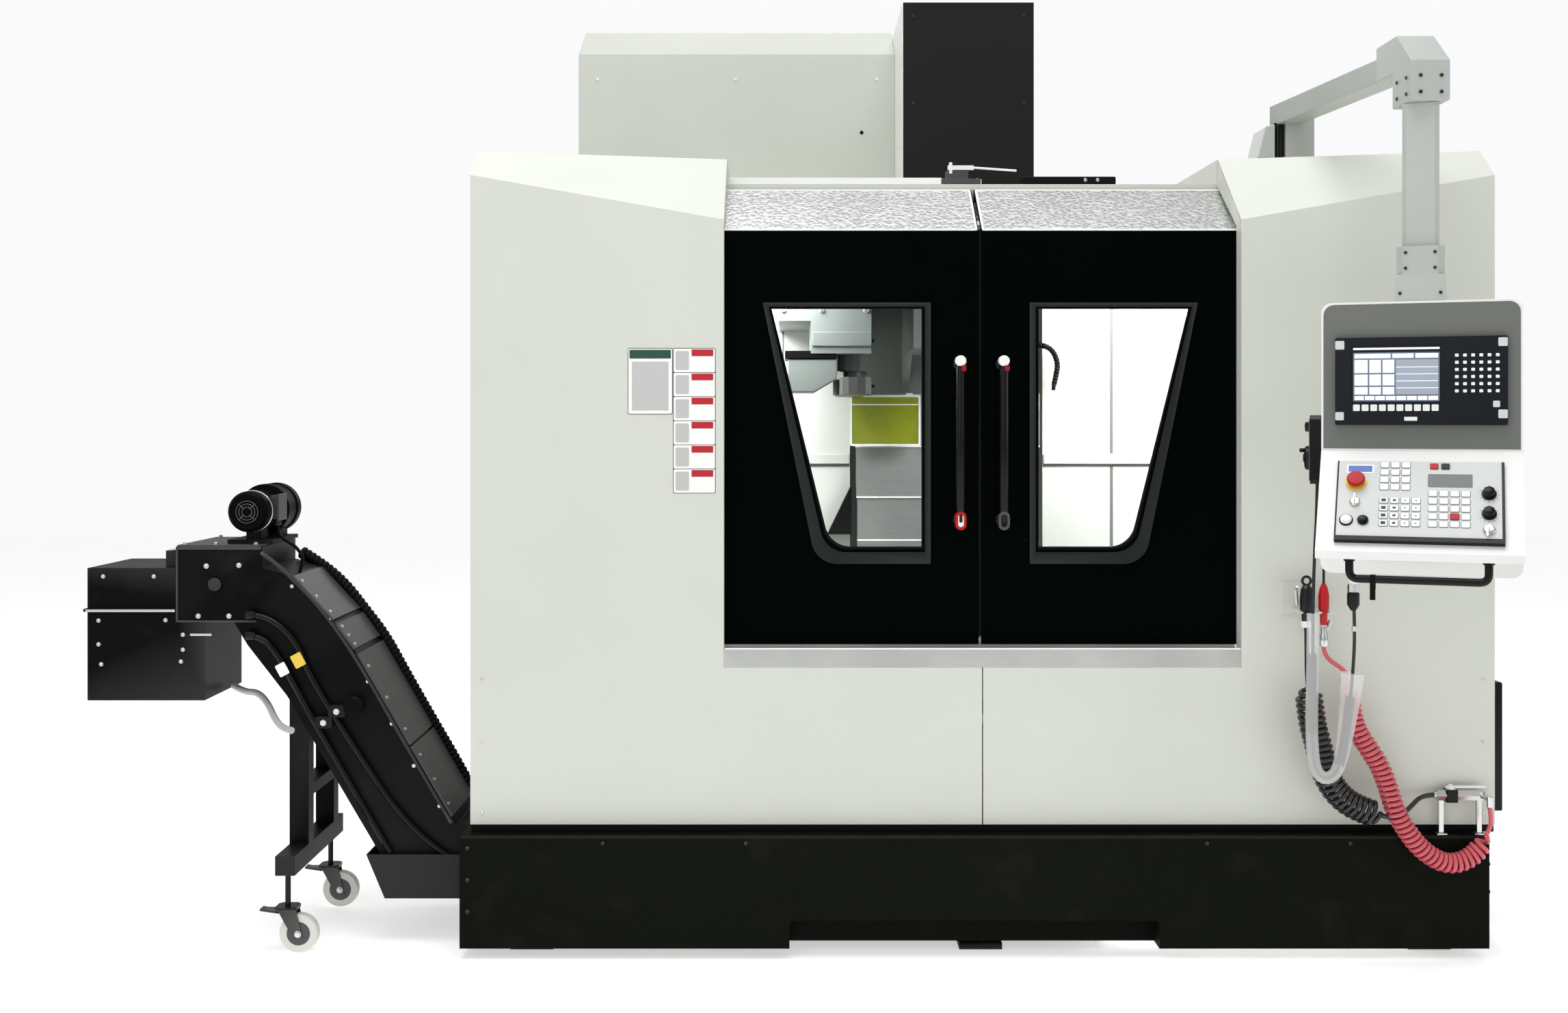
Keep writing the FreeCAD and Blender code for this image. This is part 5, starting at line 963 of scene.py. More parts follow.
@dataclass
class Frame:
    """The CAD nodes that are shown, dressed in their finishes."""

    coats: dict[str, Finish] = field(
        default_factory=lambda: {
            "enclosure_white": Coat.WHITE,
            "lining_white": Coat.LINING,
            "base_black": Coat.BASE,
            "door_black": Coat.DOOR,
            "conveyor_black": Coat.CONVEYOR,
            "stainless": Coat.STAINLESS,
            "window_glass": Coat.GLASS,
            "handle_black": Coat.BLACK_PLASTIC,
            "machine_grey": Coat.MACHINE,
            "ground_steel": Coat.GROUND,
            "tool_black": Coat.OXIDE,
            "wheel_white": Coat.TREAD,
            "pendant_shell": Coat.SHELL,
            "panel_dark": Coat.BEZEL,
            "key_panel_light": Coat.PLATE,
            "button_red": Coat.RED_PLASTIC,
            "gun_black": Coat.GUN_BLACK,
            "gun_red": Coat.GUN_RED,
            "valve_metal": Coat.VALVE,
            "hose_black": Coat.HOSE_BLACK,
            "hose_red": Coat.HOSE_RED,
        }
    )
    own: dict[str, Finish] = field(
        default_factory=lambda: {
            "column_cover": Coat.COVER, "levelling_feet": Coat.COVER, "coolant_tank": Coat.COVER,
            "conveyor_belt": Coat.GROUND,
            "upper_way_cover": Coat.WAY_STEEL, "middle_way_cover": Coat.WAY_STEEL, "lower_way_cover": Coat.WAY_STEEL,
            "pendant_post": Coat.POST, "magazine_cover": Coat.SHADED_ROOF_WHITE, "conveyor_shaft": Coat.OXIDE,
        }
    )
    edges: dict[str, float] = field(
        default_factory=lambda: {
            "magazine_cover": 0.004, "column_cover": 0.004, "pendant_housing": 0.003, "support_arm": 0.003,
            "pendant_post": 0.003, "handwheel_box": 0.003, "gear_motor": 0.001, "conveyor_casing": 0.0015,
            "discharge_hood": 0.0015, "base_pan": 0.002, "cabinet_door": 0.003, "spindle_head": 0.005,
            "changer_housing": 0.004, "table": 0.002, "conveyor_stand": 0.002, "arm_pivot": 0.002,
        }
    )

    def build(self) -> None:
        """Gives each node its finish and, where its edges show, a bevel."""
        for entry in frame["record"]["subparts"]:
            name = entry["node"]
            node = frame["nodes"][name]
            finish = self.own.get(name, self.coats[entry["material_slot"]])
            for held in node.material_slots:
                held.material = finish.material()
            if name in self.edges:
                weld = node.modifiers.new("Joined", "WELD")
                weld.merge_threshold = WELD
                edge = node.modifiers.new("Edges", "BEVEL")
                edge.width = self.edges[name]
                edge.segments = BEVEL_STEPS
                edge.limit_method = "ANGLE"
                edge.angle_limit = math.radians(NODE_BEVEL_ANGLE)
            LOG.info("node: %s", name)


@dataclass
class Enclosure:
    """Trim, label plates, locks and screws of the sheet enclosure."""

    front: float = -1.000
    side: float = 1.300
    labels: int = 6
    label_pitch: float = 0.0612

    def build(self) -> None:
        """Makes every piece of the enclosure's outside."""
        self._labels()
        self._edges()
        self._locks()
        self._screws()
        self._duct()

    def _labels(self) -> None:
        """Plain fields of colour on thin sheets beside the left door, with no text."""
        y = self.front
        flat_piece(
            "label_sheet", "enclosure", Coat.TRIM, (-0.899, -0.788, 1.372, 1.537, 0.004), Axis.Y, (y - 0.0012, y),
        )
        flat_piece(
            "label_sheet_header", "enclosure", Coat.GREEN, (-0.896, -0.791, 1.512, 1.534, 0.002), Axis.Y,
            (y - 0.0018, y - 0.0011),
        )
        flat_piece(
            "label_sheet_field", "enclosure", Coat.GREY_FIELD, (-0.890, -0.797, 1.380, 1.504, 0.003), Axis.Y,
            (y - 0.0016, y - 0.0011),
        )
        edges = Form().slab(rounded(-0.9005, -0.7865, 1.3705, 1.5385, 0.005), Axis.Y, y - 0.0007, y)
        edges.slab(rounded(-0.7855, -0.6775, 1.1700, 1.5385, 0.004), Axis.Y, y - 0.0007, y)
        edges.make("label_edges", "enclosure", Coat.KEY_MARK)
        plates, heads, fields = Form(), Form(), Form()
        for row in range(self.labels):
            high = 1.537 - row * self.label_pitch
            plates.slab(rounded(-0.784, -0.679, high - 0.0596, high, 0.003), Axis.Y, y - 0.0012, y)
            heads.block((-0.7385, -0.6835), (y - 0.0017, y - 0.0011), (high - 0.019, high - 0.002))
            fields.slab(rounded(-0.779, -0.745, high - 0.054, high - 0.006, 0.004), Axis.Y, y - 0.0017, y - 0.0011)
        plates.make("small_label_plates", "enclosure", Coat.TRIM)
        heads.make("small_label_heads", "enclosure", Coat.RED_FIELD)
        fields.make("small_label_fields", "enclosure", Coat.GREY_FIELD)

    def _edges(self) -> None:
        """A painted highlight strip along the sill's edge, a light trim along the roof, and dark seams."""
        y = self.front
        # White strip along the sill's top edge: a painted highlight where the edge catches the light.
        Form().block((-0.655, 0.655), (y - 0.0015, y + 0.004), (0.7735, 0.7775)).make(
            "sill_trim", "enclosure", Coat.TRIM, 0.0006
        )
        Form().block((-0.653, -0.082), (-0.7500, -0.7445), (1.9885, 2.006)).make(
            "roof_edge_trim", "enclosure", Coat.TRIM, 0.001
        )
        seams = Form()
        seams.block((-1.2985, 1.2985), (y + 0.004, y + 0.02), (0.3105, 0.3295))
        seams.make("base_groove", "enclosure", Coat.RUBBER)
        ribs = Form()
        for x in (-1.3, 1.3):
            edge = 0.0012 if x > 0 else -0.0012
            for place in (-0.30, 0.36):
                ribs.block(sorted((x, x + edge)), (place - 0.003, place + 0.003), (0.345, 2.035))
        ribs.make("side_sheet_joints", "enclosure", Coat.RUBBER)

    def _locks(self) -> None:
        """Door interlock with its lever, and the guard switch bar on the roof's edge."""
        top = 1.988
        lock = Form().slab(rounded(-0.088, 0.028, -0.7485, -0.698, 0.006), Axis.Z, top, top + 0.016)
        lock.slab(rounded(-0.068, -0.008, -0.7420, -0.706, 0.006), Axis.Z, top + 0.016, top + 0.038)
        lock.make("door_interlock", "enclosure", Coat.GREY_PLASTIC, 0.001)
        lever = Form().block((-0.064, 0.006), (-0.7445, -0.7390), (top + 0.040, top + 0.052))
        lever.rod((0.006, -0.742, top + 0.046), (0.121, -0.742, top + 0.038), 0.003, 10)
        lever.block((-0.060, -0.052), (-0.7450, -0.7350), (top + 0.030, top + 0.060))
        lever.make("interlock_lever", "enclosure", Coat.WHITE_PLASTIC, 0.0008)
        flat_piece(
            "guard_switch_bar", "enclosure", Coat.BLACK_PLASTIC, (0.134, 0.387, top, top + 0.0215, 0.004), Axis.Y,
            (-0.7490, -0.7175), 0.001,
        )
        dots = Form()
        dots.screws((0.305, 0.338), (-0.7490,), (top + 0.012,), FRONT, 0.010)
        dots.screws((-0.078, 0.018), (-0.724,), (top + 0.016,), UP, 0.008)
        dots.make("interlock_screws", "enclosure", Coat.ZINC)

    def _screws(self) -> None:
        """Panel screws where sheets meet the frame."""
        heads = Form()
        heads.screws((-1.27, 1.27), (self.front,), (0.36, 0.54, 0.70), FRONT, 0.008)
        for side in (-1, 1):
            depths = (-0.92, -0.34, -0.26, 0.32, 0.40, 0.95)
            heads.screws((side * self.side,), depths, (0.40, 1.10, 1.90), (side, 0, 0), 0.010)
        heads.screws((-1.2, -0.72, 1.0, 1.2), (1.000,), (0.40, 1.10, 1.98), REAR, 0.010)
        heads.make("panel_screws", "enclosure", Coat.ZINC)

    def _duct(self) -> None:
        """Black cable duct on the right side with its light markers."""
        flat_piece(
            "side_duct_cover", "enclosure", Coat.BLACK_PLASTIC, (-0.9925, -0.9315, 0.3615, 0.6885, 0.006), Axis.X,
            (1.3002, 1.3228), 0.0015,
        )
        marks = Form()
        for z in (0.430, 0.445, 0.640):
            marks.block((1.3228, 1.3238), (-0.974, -0.950), (z, z + 0.006))
        marks.make("side_duct_marks", "enclosure", Coat.TRIM)


@dataclass
class Door:
    """Trim, handle and window rim of one sliding door."""

    side: int
    face: float = -0.940
    width: float = 0.687
    gap: float = 0.003

    @property
    def name(self) -> str:
        """The door's name, which is its body's too."""
        return "left_door" if self.side < 0 else "right_door"

    def _outline(self, inset: float) -> Line:
        """The window's outline, moved inwards by an inset."""
        corners = [
            (0.128 + inset, 0.988 + 1.9 * inset),
            (0.421 - 1.6 * inset, 0.988 + 1.9 * inset),
            (0.558 - inset, 1.657 - 0.7 * inset),
            (0.128 + inset, 1.657 - 0.7 * inset),
        ]
        line = soften(corners, [0.0, 0.066, 0.0, 0.0], 10)
        return [(self.side * x, z) for x, z in line]

    def build(self) -> None:
        """Makes the pieces of the door."""
        y = self.face
        Form().band(self._outline(-0.0008), self._outline(0.0150), Axis.Y, y - 0.0105, y - 0.0002).make(
            f"{self.name}_window_rim", self.name, Coat.RIM, 0.0015
        )
        Form().band(self._outline(0.0150), self._outline(0.0225), Axis.Y, y - 0.0075, y + 0.0028).make(
            f"{self.name}_window_seal", self.name, Coat.RUBBER, 0.001
        )
        self._strip()
        self._handle()
        edge = self.side * self.gap
        seal = Form().block(sorted((edge, edge - self.side * 0.0022)), (y + 0.001, y + 0.024), (0.800, 1.845))
        seal.make(f"{self.name}_edge_seal", self.name, Coat.RUBBER)

    def _strip(self) -> None:
        """Embossed bright sheet on the slope with a light outline."""
        start, end = self.gap + 0.003, self.gap + self.width - 0.003
        low, high = Vector((0, self.face, 1.842)), Vector((0, -0.760, 1.972))
        up = (high - low).normalized()
        out = Vector((0, -up.z, up.y))
        length = (high - low).length
        at = Matrix.Translation(low) @ Matrix(((self.side, 0, 0), (0, up.y, out.y), (0, up.z, out.z))).to_4x4()
        flat_piece(
            f"{self.name}_top_strip", self.name, Coat.EMBOSSED,
            (start + 0.006, end - 0.006, 0.008, length - 0.008, 0.003), Axis.Z, (0.0, 0.0016), at=at,
        )
        outer = rounded(start, end, 0.002, length - 0.002, 0.004)
        inner = rounded(start + 0.0055, end - 0.0055, 0.0075, length - 0.0075, 0.003)
        Form(at).band(outer, inner, Axis.Z, 0.0, 0.0024).make(f"{self.name}_strip_outline", self.name, Coat.TRIM)

    def _handle(self) -> None:
        """Tube handle on two black brackets, with a round disc on top and an oval ring below."""
        x, y = self.side * 0.055, self.face - 0.050
        profile = [(0.0100, 1.094), (0.0118, 1.097), (0.0118, 1.500), (0.0100, 1.503)]
        piece = Form().lathe((x, y, 0), UP, profile, 28).make(f"{self.name}_grip", self.name, Coat.BLACK_PLASTIC)
        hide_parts(f"{self.name}_handle")
        brackets = Form()
        for z in (1.100, 1.500):
            brackets.lathe(
                (x, self.face, z), FRONT, [(0.0150, 0), (0.0150, 0.004), (0.0095, 0.007), (0.0085, 0.040)], 20,
            )
        brackets.make(f"{self.name}_grip_brackets", self.name, Coat.BLACK_PLASTIC, 0.0006)
        cap = Form().lathe(
            (x, y + 0.010, 1.506), FRONT,
            [(0.0125, 0), (0.0140, 0.002), (0.0140, 0.020), (0.0120, 0.0225), (0.005, 0.0232)], 28,
        )
        cap.make(f"{self.name}_grip_disc", self.name, Coat.WHITE_PLASTIC)
        flat_piece(
            f"{self.name}_grip_clamp", self.name, Coat.BRACKET_RED, (x + 0.001, x + 0.0135, 1.480, 1.495, 0.003),
            Axis.Y, (y - 0.0140, y + 0.004), 0.0008,
        )
        tone = Coat.RED_PLASTIC if self.side < 0 else Coat.GREY_PLASTIC
        outer, inner = rounded(x - 0.014, x + 0.014, 1.0765, 1.1235, 0.0135), rounded(
            x - 0.0075, x + 0.0075, 1.084, 1.116, 0.0072,
        )
        foot = Form().band(outer, inner, Axis.Y, y - 0.0130, y + 0.010)
        foot.make(f"{self.name}_grip_foot", self.name, tone, 0.0010)
        heart = Coat.WHITE_PLASTIC if self.side < 0 else Coat.BLACK_PLASTIC
        core = rounded(x - 0.0080, x + 0.0080, 1.0835, 1.1165, 0.0075)
        Form().slab(core, Axis.Y, y - 0.0110, y + 0.008).make(f"{self.name}_grip_core", self.name, heart, 0.0006)


@dataclass
class WorkArea:
    """What shows through the windows: pieces on the tool changer, the head, the way covers and the sheet lining."""

    def build(self) -> None:
        """Makes the inside pieces."""
        box = Form().slab(
            [(-0.494, 1.525), (-0.357, 1.525), (-0.357, 1.470), (-0.420, 1.432), (-0.494, 1.432)], Axis.Y, -0.592,
            -0.350,
        )
        box.make("changer_lower_cover", "enclosure", Coat.MACHINE, 0.004)
        Form().block((-0.502, -0.357), (-0.596, -0.345), (1.526, 1.548)).make(
            "changer_black_band", "enclosure", Coat.RUBBER, 0.002
        )
        Form().block((-0.426, -0.262), (-0.606, -0.598), (1.560, 1.600)).make(
            "changer_front_plate", "enclosure", Coat.MACHINE, 0.002
        )
        bolts = Form()
        for x in (-0.505, -0.400, -0.277):
            for z in (1.66, 1.80, 1.93):
                bolts.nut((x, -0.600, z), FRONT, 0.014)
        bolts.make("changer_bolts", "enclosure", Coat.ZINC)
        nozzle = Form()
        for x in (-0.105, 0.105):
            nozzle.tube(bent([(x, -0.572, 1.555), (x, -0.572, 1.500), (x * 0.6, -0.520, 1.455)], 0.03), 0.009)
        nozzle.make("coolant_nozzles", "head", Coat.OXIDE)
        seal = Form().lathe(
            (0, -0.45, 1.4970), UP, [(0.066, 0.0), (0.072, 0.004), (0.072, 0.012), (0.060, 0.0125)], 40,
        )
        seal.make("spindle_seal_ring", "head", Coat.OXIDE)
        flat_piece(
            "chip_guard_sheet", "head", Coat.TINTED, (-0.300, -0.090, 1.278, 1.428, 0.006), Axis.Y,
            (-0.1045, -0.1005),
        )
        outer, inner = rounded(-0.303, -0.087, 1.275, 1.431, 0.006), rounded(-0.297, -0.093, 1.281, 1.425, 0.004)
        guard = Form().band(outer, inner, Axis.Y, -0.1065, -0.0985)
        guard.block((-0.297, -0.093), (-0.1065, -0.1040), (1.400, 1.4035))
        for x in (-0.270, -0.120):
            guard.block((x - 0.010, x + 0.010), (-0.0995, -0.0618), (1.418, 1.4375))
        guard.make("chip_guard_rim", "head", Coat.TRIM)
        # White strips along the lower edges of the way cover plates: painted highlights where the edges catch the
        # light.
        for name, body, front, z, half in (
            ("upper_cover_edge", "head", -0.0620, 1.270, 0.285),
            ("middle_cover_edge", "middle_cover", -0.0585, 1.113, 0.2815),
            ("lower_cover_edge", "enclosure", -0.0550, 0.980, 0.278),
        ):
            Form().block(
                (-half, half), (front - COVER_EDGE_HIGHLIGHT, front), (z + 0.0005, z + 0.0055),
            ).make(name, body, Coat.TRIM)
        dark = Form().slab([(-0.371, 1.001), (-0.296, 1.001), (-0.296, 1.155)], Axis.Y, -0.060, -0.0205)
        dark.make("cover_gusset", "enclosure", Coat.COVER, 0.001)
        seams = Form()
        for low, high in ((0.36, 1.212), (1.250, 1.97)):
            seams.block((0.5105, 0.5195), (-0.0215, -0.0200), (low, high))
        seams.block((0.302, 1.19), (-0.0215, -0.0200), (1.209, 1.2175))
        seams.block((-1.19, -0.302), (-0.0215, -0.0200), (1.209, 1.2175))
        seams.block((-0.5105, -0.5055), (-0.0215, -0.0200), (0.36, 1.97))
        seams.make("lining_seams", "enclosure", Coat.SHADE)
        bars = Form().block((0.302, 1.19), (-0.0300, -0.0200), (1.218, 1.248))
        bars.block((-1.19, -0.302), (-0.0300, -0.0200), (1.218, 1.248))
        bars.make("lining_cross_bars", "enclosure", Coat.LINING, 0.002)
        flat_piece("work_lamp", "enclosure", Coat.TRIM, (0.60, 1.00, 1.915, 1.955, 0.018), Axis.Y, (-0.070, -0.022))
        arc = [
            (0.262, -0.030, 1.580), (0.280, -0.066, 1.590), (0.322, -0.074, 1.574), (0.340, -0.074, 1.530),
            (0.334, -0.074, 1.492), (0.327, -0.074, 1.462),
        ]
        pipe = Form().ribbed(smooth(arc), 0.0095, 0.0022, 0.010, 14)
        pipe.rod((0.262, -0.018, 1.580), (0.262, -0.040, 1.580), 0.014)
        pipe.rod((0.3275, -0.074, 1.470), (0.3255, -0.074, 1.446), 0.0065)
        pipe.block((0.150, 0.176), (-0.066, -0.020), (1.610, 1.655))
        pipe.make("coolant_pipe", "enclosure", Coat.RUBBER)
        screws = Form().screws((-0.23, 0.23), (-0.045,), (1.46, 1.60, 1.74, 1.90), FRONT, 0.012)
        screws.make("carriage_screws", "head", Coat.OXIDE)


@dataclass
class TopCovers:
    """Details of the two covers on the roof and of the machine's rear."""

    def build(self) -> None:
        """Makes the pieces on the covers."""
        top = Form().screws((-1.10, -0.66, -0.21), (0.100,), (2.07, 2.44), FRONT, 0.009)
        top.make("magazine_cover_screws", "enclosure", Coat.TRIM)
        Form().lathe((-0.258, 0.100, 2.27), FRONT, [(0.006, 0), (0.006, 0.0012), (0.004, 0.0014)], 16).make(
            "magazine_cover_dot", "enclosure", Coat.RUBBER
        )
        # White sheet on the black column cover's left side: painted light where that side faces the lights.
        Form().block((-0.1518, -0.1502), (-0.2490, 0.6400), (1.990, 2.598)).make(
            "column_cover_light_side", "enclosure", Coat.TRIM
        )
        screws = Form().screws((-0.12, 0.21), (-0.250,), (2.03, 2.30, 2.56), FRONT, 0.009)
        screws.make("column_cover_screws", "enclosure", Coat.OXIDE)
        rear = Form()
        for z in (0.70, 1.60):
            for row in range(8):
                high = z + row * 0.022
                rear.slab(
                    [(1.3015, high), (1.3075, high + 0.002), (1.3075, high + 0.006), (1.3015, high + 0.012)],
                    Axis.X, -0.30, 0.30,
                )
        rear.make("cabinet_louvres", "cabinet_door", Coat.WHITE)
        latch = Form().slab(rounded(0.832, 0.858, 1.102, 1.218, 0.008), Axis.Y, 1.3158, 1.3185)
        latch.lathe((0.845, 1.3185, 1.16), REAR, [(0.009, 0), (0.009, 0.003), (0.006, 0.004)], 20)
        latch.make("cabinet_latch_plate", "cabinet_door", Coat.BLACK_PLASTIC)


@dataclass
class Base:
    """Screws, pins and the front lip of the base pan."""

    def build(self) -> None:
        """Makes the pieces of the base."""
        bolts = Form().screws((-1.300,), (-1.040,), (0.12, 0.20, 0.28), FRONT, 0.010)
        bolts.screws((-0.96, -0.60, 0.56, 0.92), (-1.040,), (0.292,), FRONT, 0.009)
        bolts.make("base_screws", "enclosure", Coat.OXIDE)
        pins = Form()
        for z in (0.165, 0.235):
            pins.rod((1.2695, -1.020, z), (1.2790, -1.020, z), 0.0045, 12)
        pins.make("base_jacking_pins", "enclosure", Coat.OXIDE)
        lip = Form().block((-1.318, 1.268), (-1.0415, -1.0385), (0.3035, 0.3110))
        lip.make("base_lip", "enclosure", Coat.COVER, 0.001)


@dataclass
class Conveyor:
    """Lids, bolts, motor, pipes and casters of the chip conveyor."""

    near: float = -0.880
    far: float = -0.580
    motor: Spot = (-1.910, 1.115)
    axle: Spot = (-1.740, 0.049)

    def build(self) -> None:
        """Makes the pieces of the conveyor."""
        self._lids()
        self._hood()
        self._motor()
        self._pipes()
        for name, y in (("front", -0.975), ("rear", -0.570)):
            self._caster(name, y)

    def _lids(self) -> None:
        """Flanged lids on the incline, with a cross seam."""
        runs = [
            ((-1.372, 0.322), (-1.478, 0.504)), ((-1.481, 0.509), (-1.618, 0.745)),
            ((-1.626, 0.757), (-1.673, 0.822)), ((-1.681, 0.833), (-1.786, 0.947)),
        ]
        lids, bolts = Form(), Form()
        for (x0, z0), (x1, z1) in runs:
            way = Vector((x1 - x0, 0, z1 - z0)).normalized()
            out = Vector((-way.z, 0, way.x)) * -1
            spots = []
            for base, lift in (((x0, z0), 0.0), ((x1, z1), 0.0), ((x1, z1), 0.006), ((x0, z0), 0.006)):
                spots.append((base[0] + out.x * lift, base[1] + out.z * lift))
            lids.slab(spots, Axis.Y, self.near - 0.006, self.far + 0.006)
            for share in (0.15, 0.5, 0.85):
                for y in (self.near + 0.012, self.far - 0.012):
                    spot = Vector((x0, y, z0)).lerp(Vector((x1, y, z1)), share) + out * 0.006
                    bolts.nut(spot, out, 0.008)
        lids.block((-2.086, -1.870), (self.near - 0.004, self.far + 0.004), (1.0262, 1.0302))
        lids.make("conveyor_lids", "enclosure", Coat.LID, 0.0008)
        for x in (-2.07, -1.99, -1.885):
            for y in (self.near + 0.010, self.far - 0.010):
                bolts.nut((x, y, 1.0302), UP, 0.011)
        bolts.make("conveyor_lid_bolts", "enclosure", Coat.ZINC)

    def _hood(self) -> None:
        """Seam, bolts and flange lines of the drive head and hood."""
        y = self.near
        seam = Form().block((-2.3225, -2.0905), (y - 0.0095, y - 0.0079), (0.8560, 0.8625))
        seam.block((-2.0525, -1.997), (y - 0.0030, y), (0.7930, 0.7990))
        seam.make("hood_seam", "enclosure", Coat.ZINC, 0.0004)
        lines = Form().block((-2.088, -1.880), (y - 0.0040, y), (0.8285, 0.8335))
        lines.block((-2.088, -1.868), (y - 0.0040, y), (1.0180, 1.0262))
        lines.block((-2.0895, -2.0845), (y - 0.0040, y), (0.8285, 1.0262))
        lines.make("head_flanges", "enclosure", Coat.LID, 0.0008)
        bolts = Form()
        hood = [
            (-2.280, 0.948), (-2.148, 0.948), (-2.292, 0.833), (-2.1175, 0.834), (-2.292, 0.771), (-2.285, 0.719),
            (-2.072, 0.796), (-2.072, 0.757), (-2.077, 0.726),
        ]
        head = [(-2.032, 0.8445), (-1.952, 0.8445), (-2.011, 0.975), (-1.926, 0.977)]
        incline = [
            (-1.788, 0.922), (-1.689, 0.8365), (-1.650, 0.778), (-1.590, 0.674), (-1.5275, 0.564), (-1.470, 0.454),
            (-1.403, 0.349),
        ]
        for size, places in ((0.009, hood), (0.011, head), (0.008, incline)):
            for x, z in places:
                bolts.nut((x, y, z), FRONT, size)
        bolts.make("hood_bolts", "enclosure", Coat.ZINC)
        Form().rod((-2.124, y + 0.040, 1.012), (-2.070, y + 0.040, 1.020), 0.003, 10).make(
            "head_latch_rod", "enclosure", Coat.ZINC
        )
        Form().block((-2.128, -2.088), (y + 0.030, y + 0.050), (0.9700, 1.0130)).make(
            "head_latch_block", "enclosure", Coat.CONVEYOR, 0.001
        )

    def _motor(self) -> None:
        """Geared motor with fins, a fan cover, a terminal box and a foot."""
        (x, z), y = self.motor, self.near + 0.012
        shell = [
            (0.030, 0.004), (0.034, 0.000), (0.046, 0.002), (0.052, 0.010), (0.054, 0.016), (0.054, 0.044),
            (0.0525, 0.045), (0.0525, 0.049), (0.0465, 0.050), (0.0465, 0.150),
        ]
        body = Form().lathe((x, y, z), REAR, [(0.012, 0.004)] + shell, 44)
        for k in range(24):
            way = 2 * math.pi * (k + 0.5) / 24
            fin = Matrix.Translation((x, 0, z)) @ Matrix.Rotation(way, 4, "Y")
            body.add(Form(fin).block((0.045, 0.0515), (y + 0.052, y + 0.146), (-0.0011, 0.0011)))
        drum = [
            (0.060, 0), (0.0675, 0.004), (0.0675, 0.034), (0.064, 0.036), (0.064, 0.086), (0.0675, 0.088),
            (0.0675, 0.116), (0.060, 0.120),
        ]
        body.lathe((x, y + 0.150, z), REAR, drum, 44)
        body.block((x - 0.060, x + 0.060), (y + 0.030, y + 0.260), (1.0305, 1.0410))
        body.block((x - 0.042, x + 0.034), (y + 0.167, y + 0.248), (1.040, z))
        body.block((x - 0.020, x + 0.020), (y + 0.060, y + 0.120), (1.040, z - 0.040))
        piece = body.make("geared_motor", "enclosure", Coat.COVER, 0.0006)
        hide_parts("gear_motor")
        box = Form().block((x + 0.042, x + 0.062), (y + 0.062, y + 0.128), (z - 0.022, z + 0.040))
        box.block((x + 0.0615, x + 0.0670), (y + 0.058, y + 0.132), (z - 0.026, z + 0.044))
        box.rod((x + 0.054, y + 0.095, z - 0.020), (x + 0.054, y + 0.095, z - 0.040), 0.009)
        box.make("motor_terminal_box", "enclosure", Coat.OXIDE, 0.0015)
        rings, level = Form(), y + 0.0022
        for radius in (0.0130, 0.0210, 0.0290):
            round_it = ring((x, z), radius, (math.radians(12 * k) for k in range(31)))
            rings.tube([(u, level, v) for u, v in round_it], 0.0013, 6)
        for k in range(4):
            (u0, v0), (u1, v1) = (ring((x, z), radius, [math.radians(45 + 90 * k)])[0] for radius in (0.010, 0.031))
            rings.rod((u0, level, v0), (u1, level, v1), 0.0013, 6)
        rings.make("motor_fan_grille", "enclosure", Coat.GREY_PLASTIC)
        band = Form().lathe(
            (x, y + 0.046, z), REAR, [(0.0530, 0), (0.0550, 0.001), (0.0550, 0.007), (0.0530, 0.008)], 44,
        )
        band.make("motor_clamp_band", "enclosure", Coat.ZINC)

    def _pipes(self) -> None:
        """Conduits and pipes clamped along the casing, with plain tags."""
        y = self.near - 0.012
        upper = [
            (-1.900, 0.850), (-1.859, 0.847), (-1.805, 0.8135), (-1.767, 0.766), (-1.743, 0.699), (-1.657, 0.556),
            (-1.466, 0.2695), (-1.352, 0.208),
        ]
        lower = [
            (-1.900, 0.797), (-1.862, 0.790), (-1.834, 0.761), (-1.805, 0.718), (-1.714, 0.546), (-1.528, 0.232),
        ]
        pipes = Form()
        for route in (upper, lower):
            pipes.tube(smooth([(x, y, z) for x, z in route]), 0.0085, 14)
            pipes.rod((route[0][0] - 0.004, y, route[0][1]), (route[0][0] + 0.022, y, route[0][1] - 0.001), 0.0125)
        pipes.make("conveyor_conduits", "enclosure", Coat.BLACK_PLASTIC)
        flange = Form()
        edge = [
            (-1.868, 1.010), (-1.820, 0.975), (-1.783, 0.938), (-1.735, 0.890), (-1.684, 0.828), (-1.620, 0.735),
            (-1.500, 0.525), (-1.372, 0.306),
        ]
        flange.tube(smooth([(x, self.near - 0.001, z) for x, z in edge]), 0.0052, 10)
        flange.make("casing_edge_bead", "enclosure", Coat.LID)
        clips, nuts = Form(), Form()
        for cx, cz in ((-1.700, 0.570), (-1.666, 0.599)):
            clips.slab(
                rounded(cx - 0.022, cx + 0.022, cz - 0.015, cz + 0.015, 0.005), Axis.Y, y - 0.0105, self.near,
            )
            nuts.nut((cx, y - 0.0105, cz), FRONT, 0.013)
        clips.lathe(
            (-1.624, self.near, 0.614), FRONT,
            [(0.010, 0), (0.010, 0.010), (0.023, 0.011), (0.025, 0.015), (0.025, 0.026), (0.021, 0.030)], 24,
        )
        clips.make("conduit_clips", "enclosure", Coat.CONVEYOR, 0.0015)
        nuts.make("conduit_clip_nuts", "enclosure", Coat.ZINC)
        lean = Matrix.Rotation(math.radians(-28), 4, "Y")
        for name, finish, cx, cz, wide, high in (
            ("white_tag", Coat.TRIM, -1.807, 0.708, 0.027, 0.033), (
                "yellow_tag", Coat.YELLOW, -1.766, 0.732, 0.029, 0.036,
            )
        ):
            tag = Form(Matrix.Translation((cx, y - 0.0088, cz)) @ lean)
            tag.slab(rounded(-wide / 2, wide / 2, -high / 2, high / 2, 0.003), Axis.Y, -0.0007, 0.0007)
            tag.make(name, "enclosure", finish)
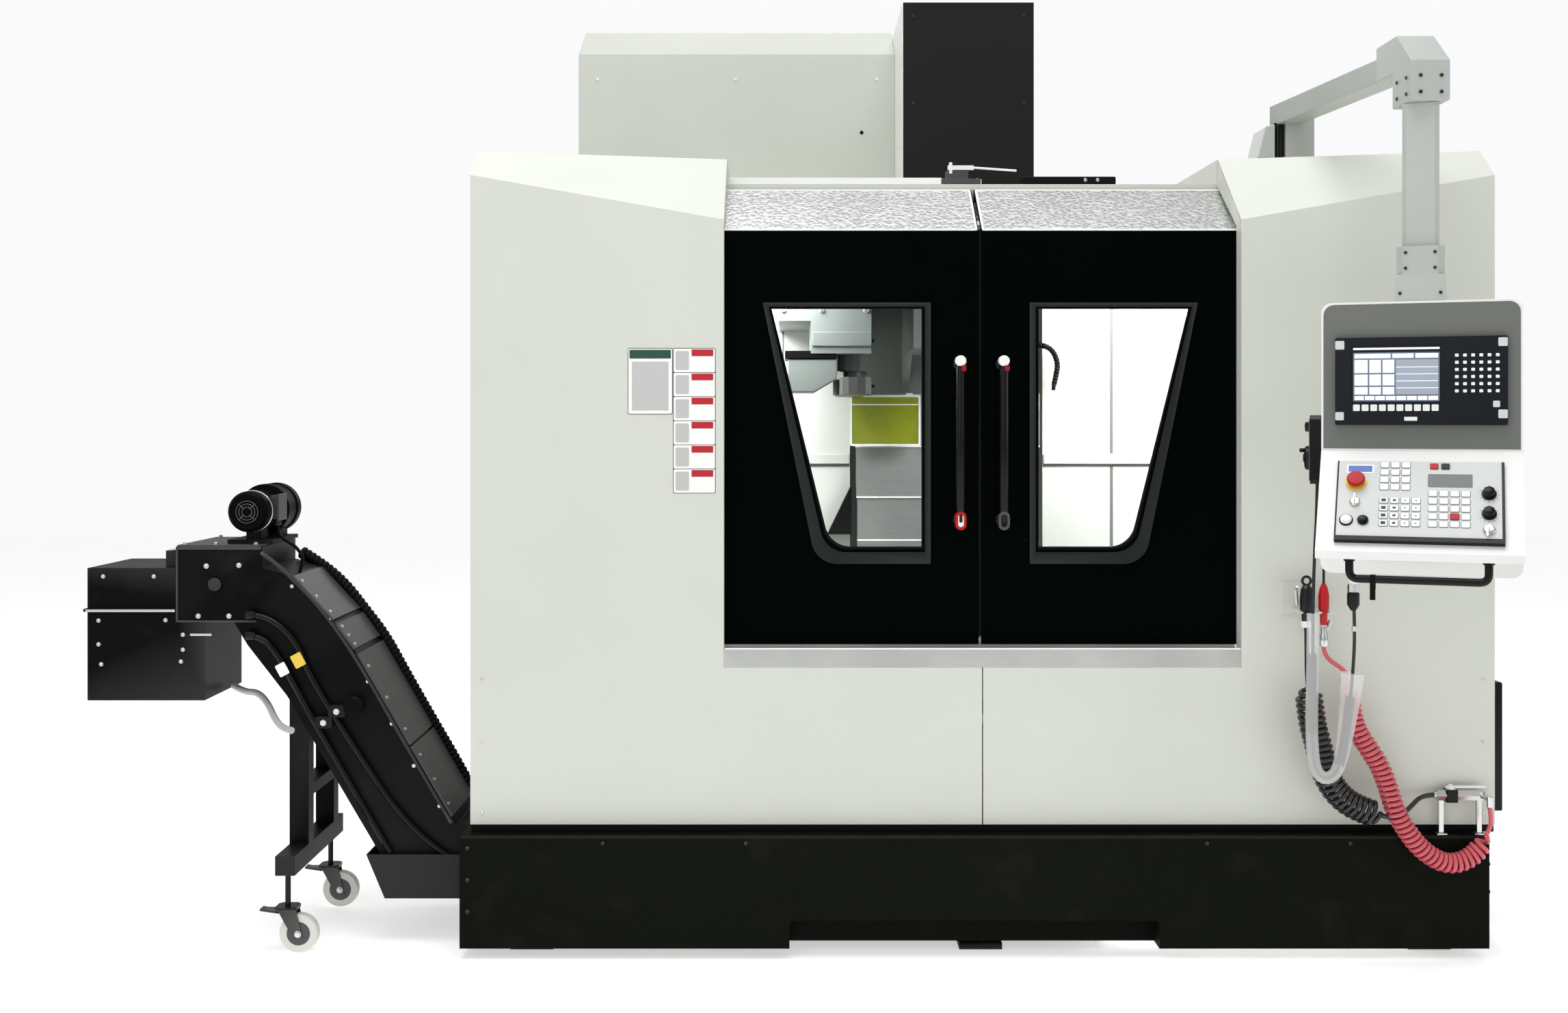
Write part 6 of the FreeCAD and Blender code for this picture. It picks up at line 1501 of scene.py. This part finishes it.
        lead = [
            (-1.856, self.near + 0.107, 1.078), (-1.856, self.near + 0.105, 1.050),
            (-1.830, self.near + 0.090, 1.035), (-1.800, self.near + 0.080, 1.020),
            (-1.776, self.near + 0.078, 0.985), (-1.792, self.near + 0.078, 0.948),
        ]
        Form().tube(smooth(lead), 0.0045, 10).make("motor_lead_pipe", "enclosure", Coat.RUBBER)
        drain = [
            (-2.000, -0.700, 0.636), (-1.960, -0.730, 0.622), (-1.905, -0.790, 0.632), (-1.862, -0.840, 0.610),
            (-1.832, -0.880, 0.575), (-1.796, -0.930, 0.560), (-1.765, -0.958, 0.560),
        ]
        pipe = Form().ribbed(smooth(drain), 0.0090, 0.0012, 0.006, 14)
        pipe.make("drain_pipe", "enclosure", Coat.DRAIN)
        side = [
            (-1.845, 0.990), (-1.786, 0.954), (-1.722, 0.898), (-1.670, 0.830), (-1.612, 0.756), (-1.556, 0.652),
            (-1.477, 0.514), (-1.424, 0.424), (-1.372, 0.330),
        ]
        cover = Form().ribbed(smooth([(x, -0.596, z) for x, z in side]), 0.0180, 0.0035, 0.014, 16)
        cover.make("far_cable_pipe", "enclosure", Coat.RUBBER)

    def _caster(self, name: str, y: float) -> None:
        """Nylon wheel with a dark hub, and the pedal of its brake."""
        x, z = self.axle
        tread = Form().lathe(
            (x, y - 0.013, z), REAR,
            [(0.030, 0.0), (0.0470, 0.0), (0.049, 0.003), (0.049, 0.023), (0.0470, 0.026), (0.030, 0.026)], 48,
        )
        piece = tread.make(f"{name}_wheel_tread", f"{name}_wheel", Coat.TREAD)
        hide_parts(f"{name}_caster_wheel")
        hub = Form().lathe(
            (x, y - 0.0142, z), REAR, [(0.012, 0), (0.030, 0.0012), (0.030, 0.0272), (0.012, 0.0284)], 32,
        )
        hub.make(f"{name}_wheel_hub", f"{name}_wheel", Coat.GREY_PLASTIC)
        pedal = Form().slab(
            [(-1.838, 0.112), (-1.790, 0.104), (-1.790, 0.100), (-1.838, 0.107)], Axis.Y, y - 0.016, y + 0.016,
        )
        pedal.make(f"{name}_brake_pedal", f"{name}_fork", Coat.OXIDE, 0.001)
        nuts = Form().nut((x, y - 0.0176, z), FRONT, 0.014)
        nuts.nut((x, y + 0.0176, z), REAR, 0.014)
        nuts.make(f"{name}_axle_nuts", f"{name}_fork", Coat.ZINC)


@dataclass
class Pendant:
    """Operator pendant: display, console with its keys, handle, elbow and hand unit."""

    spot: Spot = (0.985, -1.340, 0.0)
    yaw: float = -22.0
    slope: float = 51.63
    stop: Spot = (-0.136, 0.045)
    knobs: tuple[Spot, Spot] = ((0.146, 0.016), (0.146, -0.038))
    key_pitch: Spot = (0.023, 0.021)

    def __post_init__(self) -> None:
        """Works out the pendant's and the console's own frames."""
        turn = Matrix.Rotation(math.radians(self.yaw), 4, "Z")
        self.at = Matrix.Translation(self.spot) @ turn
        tilt = Matrix.Rotation(math.radians(self.slope), 4, "X")
        self.console = self.at @ Matrix.Translation((0, -0.1475, 1.1735)) @ tilt

    def build(self) -> None:
        """Makes the pieces of the pendant."""
        self._display()
        self._keys()
        self._controls()
        self._handle()
        self._elbow()
        self._hand_unit()

    def _display(self) -> None:
        """Grey face, bezel, screen with plain fields and its keys."""
        form = Form(self.at)
        face = [(-0.213, 1.290), (0.213, 1.290), (0.213, 1.626), (-0.213, 1.626)]
        form.slab(soften(face, [0.0, 0.0, 0.024, 0.024]), Axis.Y, -0.0612, -0.0598)
        form.make("pendant_grey_face", "pendant", Coat.SHADE)
        front = -0.0740
        bezel = Form(self.at)
        outer, inner = rounded(-0.186, 0.186, 1.345, 1.548, 0.004), rounded(-0.150, 0.046, 1.396, 1.530, 0.004)
        bezel.band(outer, inner, Axis.Y, front, -0.0602)
        bezel.slab(rounded(-0.151, 0.047, 1.395, 1.531, 0.004), Axis.Y, -0.0700, -0.0602)
        piece = bezel.make("display_bezel", "pendant", Coat.BEZEL, 0.0008)
        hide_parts("display_unit")
        flat_piece(
            "display_screen", "pendant", Coat.SCREEN, (-0.146, 0.042, 1.400, 1.513, 0.002), Axis.Y,
            (-0.0708, -0.0699), at=self.at,
        )
        self._screen_fields()
        white = Form(self.at)
        for k in range(10):
            x = -0.146 + k * 0.0190
            white.slab(rounded(x, x + 0.0150, 1.3775, 1.3925, 0.002, 3), Axis.Y, front - 0.0010, front + 0.001)
        for column in range(6):
            for row in range(6):
                x, z = 0.0747 + column * 0.0172, 1.508 - row * 0.0163
                white.slab(rounded(x, x + 0.008, z - 0.007, z, 0.0015, 3), Axis.Y, front - 0.0015, front + 0.001)
        white.block((-0.034, -0.006), (front - 0.0008, front + 0.001), (1.355, 1.364))
        white.make("display_keys", "pendant", Coat.KEY, 0.0004)
        squares = Form(self.at)
        for x, z, size in (
            (-0.1855, 1.521, 0.020), (-0.1855, 1.356, 0.019), (0.1660, 1.524, 0.0195), (0.1660, 1.361, 0.0195),
            (0.155, 1.386, 0.0145),
        ):
            squares.slab(rounded(x, x + size, z, z + size, 0.002, 3), Axis.Y, front - 0.0008, front + 0.001)
        squares.make("bezel_corner_squares", "pendant", Coat.PLATE)

    def _screen_fields(self) -> None:
        """Plain light fields and a grey panel with dividing lines on the screen."""
        level = (-0.0713, -0.0707)
        panel = Form(self.at).block((-0.052, 0.039), level, (1.416, 1.496))
        panel.make("display_panel", "pendant", Coat.SCREEN_GREY)
        fields = Form(self.at)
        fields.block((-0.146, 0.042), level, (1.5195, 1.5240))
        for left, right in ((-0.143, -0.064), (-0.060, -0.014), (-0.010, 0.039)):
            fields.block((left, right), level, (1.500, 1.510))
        for low, high in ((1.466, 1.496), (1.437, 1.462), (1.416, 1.433)):
            for left, right in ((-0.143, -0.114), (-0.110, -0.085), (-0.081, -0.056)):
                fields.block((left, right), level, (low, high))
        for k in range(8):
            x = -0.143 + k * 0.0230
            fields.block((x, x + 0.0205), level, (1.403, 1.412))
        for z in (1.478, 1.462, 1.446, 1.430):
            fields.block((-0.052, 0.039), (-0.0716, -0.0710), (z, z + 0.0014))
        fields.make("display_fields", "pendant", Coat.FIELD)

    def _keys(self) -> None:
        """Light key plate with its fields of keys and dark borders."""
        at = self.console
        face = CONSOLE_FACE
        plate = Form(at).band(*self._holed(-0.177, 0.177, -0.106, 0.106), Axis.Z, 0.0, face)
        piece = plate.make("key_plate", "pendant", Coat.PLATE, 0.001)
        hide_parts("operator_panel")
        border = Form(at)
        border.block((-0.178, 0.178), (-0.1185, -0.1055), (0.0, face + 0.004))
        border.block((-0.1785, -0.1750), (-0.106, 0.106), (0.0, face + 0.0012))
        border.block((0.1725, 0.1785), (-0.106, 0.106), (0.0, face + 0.0012))
        border.make("key_plate_borders", "pendant", Coat.BLACK_PLASTIC, 0.0008)
        caps, outlines = Form(at), Form(at)
        for rows, columns, left, low in ((4, 3, -0.084, 0.024), (4, 4, -0.084, -0.076), (5, 4, 0.020, -0.076)):
            for row in range(rows):
                for column in range(columns):
                    x, y = left + self.key_pitch[0] * column, low + self.key_pitch[1] * row
                    outlines.slab(
                        rounded(x - 0.0012, x + 0.0192, y - 0.0012, y + 0.0162, 0.003, 3), Axis.Z, face - 0.001,
                        face + 0.0006,
                    )
                    caps.slab(rounded(x, x + 0.018, y, y + 0.015, 0.002, 3), Axis.Z, face - 0.001, face + 0.0026)
        caps.make("key_caps", "pendant", Coat.KEY, 0.0006)
        outlines.make("key_outlines", "pendant", Coat.KEY_EDGE)
        flat_piece(
            "key_band", "pendant", Coat.KEY_EDGE, (0.018, 0.112, 0.034, 0.070, 0.003), Axis.Z,
            (face - 0.001, face + 0.0010), at=at,
        )
        marks = Form(at)
        for row in range(4):
            for column, (wide, high) in enumerate(((0.010, 0.008), (0.007, 0.005), (0.003, 0.003), (0.003, 0.003))):
                x, y = -0.075 + self.key_pitch[0] * column, -0.0685 + self.key_pitch[1] * row
                marks.slab(
                    rounded(x - wide / 2, x + wide / 2, y - high / 2, y + high / 2, 0.001, 2), Axis.Z,
                    face + 0.0020, face + 0.0029,
                )
        marks.make("key_marks", "pendant", Coat.KEY_MARK)
        red = Form(at).slab(rounded(0.022, 0.040, 0.084, 0.099, 0.002, 3), Axis.Z, face - 0.001, face + 0.0035)
        red.slab(rounded(0.0655, 0.0845, -0.0558, -0.0392, 0.002, 3), Axis.Z, face - 0.001, face + 0.0035)
        red.make("key_caps_red", "pendant", Coat.RED_PLASTIC, 0.0006)
        black = Form(at).slab(rounded(0.046, 0.064, 0.084, 0.099, 0.002, 3), Axis.Z, face - 0.001, face + 0.0035)
        black.make("key_caps_black", "pendant", Coat.BLACK_PLASTIC, 0.0006)
        flat_piece(
            "status_window_rim", "pendant", Coat.TRIM, (-0.158, -0.098, 0.071, 0.095, 0.002), Axis.Z,
            (face - 0.001, face + 0.0010), at=at,
        )
        flat_piece(
            "status_window", "pendant", Coat.BLUE, (-0.154, -0.102, 0.0745, 0.0915, 0.001), Axis.Z,
            (face, face + 0.0015), at=at,
        )

    def _holed(self, left: float, right: float, low: float, high: float) -> tuple[list[Spot], list[Spot]]:
        """The outline of the key plate and of the hole for the stop button, with as many points.

        Args:
            left, right: The plate's sides.
            low, high: Its lower and upper edge.

        Returns:
            The outer and the inner points.
        """
        x, y = self.stop
        ways = [math.atan2(v - y, u - x) for u in (left, right) for v in (low, high)]
        ways = sorted(ways + [math.radians(-180 + 360 * k / STOP_POINTS) + 0.011 for k in range(STOP_POINTS)])
        outer = []
        for way in ways:
            across, up = math.cos(way), math.sin(way)
            side = ((right if across > 0 else left) - x) / across
            top = ((high if up > 0 else low) - y) / up
            outer.append((x + across * min(side, top), y + up * min(side, top)))
        return outer, ring(self.stop, STOP_BORE, ways)

    def _controls(self) -> None:
        """Emergency stop, buttons, override knobs and a key switch."""
        at = self.console
        face = CONSOLE_FACE
        angles = [2 * math.pi * k / STOP_POINTS for k in range(STOP_POINTS)]
        outer, inner = ring(self.stop, 0.0240, angles), ring(self.stop, STOP_BORE, angles)
        collar = Form(at).band(outer, inner, Axis.Z, face, face + 0.0032)
        collar.make("stop_ring", "pendant", Coat.YELLOW, 0.0009)
        cap = Form(at).lathe(
            (*self.stop, 0.0105), UP,
            [
                (0.0086, -0.0045), (0.0088, 0.0058), (0.0185, 0.0062), (0.020, 0.009), (0.020, 0.014),
                (0.0175, 0.0178), (0.010, 0.0186),
            ], 36,
        )
        piece = cap.make("stop_cap", "estop", Coat.RED_PLASTIC)
        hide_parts("estop_button")
        knobs = Form(at)
        for x, y in self.knobs:
            knobs.lathe(
                (x, y, face), UP,
                [(0.0158, 0), (0.0158, 0.004), (0.0125, 0.0048), (0.0115, 0.0155), (0.0095, 0.0168)], 28,
            )
            knobs.block((x - 0.0012, x + 0.0012), (y + 0.002, y + 0.0115), (face + 0.0160, face + 0.0175))
        knobs.lathe((-0.154, -0.062, face), UP, [(0.0152, 0), (0.0152, 0.0020), (0.0125, 0.0028)], 28)
        knobs.make("override_knobs", "pendant", Coat.BLACK_PLASTIC)
        scales = Form(at)
        for x, y in self.knobs:
            for k in range(11):
                way = math.radians(-60 + k * 30)
                out = Vector((math.sin(way), math.cos(way)))
                scales.lathe((x + out.x * 0.0205, y + out.y * 0.0205, face), UP, [(0.0011, 0), (0.0011, 0.0005)], 8)
        scales.make("override_scale_dots", "pendant", Coat.KEY_EDGE)
        for name, x, finish in (
            ("white_push_button", -0.154, Coat.WHITE_PLASTIC), ("black_push_button", -0.118, Coat.BLACK_PLASTIC),
        ):
            steps = [(0.0122, 0), (0.0122, 0.005), (0.0095, 0.0056), (0.0095, 0.009), (0.008, 0.0098)]
            Form(at).lathe((x, -0.062, face), UP, steps, 28).make(name, "pendant", finish)
        key = Form(at).lathe(
            (-0.137, -0.012, face), UP, [(0.0115, 0), (0.0115, 0.005), (0.009, 0.0065), (0.009, 0.008)], 28,
        )
        key.block((-0.1384, -0.1356), (-0.020, -0.004), (face + 0.007, face + 0.026))
        key.lathe(
            (0.146, -0.082, face), UP,
            [(0.0135, 0), (0.0135, 0.003), (0.0105, 0.005), (0.0105, 0.009), (0.006, 0.010)], 28,
        )
        key.block((0.1448, 0.1472), (-0.087, -0.077), (face + 0.009, face + 0.021))
        key.slab(rounded(0.1400, 0.1440, -0.104, -0.084, 0.0018, 3), Axis.Z, face + 0.010, face + 0.0125)
        key.make("key_switch", "pendant", Coat.VALVE, 0.0004)

    def _handle(self) -> None:
        """Bent tube handle, and the cable's gland and strap under the console."""
        y = -0.223
        line = bent([(-0.145, y, 1.0452), (-0.145, y, 1.001), (0.145, y, 1.001), (0.145, y, 1.0452)], 0.020, 8)
        bar = Form(self.at).tube(line, 0.0090, 20)
        for x in (-0.145, 0.145):
            bar.lathe((x, y, 1.0452), DOWN, [(0.0125, 0), (0.0125, 0.004), (0.0095, 0.006)], 24)
        piece = bar.make("console_handle_bar", "pendant", Coat.BLACK_PLASTIC)
        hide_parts("pendant_handle")
        collar = Form(self.at).lathe(
            (-0.150, 0, 0.9685), DOWN, [(0.0125, 0), (0.0140, 0.002), (0.0140, 0.019), (0.0120, 0.021)], 24,
        )
        collar.make("cable_gland_ring", "pendant", Coat.VALVE)
        gland = Form(self.at).lathe(
            (-0.150, 0, 0.9480), DOWN,
            [(0.0120, 0), (0.0145, 0.002), (0.0145, 0.029), (0.0100, 0.037), (0.0060, 0.043)], 24,
        )
        gland.make("cable_gland_cover", "pendant", Coat.BLACK_PLASTIC)
        strap = Form(self.at).block((-0.101, -0.089), (-0.2325, -0.2290), (0.955, 1.010))
        strap.block((-0.101, -0.089), (-0.2325, -0.2140), (1.0075, 1.0110))
        strap.block((-0.101, -0.089), (-0.2175, -0.2140), (0.978, 1.010))
        strap.make("cable_strap", "pendant", Coat.RUBBER, 0.001)

    def _elbow(self) -> None:
        """Hub, beam and sloped elbow of the arm, with their screws and the collar's."""
        x, y = self.spot[0], self.spot[1]
        half, front, low = 0.045, y - 0.062, 2.0925
        side = [
            (front, low), (front, 2.186), (front + 0.098, 2.262), (front + 0.234, 2.262), (front + 0.234, 2.177),
            (front + 0.124, 2.177), (front + 0.124, low),
        ]
        arm = Form().slab(side, Axis.X, x - half, x + half)
        hub = Vector((0.897, -0.520, 0.0))
        run = Vector((x, front + 0.200, 0.0)) - hub
        turn = Matrix.Translation(hub) @ Matrix.Rotation(math.atan2(run.x, -run.y), 4, "Z")
        arm.add(Form(turn).block((-0.034, 0.034), (-run.length, 0.0), (2.180, 2.238)))
        arm.block((hub.x - 0.004, hub.x + 0.076), (hub.y - 0.0625, hub.y + 0.0625), (2.0850, 2.2420))
        wedge = [
            (hub.x - 0.0820, 2.0850), (hub.x - 0.034, 2.0850), (hub.x - 0.034, 2.1790), (hub.x - 0.060, 2.1730),
        ]
        arm.slab(wedge, Axis.Y, hub.y - 0.0625, hub.y + 0.0625)
        arm.block((hub.x - 0.036, hub.x), (hub.y - 0.020, hub.y + 0.0600), (2.0850, 2.1780))
        piece = arm.make("arm_beam", "support_arm", Coat.POST, 0.0030)
        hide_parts("support_arm")
        steps = [(0.0145, 0), (0.0145, 0.098), (0.0120, 0.100)]
        shaft = Form().lathe((hub.x - 0.019, hub.y - 0.042, 2.0850), UP, steps, 28)
        shaft.make("arm_pivot_shaft", "support_arm", Coat.BLACK_PLASTIC)
        levels = (2.112, 2.150)
        screws = Form().screws((x - 0.024, x + 0.024), (front,), levels, FRONT, 0.009)
        screws.screws((x - half,), (front + 0.030, front + 0.090), levels, LEFT, 0.009)
        screws.make("elbow_screws", "support_arm", Coat.OXIDE)
        collar = Form(self.at).screws((-0.032, 0.032), (-0.052,), (1.708, 1.744), FRONT, 0.008)
        collar.screws((-0.044, 0.044), (-0.0555,), (1.650,), FRONT, 0.008)
        collar.make("collar_screws", "pendant", Coat.OXIDE)

    def _hand_unit(self) -> None:
        """Hand wheel with its crank, dial ring and the unit's face plate."""
        x = -0.218 - 0.0283
        flat_piece(
            "hand_unit_face", "pendant", Coat.SHADE, (-0.040, 0.036, 1.212, 1.360, 0.008), Axis.X,
            (x - 0.0012, x + 0.001), at=self.at,
        )
        wheel = Form(self.at).lathe(
            (x, 0, 1.266), LEFT,
            [
                (0.029, 0.0014), (0.029, 0.010), (0.026, 0.0135), (0.020, 0.0120), (0.012, 0.0120),
                (0.010, 0.0175),
            ], 40,
        )
        wheel.lathe(
            (x - 0.012, 0, 1.284), LEFT, [(0.004, 0), (0.005, 0.002), (0.0052, 0.012), (0.0035, 0.0145)], 16,
        )
        piece = wheel.make("hand_wheel_disc", "hand_wheel", Coat.BLACK_PLASTIC)
        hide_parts("handwheel")
        dots = Form(self.at)
        for k in range(20):
            way = 2 * math.pi * k / 20
            dots.lathe(
                (x - 0.0012, math.sin(way) * 0.0335, 1.266 + math.cos(way) * 0.0335), LEFT,
                [(0.0009, 0), (0.0009, 0.0005)], 8,
            )
        dots.make("hand_wheel_scale", "pendant", Coat.TRIM)


@dataclass
class Guns:
    """Blow gun, coolant gun and the valve block of their hoses."""

    shelf: float = 0.878

    def build(self) -> None:
        """Makes the guns and the valve."""
        self._black()
        self._red()
        self._valve()

    def _black(self) -> None:
        """Black blow gun with its ring, lever and white collar."""
        x, y, s = BLACK_GUN_X, GUN_PLANE, self.shelf
        gun = Form().lathe(
            (x, y, 0), UP,
            [
                (0.0105, s - 0.040), (0.012, s - 0.034), (0.0125, s + 0.0003), (0.0165, s + 0.004),
                (0.017, s + 0.030), (0.014, s + 0.058), (0.007, s + 0.066),
            ],
            24,
        )
        loop = ring((x, s + 0.076), 0.0105, (math.radians(-90 + 15 * k) for k in range(25)))
        gun.tube([(u, y, v) for u, v in loop], 0.0035, 10)
        piece = gun.make("blow_gun_body", "enclosure", Coat.GUN_BLACK)
        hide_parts("air_gun")
        lever = Form().tube(
            bent([(x - 0.012, y, s + 0.060), (x - 0.027, y, s + 0.060), (x - 0.024, y, s + 0.016)], 0.012), 0.004,
            10,
        )
        lever.make("blow_gun_lever", "enclosure", Coat.VALVE)
        collar = Form().lathe(
            (x, y, s - 0.040), UP, [(0.0128, 0), (0.0135, 0.003), (0.0135, 0.014), (0.012, 0.016)], 24,
        )
        collar.make("blow_gun_collar", "enclosure", Coat.WHITE_PLASTIC)

    def _red(self) -> None:
        """Red coolant gun with a thin black nozzle and a bright valve body."""
        x, y, s = RED_GUN_X, GUN_PLANE, self.shelf
        gun = Form().lathe(
            (x, y, 0), UP,
            [
                (0.0075, s - 0.036), (0.009, s - 0.030), (0.009, s + 0.0005), (0.013, s + 0.004),
                (0.0135, s + 0.040), (0.010, s + 0.058), (0.0045, s + 0.070),
            ],
            24,
        )
        piece = gun.make("coolant_gun_body", "enclosure", Coat.GUN_RED)
        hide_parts("coolant_gun")
        nozzle = Form().lathe((x, y, s + 0.068), UP, [(0.0032, 0), (0.0032, 0.088), (0.0022, 0.092)], 16)
        nozzle.make("coolant_gun_nozzle", "enclosure", Coat.GUN_BLACK)
        body = Form().lathe(
            (x, y, 0), UP,
            [(0.009, s - 0.088), (0.011, s - 0.084), (0.011, s - 0.060), (0.0085, s - 0.056), (0.0085, s - 0.034)],
            24,
        )
        body.tube(
            bent([(x, y, s - 0.050), (x + 0.010, y - 0.002, s - 0.042), (x + 0.016, y - 0.002, s - 0.022)], 0.008),
            0.0045, 10,
        )
        body.make("coolant_gun_valve", "enclosure", Coat.VALVE)

    def _valve(self) -> None:
        """Hexagonal manifold with posts, fittings, a stop valve and its lever."""
        y, z = VALVE_Y, VALVE_Z
        block = Form().lathe(
            (1.142, y, z), RIGHT, [(0.0125, 0), (0.0150, 0.003), (0.0150, 0.119), (0.0125, 0.122)], 6,
        )
        block.lathe((1.136, y, z), RIGHT, [(0.0085, 0), (0.0085, 0.008)], 16)
        for x in (1.154, 1.250):
            block.block((x - 0.006, x + 0.006), (y - 0.006, y + 0.006), (0.310, z))
            block.slab(rounded(x - 0.014, x + 0.014, y - 0.014, y + 0.014, 0.003), Axis.Z, 0.310, 0.315)
        block.rod((1.256, -1.075, z), (1.256, y, z), 0.008, 20)
        block.rod((1.256, -1.075, z - 0.020), (1.256, -1.075, z + 0.007), 0.008, 20)
        piece = block.make("valve_manifold", "enclosure", Coat.VALVE, 0.0006)
        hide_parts("valve_block")
        flat_piece(
            "stop_valve_body", "enclosure", Coat.BLACK_PLASTIC, (1.164, 1.194, y - 0.017, y + 0.017, 0.006),
            Axis.Z, (z - 0.017, z + 0.0138), 0.001,
        )
        lever = Form().lathe(
            (1.179, y, z + 0.0143), UP,
            [(0.012, 0), (0.012, 0.007), (0.0095, 0.0078), (0.005, 0.008), (0.005, 0.012)], 28,
        )
        lever.slab(rounded(1.179, 1.268, y - 0.007, y + 0.007, 0.0065), Axis.Z, z + 0.0183, z + 0.0223)
        piece = lever.make("stop_valve_lever", "valve_lever", Coat.WHITE_PLASTIC, 0.0004)
        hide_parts("valve_lever")


def main() -> None:
    """Builds the camera, the cords and then every sub-assembly in order."""
    steps = [
        Studio(), Hoses(), Frame(), Enclosure(), Door(-1), Door(1), WorkArea(), TopCovers(), Base(), Conveyor(),
        Pendant(), Guns(),
    ]
    for step in steps:
        before = set(bpy.data.objects)
        step.build()
        for made in sorted(o.name for o in set(bpy.data.objects) - before):
            LOG.info("piece: %s", made)


if __name__ == "__main__":
    main()
